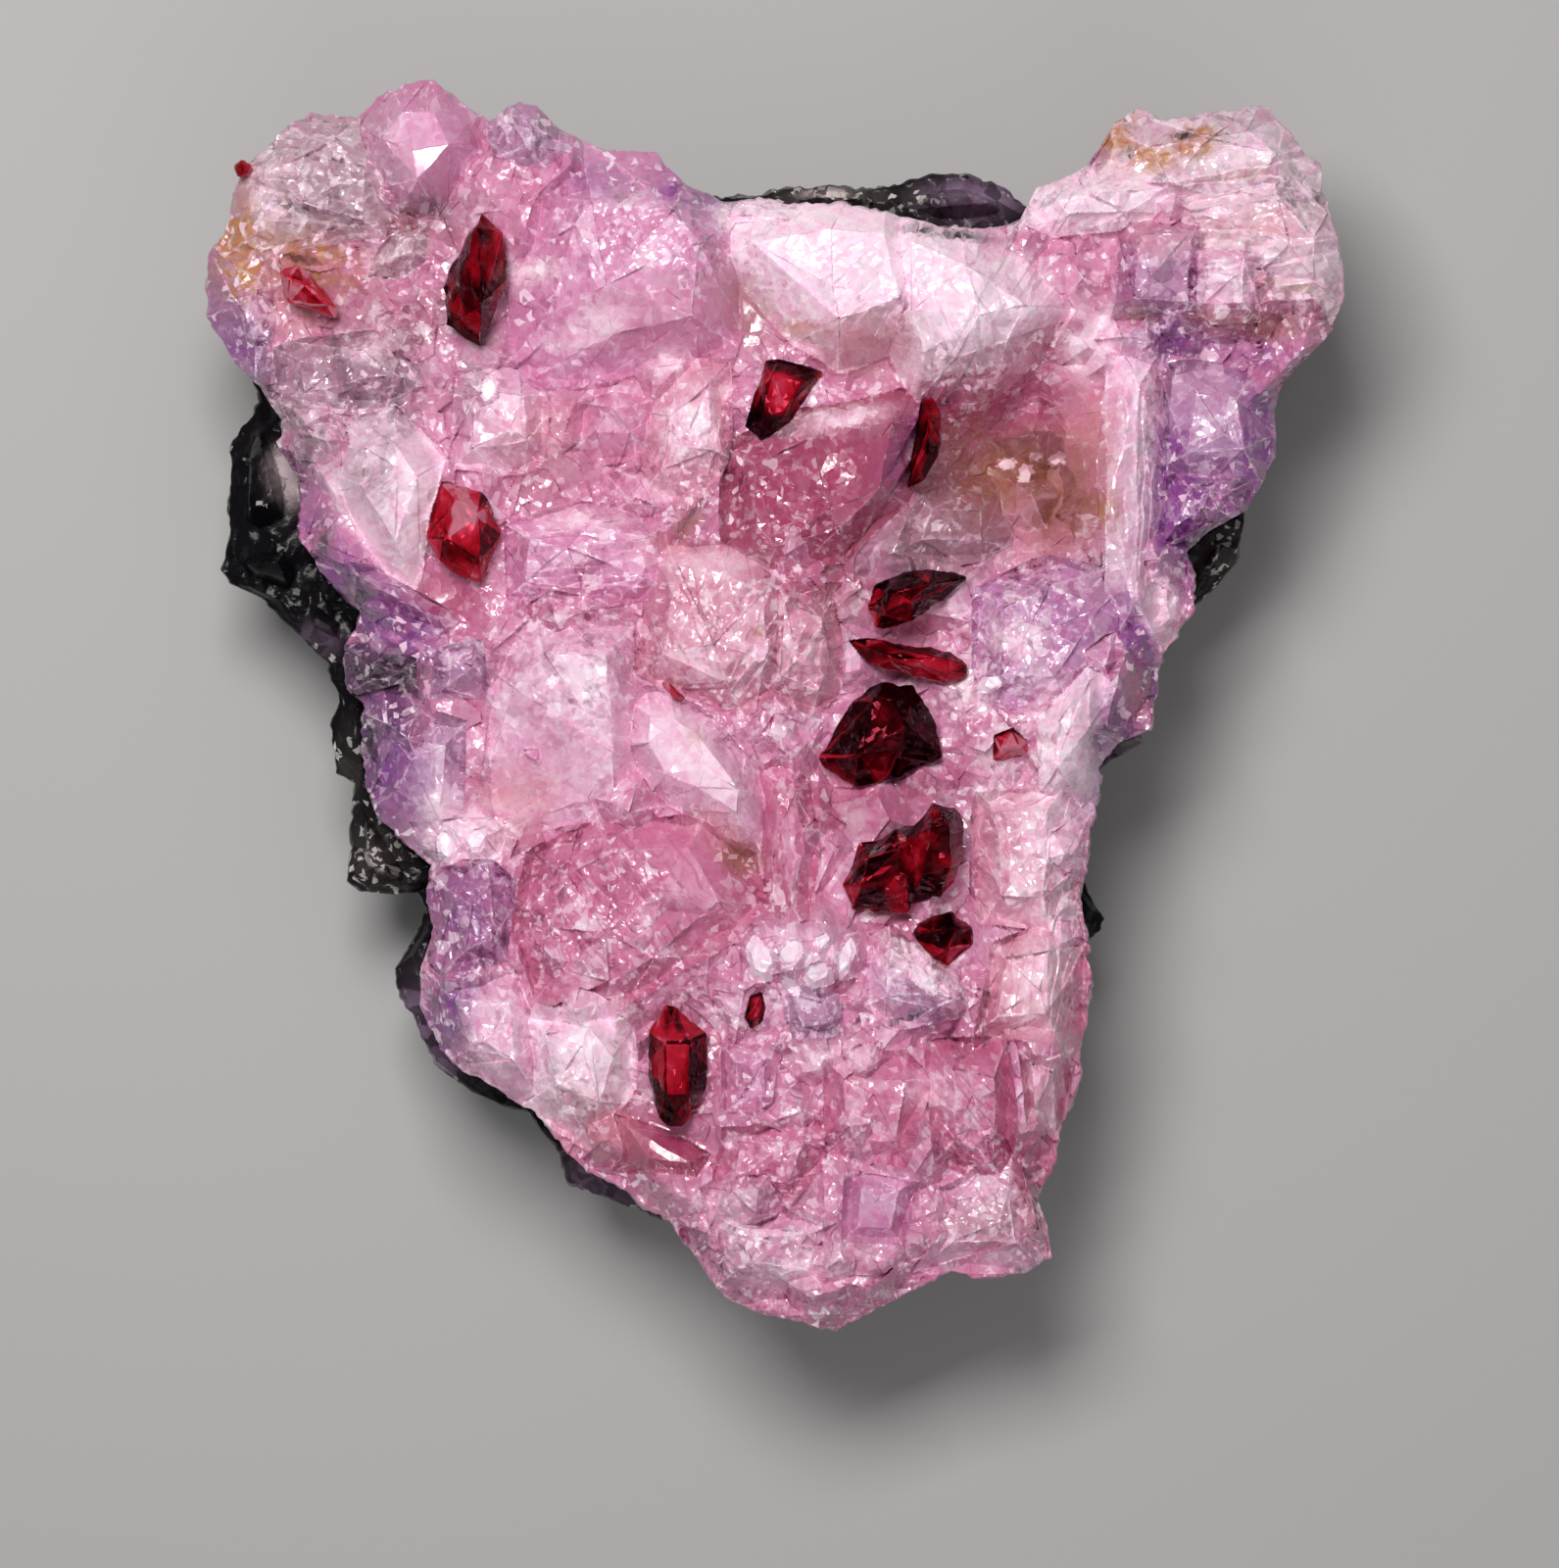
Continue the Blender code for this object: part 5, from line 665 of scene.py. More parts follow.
# ellipses of the crust's surface: x, y, half length, half width, degrees, strength
crustZones = {
    "grain": [
        (4.0, -24.0, 9.5, 6.0, 0, 1.0), (9.0, 9.2, 4.0, 2.4, 10, 1.0), (13.6, -12.0, 3.2, 9.0, 0, 0.9),
        (-4.4, 15.0, 3.2, 4.6, 0, 0.8), (-11.0, -18.0, 5.0, 4.0, -30, 0.8), (12.0, -2.0, 3.0, 4.0, 0, 0.8),
        (1.0, -7.0, 2.4, 5.0, 0, 0.5), (4.0, 15.4, 3.4, 1.2, 15, 0.9), (-22.0, 17.5, 4.0, 3.0, 0, 0.7),
        (-26.0, 9.0, 2.0, 5.0, 20, 0.9), (-20.5, -2.0, 2.6, 5.0, 0, 0.7), (14.0, 19.5, 3.0, 2.0, 40, 0.7),
        (7.0, -15.0, 3.0, 2.0, -20, 0.6), (19.0, 29.6, 2.6, 2.2, 0, 0.8), (1.5, 19.0, 2.2, 1.2, 0, 0.9),
        (-5.5, 24.5, 3.5, 2.5, 0, 0.6), (17.0, 6.0, 4.0, 3.5, 40, 0.5),
    ],
    "smooth": [
        (-4.3, -2.6, 3.6, 1.8, -48, 1.0), (-11.0, -3.4, 3.6, 2.6, 0, 0.8), (-8.0, 20.4, 4.4, 2.2, 0, 0.7),
        (-1.4, 21.0, 1.8, 2.6, 30, 1.0), (13.8, 13.0, 4.6, 4.4, 0, 1.0), (-6.0, -23.0, 3.4, 1.6, -20, 0.9),
        (-5.0, -7.6, 3.0, 1.6, -40, 0.8), (5.6, 18.4, 2.4, 1.4, 20, 0.9), (5.2, -26.6, 1.8, 2.0, 0, 0.8),
        (0.6, 23.0, 3.0, 2.2, 0, 0.6), (6.3, 13.2, 1.2, 2.6, -20, 0.9), (-17.0, 5.6, 2.6, 1.8, -20, 0.8),
        (-21.6, 9.4, 1.0, 3.4, 35, 0.9), (-3.0, 7.2, 2.6, 1.2, 0, 0.8), (4.5, 24.8, 3.0, 1.6, 0, 0.8),
        (-0.5, -4.5, 1.2, 2.0, 10, 0.7), (22.0, 15.5, 2.6, 1.8, 50, 0.5), (-18.0, 29.6, 3.0, 3.4, 0, 1.0),
    ],
    "violet": [
        (21.3, 10.8, 2.2, 4.8, 8, 1.0), (25.8, 14.2, 1.5, 2.8, 0, 1.0), (-20.8, -1.8, 2.4, 4.8, 0, 1.0),
        (-17.6, -17.0, 1.5, 3.2, -25, 1.0), (16.8, 3.6, 2.8, 3.4, 35, 0.25), (-20.4, 4.0, 3.4, 1.9, -25, 0.9),
        (20.4, 19.4, 2.2, 1.6, 0, 0.7), (-28.4, 19.4, 1.7, 3.6, 15, 0.7), (-4.2, 26.6, 2.4, 1.2, -30, 0.9),
        (17.8, -2.6, 1.9, 3.8, -15, 1.0), (-23.4, 6.8, 2.2, 2.4, -40, 0.8), (7.4, -15.4, 2.2, 1.1, -30, 0.6),
        (24.8, 18.8, 3.4, 1.2, -10, 0.5), (-25.0, 10.6, 1.8, 3.2, 30, 0.5), (5.2, -26.4, 2.0, 2.0, 0, 0.2),
        (19.6, 2.4, 1.0, 4.2, 20, 1.0), (-9.2, 27.6, 2.0, 1.2, -20, 0.5), (6.8, 13.2, 0.9, 2.4, -20, 0.45),
        (-16.4, -10.6, 1.2, 2.4, 10, 0.5), (23.2, 11.6, 3.2, 3.2, 0, 0.7), (-19.6, -9.6, 1.6, 2.0, 0, 0.6),
    ],
    "peach": [
        (-13.4, -4.6, 2.2, 1.6, 0, 0.6), (4.6, 19.4, 2.6, 1.4, 10, 0.6), (16.6, 13.4, 1.6, 4.0, 0, 0.7),
        (13.6, -14.4, 1.8, 3.0, 0, 0.5), (-6.0, 8.4, 1.6, 1.0, 0, 0.5), (-25.6, 21.6, 2.4, 2.0, -20, 0.7),
        (-12.4, 14.6, 2.4, 1.6, 20, 0.4), (-2.6, -6.6, 2.0, 1.2, -40, 0.5), (20.4, 24.6, 2.4, 1.2, 0, 0.5),
        (14.4, 9.4, 1.6, 2.6, -30, 0.5), (-9.4, -22.0, 2.6, 1.6, -35, 0.5), (25.4, 25.4, 3.0, 1.0, 0, 0.5),
    ],
    "grey": [
        (-25.0, 15.4, 3.2, 4.0, 20, 0.75), (-20.4, 17.0, 2.6, 3.6, 0, 0.65), (-22.0, 11.6, 2.4, 3.0, 30, 0.6),
        (-15.6, 18.4, 1.2, 4.4, -10, 0.5), (-28.0, 17.6, 1.6, 3.0, 0, 0.8), (8.6, 8.4, 3.0, 2.0, 0, 0.6),
        (-16.0, 26.0, 1.6, 1.0, 0, 0.5), (11.4, 18.8, 1.6, 1.0, 30, 0.4), (17.4, 7.0, 2.0, 1.6, 30, 0.5),
        (-22.6, 27.6, 4.0, 3.4, 0, 0.7), (20.0, 6.0, 1.6, 1.4, 0, 0.5), (0.4, 27.0, 4.0, 0.8, 0, 0.5),
    ],
    "rose": [
        (11.6, 15.8, 5.4, 2.4, 0, 0.8), (-17.2, 6.0, 2.2, 1.8, -25, 0.75), (2.0, 11.0, 4.6, 3.4, 20, 0.55),
        (-7.0, -22.6, 3.4, 2.0, -15, 0.75), (3.0, 6.6, 3.0, 1.2, -10, 0.6), (4.0, -5.0, 4.0, 2.0, 0, 0.5),
        (-13.6, -6.6, 1.8, 0.9, 0, 0.8), (14.4, 19.2, 1.8, 1.4, 40, 0.7), (8.0, -3.6, 3.0, 1.6, 0, 0.5),
        (-6.0, 20.6, 4.6, 2.0, 0, 0.35), (10.8, -17.0, 2.2, 2.0, 0, 0.45), (3.6, 18.6, 3.0, 1.2, 10, 0.5),
        (13.6, -24.2, 1.6, 2.2, 10, 0.6), (-1.0, -9.8, 2.2, 2.4, 0, 0.35), (-12.6, 12.6, 2.6, 2.0, 0, 0.35),
        (0.0, -30.0, 5.0, 2.0, 0, 0.25), (-5.0, -18.6, 2.6, 4.0, 0, 0.4), (6.8, -12.4, 2.6, 1.4, -40, 0.5),
    ],
    "olive": [
        (12.8, 12.4, 4.6, 2.6, 0, 1.0), (15.6, 10.4, 2.6, 2.0, 0, 0.9), (10.6, 13.8, 2.2, 1.6, 0, 0.7),
        (-1.8, -8.0, 1.1, 1.0, -30, 0.8), (-4.6, 9.6, 1.2, 0.6, 40, 0.7), (1.4, 19.7, 1.4, 0.6, -20, 0.5),
        (19.2, 20.6, 1.2, 0.6, -10, 0.6), (19.4, 0.8, 0.8, 2.4, 0, 0.45), (24.6, 20.2, 3.4, 0.7, -8, 0.6),
    ],
    "earth": [
        (-1.5, 21.0, 1.4, 2.6, 28, 0.7), (5.6, 18.4, 2.4, 1.3, 20, 0.55), (9.0, 8.6, 3.6, 2.0, 0, 0.45),
        (-23.0, 21.4, 4.0, 1.6, -10, 0.45), (-19.0, 25.4, 2.2, 1.2, 0, 0.6), (-18.4, 20.4, 2.6, 1.4, 30, 0.4),
        (12.0, -27.4, 3.4, 2.0, 0, 0.5), (3.6, 5.6, 1.6, 2.2, 0, 0.45), (26.4, 20.4, 3.0, 0.9, 5, 0.6),
        (-11.8, 12.4, 2.0, 2.4, 0, 0.25),
    ],
    "stain": [
        (-27.9, 24.6, 1.7, 3.0, -15, 1.0), (22.0, 29.6, 1.3, 0.9, 20, 1.0), (19.6, 28.6, 1.6, 0.9, 0, 1.0),
        (18.0, 30.2, 1.1, 1.5, 0, 1.0), (-24.5, 23.6, 3.2, 1.5, -10, 0.6), (17.6, 10.4, 0.6, 1.0, 0, 0.5),
        (-4.1, -1.6, 0.5, 0.4, 0, 0.9), (1.4, 19.9, 0.7, 0.4, 0, 0.7), (-0.7, 3.9, 0.4, 0.3, 0, 0.7),
        (24.4, 27.8, 2.6, 0.3, 10, 0.35), (27.0, 22.2, 2.4, 0.3, -4, 0.4),
    ],
    "points": [
        (1.4, -12.8, 3.4, 1.8, 0, 1.0), (15.0, -3.0, 1.8, 4.0, 15, 0.8), (13.6, -9.0, 2.4, 5.0, 0, 0.8),
        (11.4, 5.2, 2.6, 1.8, 20, 1.0), (-16.0, -7.0, 2.6, 1.4, 0, 0.9), (8.0, -14.0, 3.2, 1.6, -20, 0.8),
        (-2.6, -16.8, 1.4, 1.6, 0, 0.6), (9.6, 0.4, 1.8, 2.6, 0, 0.8), (-20.4, 15.6, 2.4, 1.4, 0, 0.6),
        (-12.4, 13.6, 2.2, 1.6, 0, 0.6), (2.6, 3.0, 2.4, 3.0, 0, 0.6), (6.0, -22.0, 6.0, 4.0, 0, 0.35),
        (-10.6, -17.6, 3.2, 2.6, 0, 0.5), (4.4, 15.2, 2.8, 0.8, 10, 0.6), (17.0, 26.6, 3.0, 1.0, 0, 0.6),
    ],
    # whiter calcite, and in part painted highlights where clusters of chips glint
    "white": [
        (5.2, 24.6, 2.2, 1.6, 0, 1.0), (9.8, 22.2, 1.1, 2.2, 0, 1.0), (0.6, 25.6, 4.8, 0.9, 0, 1.0),
        (17.0, 26.8, 4.2, 1.4, 5, 1.0), (-26.8, 26.8, 0.9, 1.6, 0, 0.8), (-10.2, 9.9, 2.2, 0.6, 0, 1.0),
        (1.4, -12.6, 3.2, 1.6, 0, 0.3), (16.8, 19.4, 1.6, 1.8, 0, 1.0), (-4.4, 14.6, 1.4, 1.4, 0, 1.0),
        (15.4, -1.6, 1.4, 3.8, 20, 1.0), (14.6, -8.0, 1.4, 6.0, 0, 0.8), (-16.2, -6.6, 2.4, 1.4, 0, 0.8),
        (20.6, 5.4, 1.0, 1.8, 20, 0.8), (10.4, 1.0, 1.2, 1.2, 0, 0.9), (-21.6, 10.0, 0.8, 3.8, 35, 1.0),
        (19.4, 14.0, 0.8, 5.4, 0, 0.7), (12.6, 22.0, 2.4, 1.6, -40, 0.9), (-4.2, -2.4, 3.4, 1.5, -48, 0.6),
        (7.6, -13.8, 1.8, 1.1, -30, 0.9), (-3.0, 7.4, 2.6, 0.8, 0, 0.5), (3.4, 15.0, 2.8, 0.6, 10, 0.9),
        (-9.4, 20.0, 1.8, 1.0, 20, 0.7), (-12.6, 22.8, 1.4, 0.8, 0, 0.7), (-5.6, 18.0, 1.2, 0.8, 30, 0.6),
        (3.2, -18.4, 2.0, 1.0, 0, 0.6), (8.6, -20.4, 1.6, 1.0, -30, 0.6), (-9.6, -16.2, 2.2, 1.4, 0, 0.6),
        (11.6, -3.4, 1.0, 1.6, 0, 0.9), (12.8, 3.6, 1.6, 1.0, 0, 0.9), (13.6, -14.6, 1.2, 2.4, 0, 0.6),
        (-23.8, 15.8, 0.8, 1.4, 20, 0.6), (-21.2, 19.0, 1.4, 0.8, 30, 0.5), (-17.6, -6.0, 0.9, 2.2, -10, 0.7),
        (2.0, -29.4, 3.4, 1.2, 12, 0.35), (-2.6, -26.6, 2.4, 1.2, -30, 0.3),
    ],
    # dark matter beside the rock and dark specks, and painted shade in the crevices and gaps between crystals
    "dark": [
        (-20.4, 1.7, 2.4, 1.3, 0, 0.9), (-22.4, 5.4, 0.9, 2.0, -30, 0.7), (-21.4, -1.6, 0.7, 2.4, 0, 0.7),
        (-23.8, 8.6, 0.5, 2.0, -20, 0.6), (-22.0, -6.6, 0.5, 2.0, 0, 0.5), (18.6, 29.0, 0.5, 0.3, 20, 0.8),
        (21.6, 30.0, 0.6, 0.3, 0, 0.8), (20.4, 27.6, 0.4, 0.3, 0, 0.7), (17.4, -1.4, 0.8, 1.6, -15, 0.5),
        (9.4, 24.7, 2.6, 0.30, -6, 0.8), (-2.4, 12.8, 0.18, 1.8, -12, 0.7),
        (-4.2, 10.2, 1.6, 0.16, 52, 0.6), (7.2, -16.3, 1.9, 0.14, 18, 0.8), (-17.8, 26.2, 1.5, 0.7, 0, 0.5),
        (18.8, -2.0, 1.2, 0.4, 0, 0.7), (23.4, 8.2, 1.4, 1.6, 0, 0.7), (-19.2, -14.4, 0.5, 2.6, -15, 0.5),
        (-24.6, 13.2, 0.5, 2.4, -30, 0.5), (-22.6, 17.6, 0.4, 2.0, 20, 0.5),
        (-20.0, 14.6, 0.4, 2.6, -10, 0.4), (-26.8, 16.6, 0.5, 1.6, 0, 0.5),
        (-20.0, -0.6, 1.8, 1.2, -20, 0.45), (-22.2, 0.6, 0.8, 4.0, -10, 0.6),
        (-24.4, 26.2, 2.6, 0.16, -12, 0.5), (-23.6, 28.8, 2.2, 0.14, -8, 0.5),
        (-25.4, 23.8, 2.0, 0.16, -14, 0.5),
    ],
}

finishes = {                       # linear red, green, blue
    "pink": (0.630, 0.235, 0.440),
    "pale": (0.740, 0.400, 0.570),
    "white": (0.930, 0.740, 0.830),
    "coral": (0.680, 0.300, 0.410),
    "raspberry": (0.570, 0.135, 0.290),
    "mauve": (0.360, 0.105, 0.290),
    "rose": (0.380, 0.045, 0.130),
    "dusky": (0.370, 0.200, 0.275),
    "lilac": (0.440, 0.230, 0.400),
    "violet": (0.240, 0.068, 0.270),
    "grape": (0.060, 0.025, 0.055),
    "stone": (0.530, 0.420, 0.425),
    "blush": (0.700, 0.560, 0.600),
    "olive": (0.300, 0.118, 0.085),
    "earth": (0.330, 0.150, 0.160),
    "stain": (0.480, 0.220, 0.080),
    "dark": (0.030, 0.015, 0.026),
    "between": (0.620, 0.220, 0.390),
    "crest": (0.960, 0.800, 0.900),
    "deepening": (0.72, 0.38, 0.55),   # how far a finish darkens at its deepest, for random deep tones and for painted shade
    "peach": (0.700, 0.330, 0.370),
    "orchid": (0.500, 0.190, 0.430),
    "grey": (0.430, 0.290, 0.355),
    "salmon": (0.620, 0.250, 0.350),
    "shard": (0.960, 0.840, 0.910),
    "bead": (0.700, 0.500, 0.480),
}

# some are lighter or deeper than the rest
finishBias = {"rose": -0.80, "dusky": -0.90, "raspberry": -0.14, "mauve": -0.25, "lilac": -0.15,
              "violet": -0.30, "pink": -0.17, "coral": -0.12, "white": 0.36, "blush": 0.18, "grape": -0.60,
              "orchid": -0.33, "stone": -0.20, "shard": 0.40, "salmon": -0.35, "pale": 0.09}

# what moves a facet's tint up towards the crests' pale, or down towards its own deep tint
crustShift = {
    "all": 0.05,
    "crystalFace": 0.85,        # each face of a named crystal
    "face": 0.26,               # each low face on it
    "streak": 0.60,
    "chipPale": 0.36,           # the palest chips
    "chipDeep": 0.08,           # the deepest chips
    "small": 0.40,              # each small crystal
    "points": 0.6,              # each pointed crystal
    "above": 0.22,              # painted light on high faces and painted shade in hollows, for each millimetre above the level
    "line": 1.9,                # painted light on the crest and painted shade in the trough of each growth line, for each millimetre of it
    "relief": 0.35,             # painted light on the highs and painted shade in the lows of the relief, for each millimetre of it
    "raised": -0.45,            # painted shade for each millimetre that the foot of a wall between crystals was filled
    "steep": -0.40,             # painted shade on steep faces
    "cloud": 0.6,               # broad clouds
}

# shares of the way to the other tint
crustMix = {
    "up": 0.80,
    "down": 0.85,
    "milk": 0.18,               # the crests' pale in every face
    "lift": 0.75,               # painted highlights on edges and glinting chips
    "spark": 0.7,               # painted sparkle on the few brightest chips
    "glintAbove": 0.88,         # the finest chips that get a painted glint, by their tone
    "sparkAbove": 0.955,
}

# the zones in the order they are laid, and how ragged each is
zoneEdges = {"rose": 0.3, "peach": 0.3, "grey": 0.4, "violet": 0.35, "earth": 0.3, "olive": 0.3, "stain": 0.5,
             "white": 0.5, "dark": 0.4}


def seamHeight(x, y):
    # one long wave each way
    turn = 2.0 * math.pi / crustShape["seamWavelength"]
    return crustShape["seam"] + crustShape["seamWave"] * np.sin(turn * (x + 4.0)) * np.cos(turn * (y - 3.0))


def crustLevel(x, y):
    # the mean level plus a bell-shaped rise for every swell and hollow
    height = crustShape["level"]
    for cx, cy, radius, rise in crustSwells:
        height = height + rise * np.exp(-((x - cx) ** 2 + (y - cy) ** 2) / (2.0 * radius * radius))
    return height


def crystalCorners(root, crest):
    # the buried root, the leaning crest, and one peak above the crest's middle
    points = []
    mx, my = centreOf(root)
    for x, y in root:
        x, y = mx + crustShape["spread"] * (x - mx), my + crustShape["spread"] * (y - my)
        least = seamHeight(x, y) + crustShape["gap"] + crustShape["rootClearance"]
        points.append((x, y, max(crustLevel(x, y) - crustShape["rootDepth"], least)))
    dx, dy = leanAt(mx, my)
    for x, y, rise in crest:
        points.append((x, y, crustLevel(x, y) + rise + crustShape["lean"] * ((x - mx) * dx + (y - my) * dy)))
    cx, cy = centreOf(crest)
    width = 2.0 * sum(math.hypot(x - cx, y - cy) for x, y, rise in crest) / len(crest)
    top = sum(p[2] for p in points[len(root):]) / len(crest)
    points.append((cx + 0.2 * width * dx, cy + 0.2 * width * dy, top + crustShape["peak"] * width))
    return points


def insideOutline(x, y, outline):
    # an odd number of the outline's sides lies to the right of a place inside it
    found = False
    for (x0, y0), (x1, y1) in zip(outline, outline[1:] + outline[:1]):
        if (y0 > y) != (y1 > y) and x < x0 + (y - y0) * (x1 - x0) / (y1 - y0):
            found = not found
    return found


def smallCrystals():
    # leaning six-sided wedges on an uneven net, clear of the red crystals
    shapes = []
    drawn = []
    for x, y in crustOutline:
        kept = 1.0 - crustShape["smallInset"] / math.hypot(x - middle[0], y - middle[1])
        drawn.append((middle[0] + kept * (x - middle[0]), middle[1] + kept * (y - middle[1])))
    corners = [p for rim in redRims for p in rim + [centreOf(rim)]]
    step, wander = crustShape["smallStep"], crustShape["smallWander"]
    for row in range(13):
        for column in range(11):
            x = -31.0 + step * (column + 0.5 * (row % 2)) + wander * math.sin(5.1 * row + 2.3 * column)
            y = -33.0 + step * 0.866 * row + wander * math.cos(3.7 * row - 4.1 * column)
            size = crustShape["smallSize"] + crustShape["smallVaries"] * math.sin(2.9 * row + 4.3 * column)
            near = min(math.hypot(px - x, py - y) for px, py in corners)
            if not insideOutline(x, y, drawn) or near < size + crustShape["smallClear"]:
                continue
            dx, dy = leanAt(x, y)
            root = []
            for corner in range(6):
                turn = math.atan2(dy, dx) + corner * math.pi / 3.0
                reach = size * (1.0 + 0.25 * math.cos(2.0 * corner + row))
                root.append((x + reach * math.cos(turn), y + reach * math.sin(turn)))
            rise = crustShape["smallRise"] + 0.5 * math.sin(1.3 * row + 3.1 * column)
            crest = [(x + 0.45 * size * dx, y + 0.45 * size * dy, rise),
                     (x - 0.35 * size * dy, y + 0.35 * size * dx, 0.75 * rise),
                     (x + 0.35 * size * dy, y - 0.35 * size * dx, 0.75 * rise)]
            shapes.append(("between", crustShape["smallGrain"], root, crest))
    return shapes


def allCrystals():
    # each crystal as its finish, its share of grain, its planes and its box
    shapes = []
    for finish, grain, root, crest in [*crustCrystals.values(), *smallCrystals()]:
        points = crystalCorners(root, crest)
        low, high = np.min(points, axis=0), np.max(points, axis=0)
        shapes.append((finish, grain, facePlanes(points), low, high))
    return shapes


def standingCrystals():
    # six-sided crystals with a flat top that leans, each on the height of the crust at its place
    shapes = []
    for finish, places in standing.items():
        for cx, cy, degrees, length, width, rise in places:
            level = crustForms(np.array([cx]), np.array([cy]))[0][0]
            points = []
            for share, height in ((1.2, -crustShape["standingRoot"]), (0.75, rise)):
                for corner in range(6):
                    turn = corner * math.pi / 3.0
                    along = 0.5 * share * length * math.cos(turn)
                    dx, dy = turned(along, 0.5 * share * width * math.sin(turn), -degrees)
                    points.append((cx + dx, cy + dy, level + height - crustShape["standingLean"] * along))
            shapes.append((finish, 0.0, facePlanes(points), np.min(points, axis=0), np.max(points, axis=0)))
    return shapes


def crustForms(x, y):
    # the level, falling away at the rim, under the highest crystal at every place, with the corners
    # between them filled. Gives the height, the crystal, the tone of its face and its nearness to an edge.
    drop = crustShape["rimDrop"] * (1.0 + 0.5 * softNoise(x * 0.4, y * 0.4, 31))
    inward = depthInside(crustOutline, x, y)
    height = crustLevel(x, y) - drop * (1.0 - smoothStep(0.0, crustShape["rimWidth"], inward))
    highest = height.copy()
    owner = np.full(x.shape, -1)
    tone = np.full(x.shape, 0.5)
    edge = np.zeros(x.shape)
    for index, (_, _, planes, low, high) in enumerate(crystalShapes):
        near = (x > low[0]) & (x < high[0]) & (y > low[1]) & (y < high[1])
        if not near.any():
            continue
        top, face, margin = upperSide(planes, x[near], y[near])
        shown = top > highest[near]
        highest[near] = np.where(shown, top, highest[near])
        height[near] = softMax(top, height[near], crustShape["fill"])
        owner[near] = np.where(shown, index, owner[near])
        tone[near] = np.where(shown, (0.37 * index + 0.618 * face) % 1.0, tone[near])
        # nearness to the crystal's edge, for the painted highlight along it
        line = np.exp(-(margin / crustShape["edgeWidth"]) ** 2)
        edge[near] = np.where(shown, line, edge[near])
    return height, owner, tone, edge


def crustSurface(x, y):
    # the forms, and on them blocks, faces, chips and grains, each by its share at that place. The chips
    # on one face all point the same way. Gives the height without the relief, the crystal, and marks.
    shape = crustShape
    bend = 0.10 * layeredNoise(x * 0.5, y * 0.5, 41, 2)
    smooth = zone(x, y, crustZones["smooth"])
    points = zone(x, y, crustZones["points"])
    height, owner, tone, edge = crustForms(x + bend, y - bend)
    clear = np.array([crystal[0] in standing for crystal in crystalShapes] + [False])[owner]
    smooth = np.maximum(smooth, 0.9 * clear)
    grainOf = np.array([crystal[1] for crystal in crystalShapes] + [0.6])
    grain = np.clip(np.maximum(grainOf[owner], zone(x, y, crustZones["grain"])) - 0.9 * smooth, 0.0, 1.0)
    block, blockTone = druse(x, y, shape["blockStep"], 11, 1.0, 0.45)
    tone = np.where(owner < 0, blockTone, tone)
    bearing = 360.0 * tone
    nets = {}
    for name, seed, turn, stretch, order in (("face", 12, 0.0, 1.5, 0.9), ("chip", 13, 20.0, 3.0, 0.9),
                                             ("fine", 15, 30.0, 2.7, 0.8)):
        step, steep, cap = shape[name + "Step"], shape[name + "Steep"], shape[name + "Cap"]
        nets[name] = druse(x, y, step, seed, steep, cap, bearing + turn, stretch, order)
    (face, faceTone), (chip, chipTone), (fine, fineTone) = nets.values()
    point, pointTone = druse(x, y, shape["pointStep"], 16, 1.7, 0.5)
    small, smallTone = druse(x, y, shape["grainStep"], 14, 1.2, 0.5)
    patch = smoothStep(-0.25, 0.25, layeredNoise(x * 0.30, y * 0.30, 42, 3))
    above = height - crustLevel(x, y)
    height = height + shape["blockHeight"] * (owner < 0) * (1.0 - 0.85 * smooth) * block
    relief = shape["faceHeight"] * (0.35 + 0.65 * (1.0 - patch)) * (1.0 - 0.85 * smooth) * face
    relief = relief + shape["chipHeight"] * (0.25 + 0.75 * patch) * (1.0 - 0.9 * smooth) * chip
    relief = relief + shape["pointHeight"] * points * point
    relief = relief + shape["grainHeight"] * grain * patch * small
    often = (0.3 + 0.7 * grain) * (1.0 - 0.95 * smooth) * (0.3 + 0.7 * patch)
    relief = relief + shape["fineHeight"] * often * fine
    line = striae(x, y)
    relief = relief + line
    along, across = turned(x, y, bearing + 20.0)
    streak = layeredNoise(along * 0.5, across * 2.6, 63, 2)
    marks = {"smooth": smooth, "grain": grain, "patch": patch, "edge": edge, "tone": tone, "face": faceTone,
             "above": above, "line": line, "chip": chipTone, "points": points * pointTone, "small": smallTone,
             "fine": fineTone, "streak": streak, "relief": relief}
    return height, owner, marks


def cutSockets(x, y, z):
    # the surface under each red crystal follows the crystal's own underside
    z = z.copy()
    for planes, low, high in socketShapes:
        near = (x > low[0]) & (x < high[0]) & (y > low[1]) & (y < high[1])
        if near.any():
            floor, roof = lowerSide(planes, x[near], y[near]), upperSide(planes, x[near], y[near])[0]
            cut = np.minimum(z[near], np.maximum(floor, crustShape["socketFloor"]))
            z[near] = np.where(roof > floor, cut, z[near])
    return z


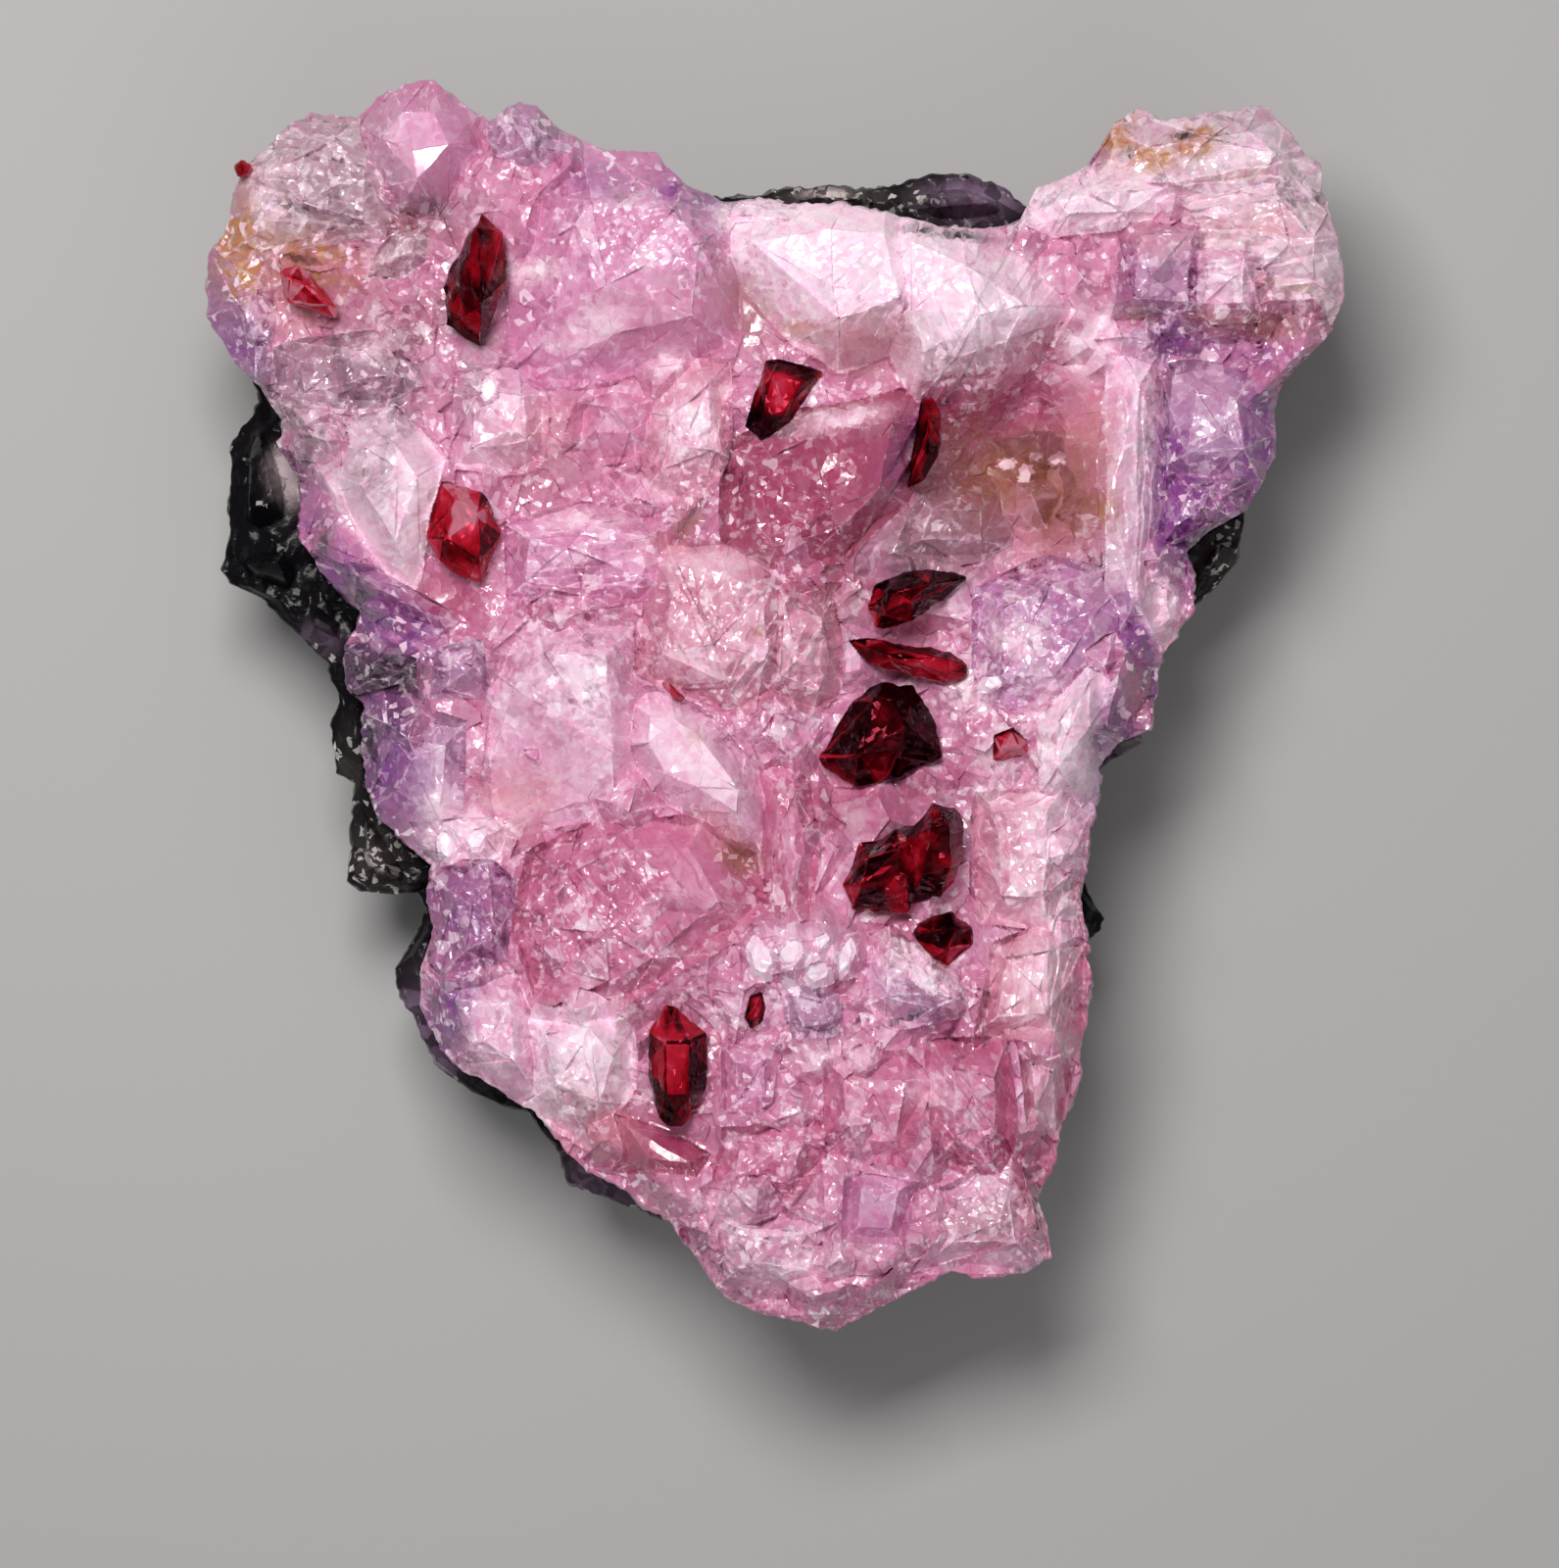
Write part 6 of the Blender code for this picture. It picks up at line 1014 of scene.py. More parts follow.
# small clear crystals that stand out: x, y, degrees, length, width, rise
standing = {
    "shard": [
        (-0.6, -13.2, 105, 2.2, 1.4, 0.8), (0.95, -12.9, 60, 1.7, 1.2, 0.7), (2.4, -13.9, 20, 1.6, 1.4, 0.8),
        (3.8, -13.2, 75, 2.0, 0.8, 0.7), (1.0, -14.7, 120, 1.8, 0.8, 0.5), (2.5, -12.3, 10, 1.0, 0.8, 0.5),
        (-17.2, -7.3, 100, 1.7, 1.0, 0.6), (-15.6, -7.0, 60, 1.4, 1.0, 0.5), (-14.9, 16.6, 80, 1.6, 0.9, 0.5),
        (11.6, 1.3, 20, 1.4, 0.9, 0.5), (7.9, -14.4, -40, 2.2, 0.8, 0.5), (5.0, -11.0, 30, 1.2, 0.8, 0.4),
    ],
    "bead": [
        (12.5, 13.0, 15, 1.2, 0.8, 0.45), (13.4, 12.3, 75, 1.3, 0.9, 0.45), (14.0, 13.5, 40, 0.8, 0.7, 0.4),
        (15.1, 13.3, 30, 1.0, 0.9, 0.4),
    ],
}

# growth lines: x, y, half length, half width, degrees of the zone; degrees, spacing and depth of the lines
crustStriae = [
    ((25.4, 28.6, 4.4, 3.0, 0), 8, 0.75, 0.16), ((26.0, 23.6, 4.0, 2.8, 0), 2, 1.1, 0.22),
    ((-10.0, 7.6, 4.6, 2.4, 0), 3, 0.6, 0.14), ((-24.4, 28.0, 4.0, 3.2, 0), -8, 1.0, 0.20),
    ((10.0, -22.8, 3.2, 3.4, 0), -48, 0.55, 0.14), ((9.6, 19.6, 3.2, 2.6, 0), -62, 0.9, 0.16),
    ((-1.4, 4.0, 3.0, 4.0, 0), 62, 0.8, 0.16), ((-4.6, 5.0, 2.0, 3.4, 0), 108, 0.8, 0.16),
    ((-7.5, -11.0, 5.0, 4.4, 0), -52, 0.8, 0.10), ((14.6, -14.0, 2.0, 7.0, 0), 80, 0.7, 0.12),
    ((-16.4, -12.0, 2.4, 6.0, 0), -70, 0.8, 0.14), ((19.3, 12.0, 1.4, 6.0, 0), 86, 0.6, 0.12),
    ((4.0, 21.6, 3.0, 2.4, 0), 30, 0.9, 0.12), ((-20.6, 12.0, 2.4, 3.4, 0), 40, 0.9, 0.12),
]


def striae(x, y):
    # uneven saw teeth along each zone's own direction
    total = np.zeros(x.shape)
    for (cx, cy, length, width, tilt), degrees, spacing, depth in crustStriae:
        near = np.hypot((x - cx) / length, (y - cy) / width) < 1.8
        if not near.any():
            continue
        px, py = x[near], y[near]
        share = zone(px, py, [(cx, cy, length, width, tilt, 1.0)])
        along, across = turned(px - cx, py - cy, degrees)
        line = across / spacing + 0.9 * layeredNoise(along * 0.25, across * 0.8, 51, 3)
        line = line + 0.6 * softNoise(along * 0.9, across * 2.0, 55)
        tooth = line - np.floor(line)
        total[near] += depth * share * (np.minimum(tooth / 0.75, (1.0 - tooth) / 0.25) - 0.5)
    return total


def crustColours(x, y, flat, steep, raised, owner, marks):
    # the crystal's own finish, shifted face by face towards the crests' pale or its own deep tint, with
    # painted light on high faces and painted shade in hollows, the steep faces deeper as painted shade, and
    # more so where it is grainy, then the zones over it, then painted highlights on edges and glinting chips
    names = [crystal[0] for crystal in crystalShapes] + ["between"]
    colour = np.array([finishes[name] for name in names])[owner]
    kept = np.array([name not in standing for name in names])[owner]
    by, mix = crustShift, crustMix
    calm = 1.0 - 0.7 * marks["smooth"]
    broken = (0.5 + 0.7 * marks["grain"]) * calm
    shift = by["crystalFace"] * calm * (marks["tone"] - 0.5) + by["all"]
    shift = shift + broken * (by["face"] * (marks["face"] - 0.5) + by["streak"] * marks["streak"])
    for name in ("chip", "fine"):
        part = by["chipPale"] * smoothStep(0.68, 0.92, marks[name])
        shift = shift + broken * (part - by["chipDeep"] * smoothStep(0.25, 0.08, marks[name]))
    shift = shift + by["small"] * (marks["small"] - 0.5) * marks["grain"]
    shift = shift + by["points"] * (marks["points"] - 0.3 * marks["grain"])
    # painted light on what stands high, painted shade in hollows, in the troughs of growth lines, in the lows
    # of the relief, in filled corners and on steep faces
    shift = shift + by["above"] * (marks["above"] - 1.0) + by["line"] * marks["line"]
    shift = shift + by["relief"] * (marks["relief"] - 0.35) + by["raised"] * raised + by["steep"] * steep
    shift = shift + by["cloud"] * layeredNoise(*(0.5 * flat), 61, 3)
    shift = shift + np.array([finishBias.get(name, 0.0) for name in names])[owner]
    pale, deep = np.array(finishes["crest"]), colour * np.array(finishes["deepening"])
    pale = colour + (pale - colour) * np.clip(0.30 + 2.2 * colour[:, 1:2], 0.35, 1.0)
    up, down = np.clip(shift, 0, 1)[:, None], np.clip(-shift, 0, 1)[:, None]
    colour = colour + (pale - colour) * up * mix["up"]
    colour = colour + (deep - colour) * down * mix["down"]
    colour = colour + (pale - colour) * mix["milk"]
    torn = 0.9 * layeredNoise(*(1.3 * flat), 71, 3) + (marks["chip"] - 0.5) * (1.0 - marks["smooth"])
    for name, ragged in zoneEdges.items():
        share = zone(x, y, crustZones[name])
        share = np.clip(share + 2.0 * ragged * share * torn, 0, 1)[:, None] * kept[:, None]
        colour = colour + (np.array(finishes[name]) - colour) * share
    # painted highlights: glints on chips in patches, pale lines along crystal edges, and a few white sparkles
    glint = (marks["chip"] > 0.3) * (0.3 + 0.7 * marks["patch"]) * (1.0 - marks["smooth"])
    ridge = marks["edge"] * (marks["chip"] > 0.2) * (1.0 - 0.6 * marks["smooth"])
    lift = np.clip(glint * (marks["fine"] > mix["glintAbove"]) + ridge, 0, 1)
    colour = colour + (pale - colour) * mix["lift"] * lift[:, None]
    spark = glint * (marks["fine"] > mix["sparkAbove"])
    colour = colour + (np.array(finishes["crest"]) - colour) * mix["spark"] * spark[:, None]
    return np.clip(colour, 0.002, 0.95)


def wallRows(x, y, z, at, rows, floorOf, insetTo, amount, seed):
    # rows down the wall, from the top's edge to the floor, bulging and broken by two nets of crystals
    out = np.arctan2(y - middle[1], x - middle[0])
    made = []
    low = floorOf(x, y)
    for row in range(1, rows + 1):
        share = row / rows
        height = z + (low - z) * share
        coarse, _ = druse(at, height, 2.6, seed, 0.9, 0.4)
        medium, _ = druse(at + 5.0, height, 1.0, seed + 1, 1.1, 0.5)
        bulge = amount * (0.5 * coarse + 0.5 * medium) * math.sin(math.pi * min(1.0, share * 1.02)) ** 0.5
        shift = -insetTo * share ** 1.5 + bulge - 0.25 * amount * math.sin(math.pi * share)
        px, py = x + shift * np.cos(out), y + shift * np.sin(out)
        made.append((px, py, z + (floorOf(px, py) - z) * share if row == rows else height))
    return made


def undersideRows(foot, floorOf):
    # smaller and smaller copies of the foot of the wall about the middle
    rows = []
    for kept in (0.97, 0.9, 0.75, 0.5, 0.25):
        x, y = (centre + kept * (edge - centre) for centre, edge in zip(middle, foot))
        rows.append((x, y, floorOf(x, y)))
    return rows


def paintCrust(crust):
    # each face takes its tint from its place on the surface. A face on a wall takes the fine patterns
    # found as far past the edge as it is deep, so that they don't run down the wall as stripes.
    px, py, pz = facesOf(crust).T
    base, owner, marks = crustSurface(px, py)
    # how far easing filled the foot of a wall, for the painted shade in corners between crystals
    raised = np.clip(pz - base - marks["relief"] - 0.05, 0.0, 1.0)
    # how steep each face is, for the painted shade on steep faces
    steep = smoothStep(0.92, 0.55, facing(crust)[:, 2])
    depth = base + marks["relief"] - pz
    flat = np.array(laidFlat(px, py, np.maximum(depth, 0.0)))
    wall = crustSurface(*flat)[2]
    for name in ("face", "chip", "fine", "small", "streak", "patch"):
        marks[name] = np.where(depth > crustShape["wallDepth"], wall[name], marks[name])
    flat = np.where(depth > crustShape["wallDepth"], flat, np.array([px, py]))
    paint(crust, "tint", crustColours(px, py, flat, steep, raised, owner, marks))
    broken = smoothStep(-0.25, 0.35, layeredNoise(px * 0.30, py * 0.30, 62, 4))
    grade(crust, "rough", (1.0 - marks["smooth"]) * (0.25 + 0.75 * broken))


def makeCrust():
    # the surface, walls down to a level just over the seam, and an underside that closes on one point
    report("working out the crust")
    x, y, at = blockGrid(crustOutline, crustShape["samples"], crustShape["ragged"], 5)
    base, _, marks = crustSurface(x, y)
    z = eased(x, y, base, crustShape["slope"], crustShape["slopePasses"]) + marks["relief"]
    z = cutSockets(x, y, z)
    underside = lambda px, py: seamHeight(px, py) + crustShape["gap"]
    edge = [border(part) for part in (x, y, z, at)]
    rows = wallRows(*edge, crustShape["wallRows"], underside, crustShape["footInset"],
                    crustShape["bulge"], 81)
    rows += undersideRows(rows[-1], underside)
    closing = (middle[0], middle[1], float(underside(*middle)))
    mesh = blockMesh("calciteCrust", (x, y, z), rows, closing)
    report("thinning the crust")
    crust = thinned("calciteCrust", mesh, crustShape["triangles"], crustShape["sharpDegrees"])
    paintCrust(crust)
    return crust


# outline of the rock: it shows past the crust at the left, along the top middle and in small bits
rockOutline = [
    (-28.2, 20.4), (-28.4, 23.6), (-27.2, 26.6), (-25.4, 29.2), (-23.0, 30.0), (-20.6, 31.0),
    (-18.0, 31.3), (-15.6, 29.8), (-12.4, 30.0), (-9.2, 28.6), (-6.0, 27.9), (-4.5, 27.6),
    (-3.3, 27.2), (-1.0, 27.2), (1.3, 27.8), (5.7, 27.8), (8.4, 28.5), (10.0, 28.4), (12.3, 27.8),
    (13.8, 26.6), (15.6, 26.8), (18.2, 28.6), (20.4, 29.4), (24.6, 30.2), (27.2, 28.0), (28.2, 24.6),
    (28.6, 21.6), (26.8, 19.6), (25.2, 16.4), (24.8, 13.0), (25.2, 10.6), (24.8, 8.0), (23.7, 6.5),
    (22.1, 5.2), (20.6, 4.2), (19.4, 2.0), (19.2, 0.0), (19.6, -1.8), (18.0, -2.7), (16.4, -3.9),
    (15.6, -6.5), (16.4, -8.6), (16.9, -9.9), (17.6, -11.1), (17.3, -11.9), (15.9, -12.6),
    (16.0, -16.0), (15.2, -20.0), (13.8, -24.4), (13.0, -27.6), (10.0, -28.6), (6.4, -29.4),
    (3.0, -31.0), (-0.6, -30.6), (-2.8, -29.0), (-4.6, -27.6), (-7.9, -26.6), (-10.0, -25.7),
    (-11.0, -25.2), (-11.6, -23.2), (-13.0, -21.6), (-16.0, -20.4), (-17.8, -19.1), (-19.6, -16.0),
    (-20.1, -13.8), (-19.2, -12.4), (-18.4, -10.6), (-19.0, -9.8), (-20.3, -9.9), (-21.8, -9.7),
    (-22.6, -9.1), (-22.4, -5.9), (-22.4, -4.0), (-23.3, -3.4), (-23.6, -0.9), (-23.1, 0.3),
    (-23.8, 2.5), (-25.5, 4.0), (-27.4, 5.9), (-29.0, 6.7), (-29.5, 7.4), (-29.0, 9.0),
    (-28.9, 12.0), (-29.1, 13.8), (-28.5, 15.0), (-27.3, 16.3), (-28.0, 17.8),
]

# angular lumps: a root as x, y and a crest as x, y, rise above the seam
rockLumps = {
    "left lump north": (
        [(-28.5, 9.6), (-28.4, 14.4), (-27.7, 15.7), (-27.0, 14.6), (-26.8, 13.2), (-25.9, 11.6),
         (-25.9, 9.6), (-27.0, 8.8)],
        [(-27.9, 10.6, 2.0), (-27.8, 13.2, 2.6), (-27.2, 13.6, 2.2), (-26.6, 11.0, 1.6)]),
    "left lump middle": (
        [(-28.9, 7.4), (-28.5, 8.8), (-26.0, 8.8), (-25.1, 7.2), (-26.2, 5.7), (-27.6, 6.3)],
        [(-28.0, 7.6, 1.2), (-26.4, 7.8, 1.8), (-26.0, 6.8, 1.1)]),
    "left lump lower": (
        [(-25.2, 4.4), (-24.4, 6.0), (-22.9, 4.9), (-23.2, 3.2), (-24.4, 3.6)],
        [(-24.3, 4.8, 1.5), (-23.6, 4.3, 1.3)]),
    "left lump south": (
        [(-22.2, -4.6), (-22.3, -8.9), (-20.4, -9.6), (-19.3, -9.5), (-19.4, -8.6), (-21.4, -6.5)],
        [(-21.8, -6.2, 1.2), (-21.4, -8.4, 2.1), (-20.4, -8.9, 1.6)]),
    "top lens": (
        [(7.0, 26.8), (8.6, 28.1), (10.2, 28.1), (12.4, 27.3), (12.6, 26.5), (11.0, 26.0), (8.6, 26.1)],
        [(8.8, 27.3, 2.1), (10.6, 27.3, 2.6), (11.6, 26.9, 2.2), (9.0, 26.7, 2.4)]),
    "top band": (
        [(0.6, 27.3), (2.0, 27.6), (5.4, 27.5), (6.0, 26.9), (4.0, 26.8), (1.6, 27.0)],
        [(2.0, 27.3, 1.6), (4.8, 27.2, 2.0)]),
    "right patch": (
        [(23.2, 6.8), (24.4, 8.2), (24.7, 9.2), (23.7, 8.8), (22.8, 7.9)],
        [(23.8, 8.3, 1.3), (23.4, 7.6, 1.0)]),
}

rockShape = {
    "samples": 561,
    "triangles": 120000,
    "sharpDegrees": 24,
    "ragged": 0.3,
    "lumpRoot": 1.6,            # lumps start this far below the seam
    "blockStep": 1.5,
    "blockHeight": 0.5,
    "grainStep": 0.5,
    "grainHeight": 0.35,
    "shoulder": 0.7,            # the edge stands this far below the seam
    "footInset": 4.4,           # the wall's foot stands in by this much
    "bulge": 1.0,               # how far the blocks on the wall stand out
    "wallRows": 60,
}

# ellipses of the rock's surface: x, y, half length, half width, degrees, strength
rockZones = {
    "glossy": [
        (-27.6, 12.0, 2.2, 4.4, 0, 1.0), (-27.6, 7.4, 2.6, 2.2, 0, 1.0), (-24.6, 4.6, 2.4, 1.6, -40, 1.0),
        (-23.0, 0.0, 1.4, 4.0, 0, 0.8), (17.0, -10.8, 1.2, 1.6, 0, 0.8),
    ],
    "grey": [
        (-21.2, -8.0, 1.8, 2.2, 0, 0.9), (24.0, 8.4, 1.6, 1.8, 0, 0.9), (3.2, 27.2, 3.6, 0.9, 0, 0.9),
        (-22.6, -3.0, 1.0, 2.4, 0, 0.5), (8.0, 27.4, 1.6, 0.8, 0, 0.5),
    ],
    "violet": [
        (10.6, 27.2, 2.4, 1.2, 0, 0.9), (-24.6, 3.6, 1.4, 1.0, 0, 0.35), (-18.6, -17.6, 2.0, 3.2, 0, 0.7),
        (-9.0, -25.8, 3.6, 1.4, -20, 0.6), (18.0, -2.2, 1.6, 1.0, 0, 0.5),
    ],
    "pale": [
        (-26.0, 12.4, 0.9, 1.4, 15, 1.0), (19.3, -0.8, 0.9, 1.6, 0, 0.9), (3.0, 27.6, 1.4, 0.4, 0, 0.6),
    ],
}

rockTints = {
    "base": (0.006, 0.005, 0.006),
    "glossy": (0.004, 0.0035, 0.005),
    "grey": (0.050, 0.042, 0.042),
    "violet": (0.220, 0.140, 0.220),
    "pale": (0.620, 0.500, 0.520),
    "speck": (0.550, 0.500, 0.480),
}


def rockSurface(x, y):
    # the seam under the crust; past the crust's edge, lumps, small blocks and grains on it
    shape = rockShape
    height = seamHeight(x, y)
    bare = smoothStep(0.0, 0.5, -depthInside(crustOutline, x, y))
    for planes, low, high in lumpShapes:
        near = (x > low[0]) & (x < high[0]) & (y > low[1]) & (y < high[1])
        if near.any():
            height[near] = np.maximum(height[near], upperSide(planes, x[near], y[near])[0])
    edge = depthInside(rockOutline, x, y)
    block, blockOwner = druse(x, y, shape["blockStep"], 91, 0.8, 0.35)
    grain, grainOwner = druse(x, y, shape["grainStep"], 92, 1.0, 0.5)
    glossy = zone(x, y, rockZones["glossy"])
    flow = layeredNoise(x * 0.9, y * 0.45, 93, 3)
    height = height - shape["shoulder"] * (1.0 - smoothStep(0.0, 1.2, edge))
    height = height + bare * (shape["blockHeight"] * block + 0.8 * glossy * flow)
    height = height + bare * shape["grainHeight"] * (1.0 - 0.8 * glossy) * grain
    return height, blockOwner, grainOwner


def rockColours(x, y, blockOwner, grainOwner):
    # near black, greyer and violet in places, with pale specks of single grains
    colour = np.tile(np.array(rockTints["base"]), (len(x), 1))
    for name in ("glossy", "grey", "violet", "pale"):
        share = zone(x, y, rockZones[name]) * (0.7 + 1.2 * (blockOwner - 0.4))
        colour = colour + (np.array(rockTints[name]) - colour) * np.clip(share, 0, 1)[:, None]
    grey = np.clip(zone(x, y, rockZones["grey"]) + 0.03, 0, 1)
    speck = (grainOwner > 1.0 - 0.22 * grey)[:, None]
    colour = np.where(speck, np.array(rockTints["speck"]) * (0.4 + 0.6 * blockOwner[:, None]), colour)
    return np.clip(colour, 0.002, 0.9)


def makeRock():
    # the surface, walls drawn in down to the floor, and a flat underside that closes on one point
    report("working out the rock")
    x, y, at = blockGrid(rockOutline, rockShape["samples"], rockShape["ragged"], 6)
    z, _, _ = rockSurface(x, y)
    edge = [border(part) for part in (x, y, z, at)]
    underside = lambda px, py: 0.0 * px
    rows = wallRows(*edge, rockShape["wallRows"], underside, rockShape["footInset"], rockShape["bulge"], 95)
    rows += undersideRows(rows[-1], underside)
    mesh = blockMesh("hostRock", (x, y, z), rows, (middle[0], middle[1], 0.0))
    report("thinning the rock")
    rock = thinned("hostRock", mesh, rockShape["triangles"], rockShape["sharpDegrees"])
    px, py, pz = facesOf(rock).T
    depth = np.maximum(rockSurface(px, py)[0] - pz, 0.0)    # the blocks and grains go on down the walls
    _, blockOwner, grainOwner = rockSurface(*laidFlat(px, py, depth))
    paint(rock, "tint", rockColours(px, py, blockOwner, grainOwner))
    return rock


redShape = {
    "chamfer": 0.09,            # narrow second faces along the edges
    "narrow": 0.07,             # faces narrower than this count as edges
    "cell": 0.20,               # length of the finest edges
    "along": (0.25, 0.95, 0.20),    # the steps and broken faces are laid out along and across these
    "across": (0.90, -0.20, 0.40),
    "step": 0.06,               # height of the growth steps
    "stepWidth": 0.5,
    "stepLength": 1.4,          # their length for their width
    "faceStep": 1.0,            # size of the broken faces
    "faceHeight": 0.36,
    "inset": 0.17,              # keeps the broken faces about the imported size
    "spacing": 0.85,            # distance between ledges
    "faceTone": 0.26,           # how much the faces differ in tone
    "edgeTone": 0.12,           # how much brighter the edges are, a painted highlight
    "litSide": (-0.34, 0.40, 0.85),     # the painted highlights on the ledges lie on faces that look this way, towards the light
    "litFrom": 0.90,            # how nearly
    "gleam": 6.0,               # how pale the painted highlight on the ledges is, for each millimetre of their height
    "gleamLedge": 0.03,         # past this height
    "gleamFrom": 0.82,          # where on the saw tooth the painted highlight line starts
    "weld": 0.001,              # points nearer than this are one
    "flat": 0.02,               # faces that meet at less than this, in radians, are one
    "cuts": 6,
    "mostFaces": 40000,
}

# each red crystal: brightness, direction and amount of the painted glow of light through it, direction and
# height of its ledges
redTones = {
    "roselite_kite": (0.44, 25, 0.70, 65, 0.02), "roselite_lath": (0.88, 160, 0.15, 55, 0.05),
    "roselite_wedge": (0.78, 140, 0.40, 30, 0.06), "roselite_slab": (0.40, 45, 0.32, 60, 0.02),
    "roselite_crescent": (0.42, 70, 0.40, 80, 0.02), "roselite_column_top": (0.36, -100, 0.90, 15, 0.04),
    "roselite_column_bar": (0.58, -90, 0.70, 0, 0.04), "roselite_column_foot": (0.34, -130, 0.60, 50, 0.02),
    "roselite_pair": (0.50, -60, 0.30, 118, 0.09), "roselite_under_pair": (0.50, -80, 0.45, 20, 0.04),
    "roselite_barrel": (0.50, 90, 0.20, 85, 0.04), "roselite_chip": (0.55, 0, 0.10, 0, 0.02),
    "roselite_bud": (0.98, 90, 0.15, 30, 0.04), "roselite_speck": (0.70, 0, 0.10, 0, 0.02),
    "roselite_sliver": (0.84, 0, 0.10, 30, 0.02),
}


def ledgeTooth(co, degrees):
    # saw teeth from 0 to 1 along a direction, with a soft wobble
    line = turned(co[:, 0], co[:, 1], degrees)[0] / redShape["spacing"]
    wobble = softNoise(co @ np.array(redShape["along"]), co @ np.array(redShape["across"]), 103)
    line = line + 0.5 * wobble
    return line - np.floor(line)


def closeFlaps(mesh):
    # points at one place are joined, faces that share all their corners are taken out in pairs, and the
    # small holes that are left are filled
    bmesh.ops.remove_doubles(mesh, verts=mesh.verts, dist=redShape["weld"])
    twins = {}
    for face in mesh.faces:
        twins.setdefault(frozenset(face.verts), []).append(face)
    folded = [face for group in twins.values() for face in group[len(group) % 2:]]
    bmesh.ops.delete(mesh, geom=folded, context="FACES")
    bmesh.ops.holes_fill(mesh, edges=[edge for edge in mesh.edges if edge.is_boundary], sides=4)


def chamferedRed(node):
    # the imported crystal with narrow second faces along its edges, cut into small triangles. Each
    # triangle remembers the face that it belongs to, or -1 on the narrow ones.
    mesh = bmesh.new()
    mesh.from_mesh(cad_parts[node].data)
    bmesh.ops.scale(mesh, vec=(1.0 / toMetres,) * 3, verts=mesh.verts)
    bmesh.ops.remove_doubles(mesh, verts=mesh.verts, dist=redShape["weld"])
    bmesh.ops.dissolve_limit(mesh, angle_limit=redShape["flat"], verts=mesh.verts, edges=mesh.edges)
    bmesh.ops.bevel(mesh, geom=mesh.edges[:], offset=redShape["chamfer"], segments=1, affect="EDGES",
                    clamp_overlap=True)
    kind = mesh.faces.layers.int.new("kind")
    for face in mesh.faces:
        face[kind] = -1 if face.calc_area() < redShape["narrow"] * face.calc_perimeter() else face.index
    bmesh.ops.triangulate(mesh, faces=mesh.faces[:])
    for _ in range(redShape["cuts"]):
        long = [edge for edge in mesh.edges if edge.calc_length() > 2.0 * redShape["cell"]]
        if not long or len(mesh.faces) > redShape["mostFaces"]:
            break
        bmesh.ops.subdivide_edges(mesh, edges=long, cuts=1, use_grid_fill=False)
        bmesh.ops.triangulate(mesh, faces=mesh.faces[:])
    closeFlaps(mesh)
    data = bpy.data.meshes.new(camel(node))
    mesh.to_mesh(data)
    mesh.free()
    return data


def breakRed(data, ledgeTurn, ledge):
    # moves each point along its normal by broken faces, growth steps and ledges
    co = np.empty(3 * len(data.vertices))
    data.vertices.foreach_get("co", co)
    normal = np.empty(3 * len(data.vertices))
    data.vertices.foreach_get("normal", normal)
    co, normal = co.reshape(-1, 3), normal.reshape(-1, 3)
    along, across = co @ np.array(redShape["along"]), co @ np.array(redShape["across"])
    width, height, length = redShape["stepWidth"], redShape["step"], redShape["stepLength"]
    steps = cleavage(across, along, width, 101, 0.02, height, length)
    broken = druse(along, across, redShape["faceStep"], 102, 1.0, 0.45)[0]
    shift = steps + redShape["faceHeight"] * broken - redShape["inset"]
    shift = shift + ledge * (ledgeTooth(co, ledgeTurn) - 0.5)
    co = co + normal * shift[:, None]
    data.vertices.foreach_set("co", (co * toMetres).astype(np.float32).ravel())
    data.update()
    data.shade_flat()


def makeRed(node):
    # each face of the crystal has its own tone, brighter along its edges as a painted highlight and towards
    # the crystal's bright side as a painted glow of light through it, with painted highlights as pale lines
    # on the ledges that catch the light
    tone, paintedGlowSide, paintedGlow, ledgeTurn, ledge = redTones[node]
    data = chamferedRed(node)
    breakRed(data, ledgeTurn, ledge)
    piece = bpy.data.objects.new(camel(node), data)
    bpy.context.scene.collection.objects.link(piece)
    kinds = np.empty(len(data.polygons), dtype=np.int32)
    data.attributes["kind"].data.foreach_get("value", kinds)
    data.attributes.remove(data.attributes["kind"])
    place = facesOf(piece)
    half = 0.5 * max(np.ptp(place[:, 0]), np.ptp(place[:, 1]))
    # painted glow: brighter towards the side where light comes through
    side = turned(*(place[:, :2] - place[:, :2].mean(axis=0)).T, paintedGlowSide)[0] / half
    tone = tone + 0.5 * paintedGlow * side + redShape["faceTone"] * (2.0 * (0.618 * kinds % 1.0) - 1.0)
    # painted highlight on the narrow edge faces
    tone = np.where(kinds < 0, tone + redShape["edgeTone"], tone)
    # painted highlights on the ledges of faces that look towards the light
    lit = facing(piece) @ np.array(redShape["litSide"]) > redShape["litFrom"]
    lit = lit * (softNoise(place[:, 0] * 0.9, place[:, 1] * 0.9, 104) > -0.05)
    gleam = redShape["gleam"] * max(ledge - redShape["gleamLedge"], 0.0)
    tone = tone + gleam * (ledgeTooth(place, ledgeTurn) > redShape["gleamFrom"]) * lit
    grade(piece, "tone", tone)
    return piece


def camel(name):
    # a node's name as one word, with a capital where each new word starts
    first, *others = name.split("_")
    return first + "".join(word.capitalize() for word in others)


def newFinish(name, **values):
    # a Principled shader with plain values on its own sockets
    finish = bpy.data.materials.new(name)
    finish.use_nodes = True
    shader = finish.node_tree.nodes["Principled BSDF"]
    for socket, value in values.items():
        shader.inputs[socket.replace("_", " ")].default_value = value
    return finish, finish.node_tree, shader


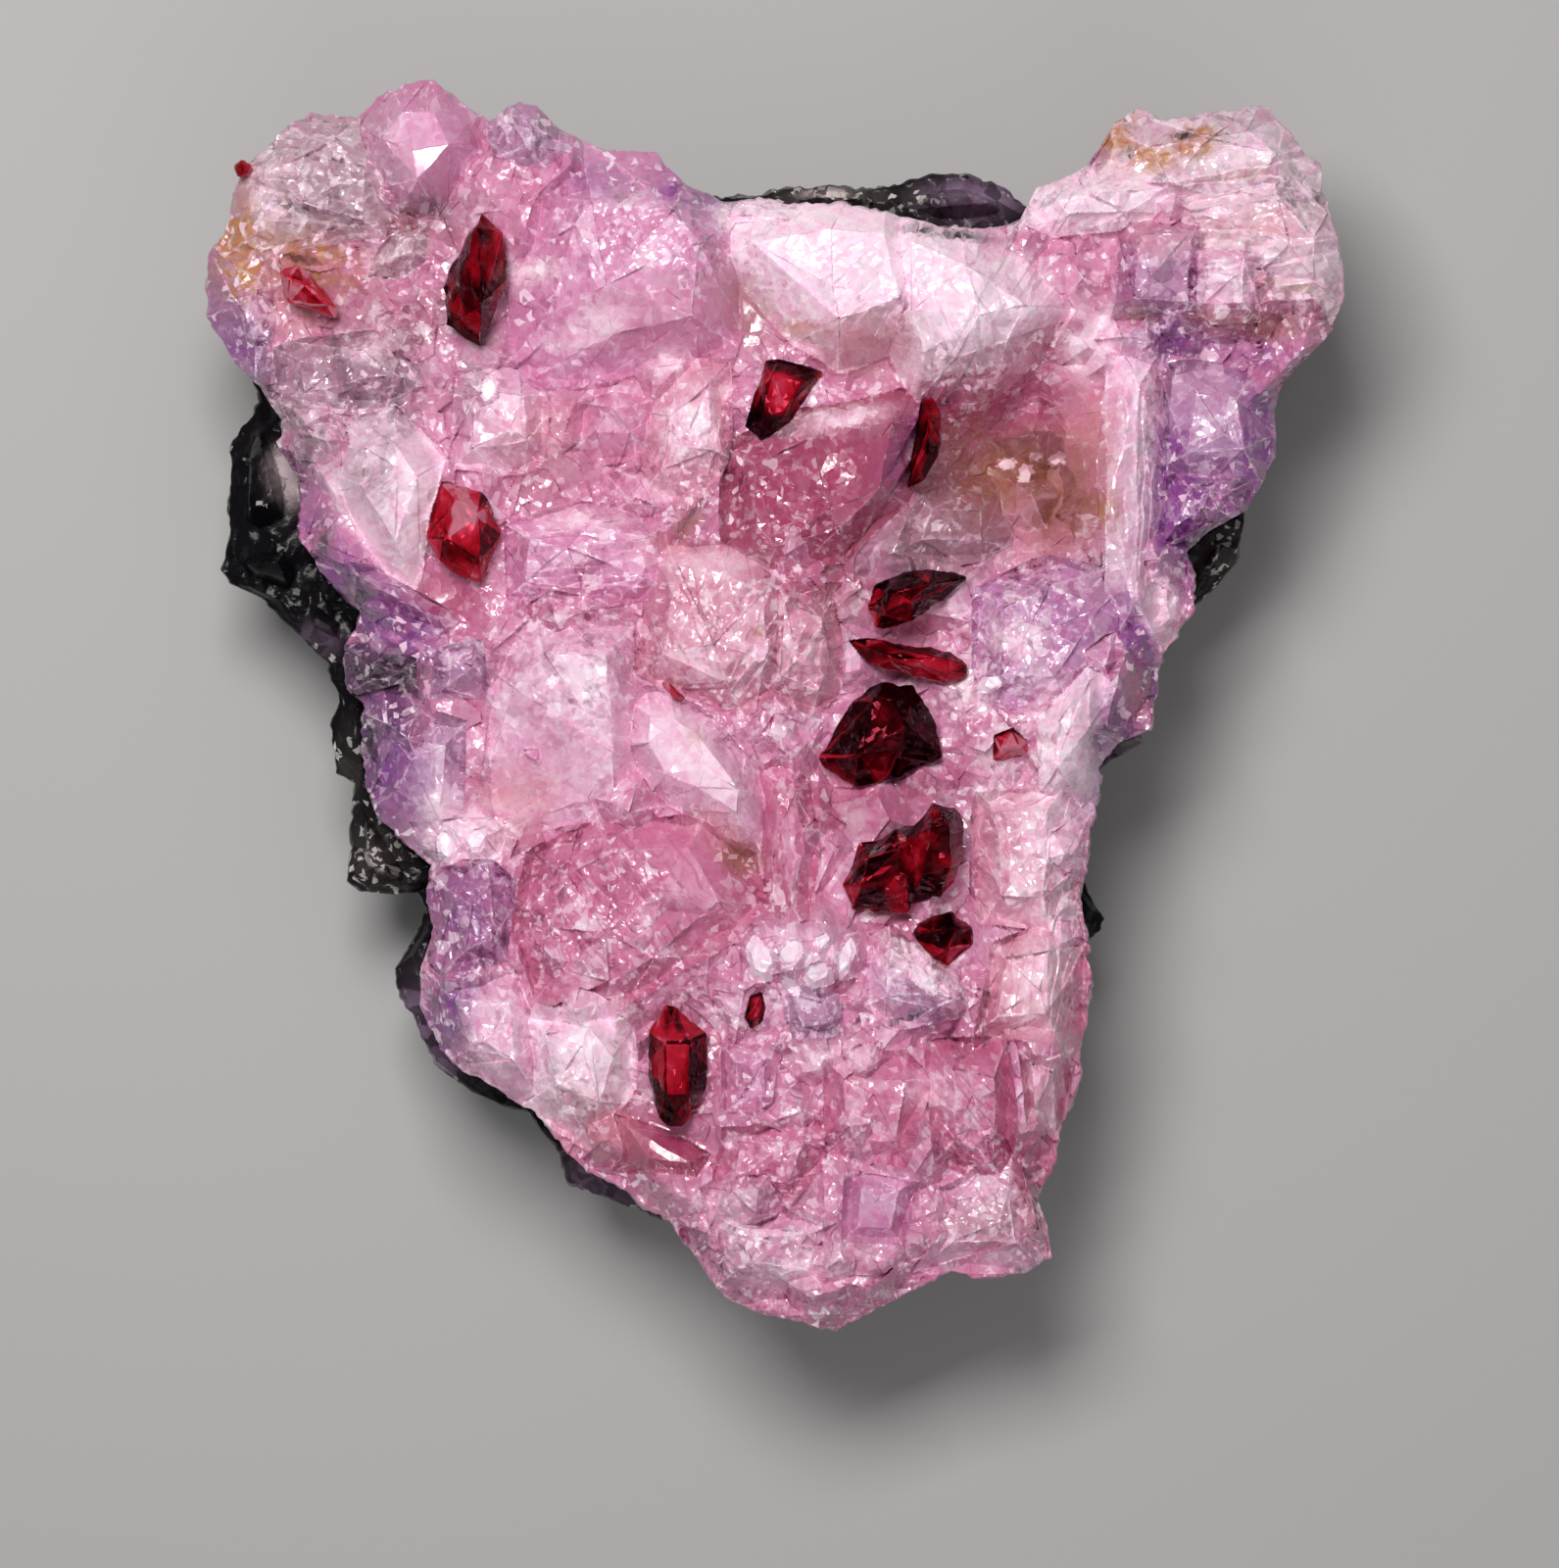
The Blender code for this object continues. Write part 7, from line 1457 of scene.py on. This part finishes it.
def addNode(tree, kind, links=(), **values):
    # a node with its values set, and its sockets fed by (socket, output) pairs
    node = tree.nodes.new(kind)
    for name, value in values.items():
        if hasattr(node, name):
            setattr(node, name, value)
        else:
            node.inputs[name.replace("_", " ")].default_value = value
    for socket, output in links:
        tree.links.new(output, node.inputs[socket])
    return node


def ramp(tree, source, stops):
    # a grey ramp through (place, brightness) stops
    node = addNode(tree, "ShaderNodeValToRGB", [("Fac", source)])
    node.color_ramp.elements[0].position, node.color_ramp.elements[1].position = stops[0][0], stops[-1][0]
    for element, (place, bright) in zip(node.color_ramp.elements, (stops[0], stops[-1])):
        element.color = (bright, bright, bright, 1.0)
    for place, bright in stops[1:-1]:
        node.color_ramp.elements.new(place).color = (bright, bright, bright, 1.0)
    return node.outputs["Color"]


def blend(tree, share, first, second, mode="MIX"):
    # colours mixed by a share, which is a number or an output
    node = addNode(tree, "ShaderNodeMix", data_type="RGBA", blend_type=mode)
    sockets = {s.identifier: s for s in node.inputs}
    for key, value in (("Factor_Float", share), ("A_Color", first), ("B_Color", second)):
        if isinstance(value, bpy.types.NodeSocket):
            tree.links.new(value, sockets[key])
        else:
            sockets[key].default_value = value if key == "Factor_Float" else (*value, 1.0)
    return next(s for s in node.outputs if s.identifier == "Result_Color")


calciteLook = {
    "subsurface": 0.25,
    "subsurfaceRadius": (1.0, 0.5, 0.7),
    "subsurfaceScale": 0.6,     # millimetres
    "coat": 0.40,
    "coatRough": 0.06,
    "index": 1.6,
    "warpScale": 1100.0,
    "warp": 0.7,                # how far the facets' edges bend, in millimetres
    "deeper": [(0.1, 1.0), (0.7, 0.0)],     # a facet's chance and how deep its tone is
    "brighter": [(0.90, 0.0), (0.92, 0.25), (1.0, 0.65)],   # its chance and how near it is to the painted glint
    # colour of the painted glints
    "glint": (0.95, 0.80, 0.89),
    # cells per metre, tilt of the facets, deepest tone
    "facets": ((1500.0, 0.60, (0.98, 0.86, 0.93)), (3600.0, 0.55, (0.98, 0.84, 0.92))),
    "rough": (0.10, 0.42),
}


def calciteFinish():
    # pink, waxy inside and glassy outside: the painted tint is broken by two sizes of flat facets, each cell
    # with its own tilt, tone and gloss, and a few of them painted white as glints
    look = calciteLook
    finish, tree, shader = newFinish(
        "pinkCalcite", Subsurface_Weight=look["subsurface"], Subsurface_Radius=look["subsurfaceRadius"],
        Subsurface_Scale=look["subsurfaceScale"] * toMetres, Coat_Weight=look["coat"],
        Coat_Roughness=look["coatRough"], IOR=look["index"])
    colour = addNode(tree, "ShaderNodeAttribute", attribute_name="tint").outputs["Color"]
    rough = addNode(tree, "ShaderNodeAttribute", attribute_name="rough").outputs["Fac"]
    place = addNode(tree, "ShaderNodeTexCoord").outputs["Object"]
    warp = addNode(tree, "ShaderNodeTexNoise", [("Vector", place)], Scale=look["warpScale"], Detail=2.0)
    centred = addNode(tree, "ShaderNodeVectorMath", [(0, warp.outputs["Color"])], operation="SUBTRACT")
    centred.inputs[1].default_value = (0.5, 0.5, 0.5)
    small = addNode(tree, "ShaderNodeVectorMath", [(0, centred.outputs[0])], operation="SCALE")
    small.inputs["Scale"].default_value = look["warp"] * toMetres
    bent = addNode(tree, "ShaderNodeVectorMath", [(0, place), (1, small.outputs[0])], operation="ADD")
    normal = addNode(tree, "ShaderNodeNewGeometry").outputs["Normal"]
    for cells, tilt, deep in look["facets"]:
        net = addNode(tree, "ShaderNodeTexVoronoi", [("Vector", bent.outputs[0])], Scale=cells, feature="F1")
        chance = addNode(tree, "ShaderNodeSeparateColor", [("Color", net.outputs["Color"])])
        deeper = ramp(tree, chance.outputs["Red"], look["deeper"])
        colour = blend(tree, deeper, colour, blend(tree, 1.0, colour, deep, "MULTIPLY"))
        # a few cells painted towards white as glints, fewer where the surface is smooth
        bright = ramp(tree, chance.outputs["Green"], look["brighter"])
        bright = blend(tree, rough, (0.0, 0.0, 0.0), bright)
        colour = blend(tree, bright, colour, look["glint"])
        lean = addNode(tree, "ShaderNodeVectorMath", [(0, net.outputs["Color"])], operation="SUBTRACT")
        lean.inputs[1].default_value = (0.5, 0.5, 0.5)
        amount = addNode(tree, "ShaderNodeMath", [(0, rough)], operation="MULTIPLY")
        amount.inputs[1].default_value = tilt
        lean = addNode(tree, "ShaderNodeVectorMath", [(0, lean.outputs[0]), ("Scale", amount.outputs[0])],
                       operation="SCALE")
        leant = addNode(tree, "ShaderNodeVectorMath", [(0, normal), (1, lean.outputs[0])], operation="ADD")
        normal = leant.outputs[0]
    tree.links.new(colour, shader.inputs["Base Color"])
    low, high = look["rough"]
    tree.links.new(ramp(tree, chance.outputs["Blue"], [(0.1, low), (0.9, high)]), shader.inputs["Roughness"])
    flat = addNode(tree, "ShaderNodeVectorMath", [(0, normal)], operation="NORMALIZE").outputs[0]
    tree.links.new(flat, shader.inputs["Normal"])
    tree.links.new(flat, shader.inputs["Coat Normal"])
    return finish


rockLook = {
    "specular": 0.12,
    "coat": 0.08,
    "coatRough": 0.08,
    "index": 1.45,
    "cloudScale": 700.0,
    "grainScale": 5200.0,
    "dust": [(0.72, 0.0), (0.82, 0.14)],    # grain and its share of dust
    "dustTint": (0.16, 0.14, 0.14),
    "rough": [(0.38, 0.10), (0.60, 0.32)],  # cloud and roughness
    "bump": 0.15,               # millimetres
}


def rockFinish():
    # near-black stone, glassy in places and rough in others
    look = rockLook
    finish, tree, shader = newFinish(
        "darkRock", Specular_IOR_Level=look["specular"], Coat_Weight=look["coat"],
        Coat_Roughness=look["coatRough"], IOR=look["index"])
    tint = addNode(tree, "ShaderNodeAttribute", attribute_name="tint").outputs["Color"]
    place = addNode(tree, "ShaderNodeTexCoord").outputs["Object"]
    cloud = addNode(tree, "ShaderNodeTexNoise", [("Vector", place)], Scale=look["cloudScale"], Detail=6.0,
                    Roughness=0.6)
    grain = addNode(tree, "ShaderNodeTexNoise", [("Vector", place)], Scale=look["grainScale"], Detail=3.0)
    dust = ramp(tree, grain.outputs["Fac"], look["dust"])
    colour = blend(tree, dust, tint, look["dustTint"])
    tree.links.new(colour, shader.inputs["Base Color"])
    tree.links.new(ramp(tree, cloud.outputs["Fac"], look["rough"]), shader.inputs["Roughness"])
    relief = blend(tree, 0.4, cloud.outputs["Fac"], grain.outputs["Fac"])
    bump = addNode(tree, "ShaderNodeBump", [("Height", relief)], Strength=0.5,
                   Distance=look["bump"] * toMetres)
    tree.links.new(bump.outputs["Normal"], shader.inputs["Normal"])
    return finish


redLook = {
    "index": 1.5,
    "roughness": 0.10,
    "specular": 0.10,
    "gleam": (1.0, 0.10, 0.18, 1.0),    # tint of the reflections
    "transmission": 0.5,
    "subsurface": 0.2,
    "subsurfaceRadius": (1.0, 0.1, 0.1),
    "subsurfaceScale": 0.5,     # millimetres
    "absorbed": (0.96, 0.0, 0.10),    # what one length of the crystal lets through
    "density": 2600.0,
    # tone and its colour
    "stops": [(0.0, (0.002, 0.0002, 0.0006)), (0.30, (0.010, 0.0004, 0.001)), (0.42, (0.060, 0.0008, 0.003)),
              (0.54, (0.22, 0.002, 0.007)), (0.68, (0.50, 0.006, 0.020)), (0.84, (0.74, 0.022, 0.060)),
              (0.93, (0.80, 0.08, 0.16)), (1.0, (0.88, 0.29, 0.40))],
}


def redFinish():
    # clear deep red: plain transmission, with the colour from the depth of the crystal, over a cloudy
    # body whose broken faces run from near black to bright red
    look = redLook
    finish, tree, shader = newFinish(
        "redRoselite", Transmission_Weight=look["transmission"], IOR=look["index"],
        Roughness=look["roughness"], Specular_IOR_Level=look["specular"], Specular_Tint=look["gleam"],
        Subsurface_Weight=look["subsurface"], Subsurface_Radius=look["subsurfaceRadius"],
        Subsurface_Scale=look["subsurfaceScale"] * toMetres)
    place = addNode(tree, "ShaderNodeTexCoord").outputs["Object"]
    long = addNode(tree, "ShaderNodeMapping", [("Vector", place)])
    long.inputs["Rotation"].default_value = (0.2, 0.3, 0.35)
    long.inputs["Scale"].default_value = (1.0, 0.4, 1.0)
    net = addNode(tree, "ShaderNodeTexVoronoi", [("Vector", long.outputs[0])], Scale=1300.0, feature="F1")
    chance = addNode(tree, "ShaderNodeSeparateColor", [("Color", net.outputs["Color"])])
    cloud = addNode(tree, "ShaderNodeTexNoise", [("Vector", place)], Scale=420.0, Detail=4.0)
    tone = addNode(tree, "ShaderNodeAttribute", attribute_name="tone").outputs["Fac"]
    for source, amount in ((chance.outputs["Red"], 0.20), (cloud.outputs["Fac"], 1.4)):
        part = addNode(tree, "ShaderNodeMath", [(0, source)], operation="SUBTRACT")
        part.inputs[1].default_value = 0.5
        tone = addNode(tree, "ShaderNodeMath", [(0, part.outputs[0]), (2, tone)], operation="MULTIPLY_ADD")
        tone.inputs[1].default_value = amount
        tone = tone.outputs[0]
    colours = addNode(tree, "ShaderNodeValToRGB", [("Fac", tone)]).color_ramp
    for place, colour in look["stops"][1:-1]:
        colours.elements.new(place)
    for element, (place, colour) in zip(colours.elements, look["stops"]):
        element.position, element.color = place, (*colour, 1.0)
    tree.links.new(tree.nodes[-1].outputs["Color"], shader.inputs["Base Color"])
    absorb = addNode(tree, "ShaderNodeVolumeAbsorption", Color=(*look["absorbed"], 1.0),
                     Density=look["density"])
    output = next(node for node in tree.nodes if node.type == "OUTPUT_MATERIAL")
    tree.links.new(absorb.outputs["Volume"], output.inputs["Volume"])
    return finish


studio = {
    "floorSize": 900.0,
    "floorTint": (0.42, 0.41, 0.41),
    "lensLength": 150.0,
    "aim": (0.34, -4.06, 13.0),
    "frameHeight": 83.2,        # millimetres of the plane through the aim that the picture shows
    "world": 0.13,
    # name: place, size, power, tint
    "lights": {
        "key": ((-45.0, 95.0, 240.0), (120.0, 80.0), 0.62, (1.0, 0.985, 0.97)),
        "front": ((60.0, -240.0, 220.0), (420.0, 300.0), 0.30, (0.99, 0.98, 1.0)),
    },
}


def setStage():
    # one square floor under the matrix, panels of light aimed at the specimen, and a camera above it,
    # as far away as the height of the picture and the lens ask
    report("setting the floor, lights and camera")
    half = 0.5 * studio["floorSize"] * toMetres
    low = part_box("matrix")[0].z
    data = bpy.data.meshes.new("floor")
    corners = [(-half, -half, low), (half, -half, low), (half, half, low), (-half, half, low)]
    data.from_pydata(corners, [], [(0, 1, 2, 3)])
    floor = bpy.data.objects.new("floor", data)
    bpy.context.scene.collection.objects.link(floor)
    finish, _, _ = newFinish("paleFloor", Base_Color=(*studio["floorTint"], 1.0), Roughness=0.7)
    data.materials.append(finish)
    aim = Vector(studio["aim"]) * toMetres
    for name, (place, size, power, tint) in studio["lights"].items():
        light = bpy.data.lights.new(name, "AREA")
        light.shape, light.size, light.size_y = "RECTANGLE", size[0] * toMetres, size[1] * toMetres
        light.energy, light.color = power, tint
        lamp = bpy.data.objects.new(name, light)
        lamp.location = Vector(place) * toMetres
        lamp.rotation_euler = (aim - lamp.location).to_track_quat("-Z", "Y").to_euler()
        bpy.context.scene.collection.objects.link(lamp)
    world = bpy.data.worlds.new("studio")
    world.use_nodes = True
    world.node_tree.nodes["Background"].inputs["Color"].default_value = (studio["world"],) * 3 + (1.0,)
    bpy.context.scene.world = world
    camera = bpy.data.cameras.new("camera")
    camera.lens, camera.sensor_width = studio["lensLength"], 36.0
    camera.clip_start, camera.clip_end = 0.01, 10.0
    eye = bpy.data.objects.new("camera", camera)
    distance = studio["frameHeight"] * camera.lens / camera.sensor_width
    eye.location = aim + Vector((0.0, 0.0, distance * toMetres))
    bpy.context.scene.collection.objects.link(eye)
    bpy.context.scene.camera = eye
    bpy.context.scene.view_settings.view_transform = "Standard"


# the rims of the red crystals and the hulls of their sockets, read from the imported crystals
redNodes = sorted(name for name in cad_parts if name.startswith("roselite"))
redRims = []
socketShapes = []
for redNode in redNodes:
    corners = placesOf(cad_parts[redNode])
    levels, counts = np.unique(corners[:, 2].round(2), return_counts=True)
    rim = corners[np.abs(corners[:, 2] - levels[np.argmax(counts)]) < 0.02]
    redRims.append([tuple(p) for p in np.unique(rim[:, :2].round(3), axis=0)])
    socketShapes.append((facePlanes(corners), corners.min(axis=0), corners.max(axis=0)))

lumpShapes = []
for root, crest in rockLumps.values():
    points = [(x, y, seamHeight(x, y) - rockShape["lumpRoot"]) for x, y in root]
    points += [(x, y, seamHeight(x, y) + rise) for x, y, rise in crest]
    lumpShapes.append((facePlanes(points), np.min(points, axis=0), np.max(points, axis=0)))

crystalShapes = allCrystals()
crystalShapes += standingCrystals()
report("%d crystals in the crust" % len(crystalShapes))

pieces = [(makeRock(), "matrix", "host_rock", rockFinish()),
          (makeCrust(), "calcite_crust", "pink_calcite", calciteFinish())]
red = redFinish()
report("cutting the red crystals")
pieces += [(makeRed(name), name, "red_roselite", red) for name in redNodes]
for piece, node, slotName, finish in pieces:
    piece.data.materials.append(finish)
    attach(piece, "root")
    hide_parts(node)

setStage()

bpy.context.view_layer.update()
report("ready")
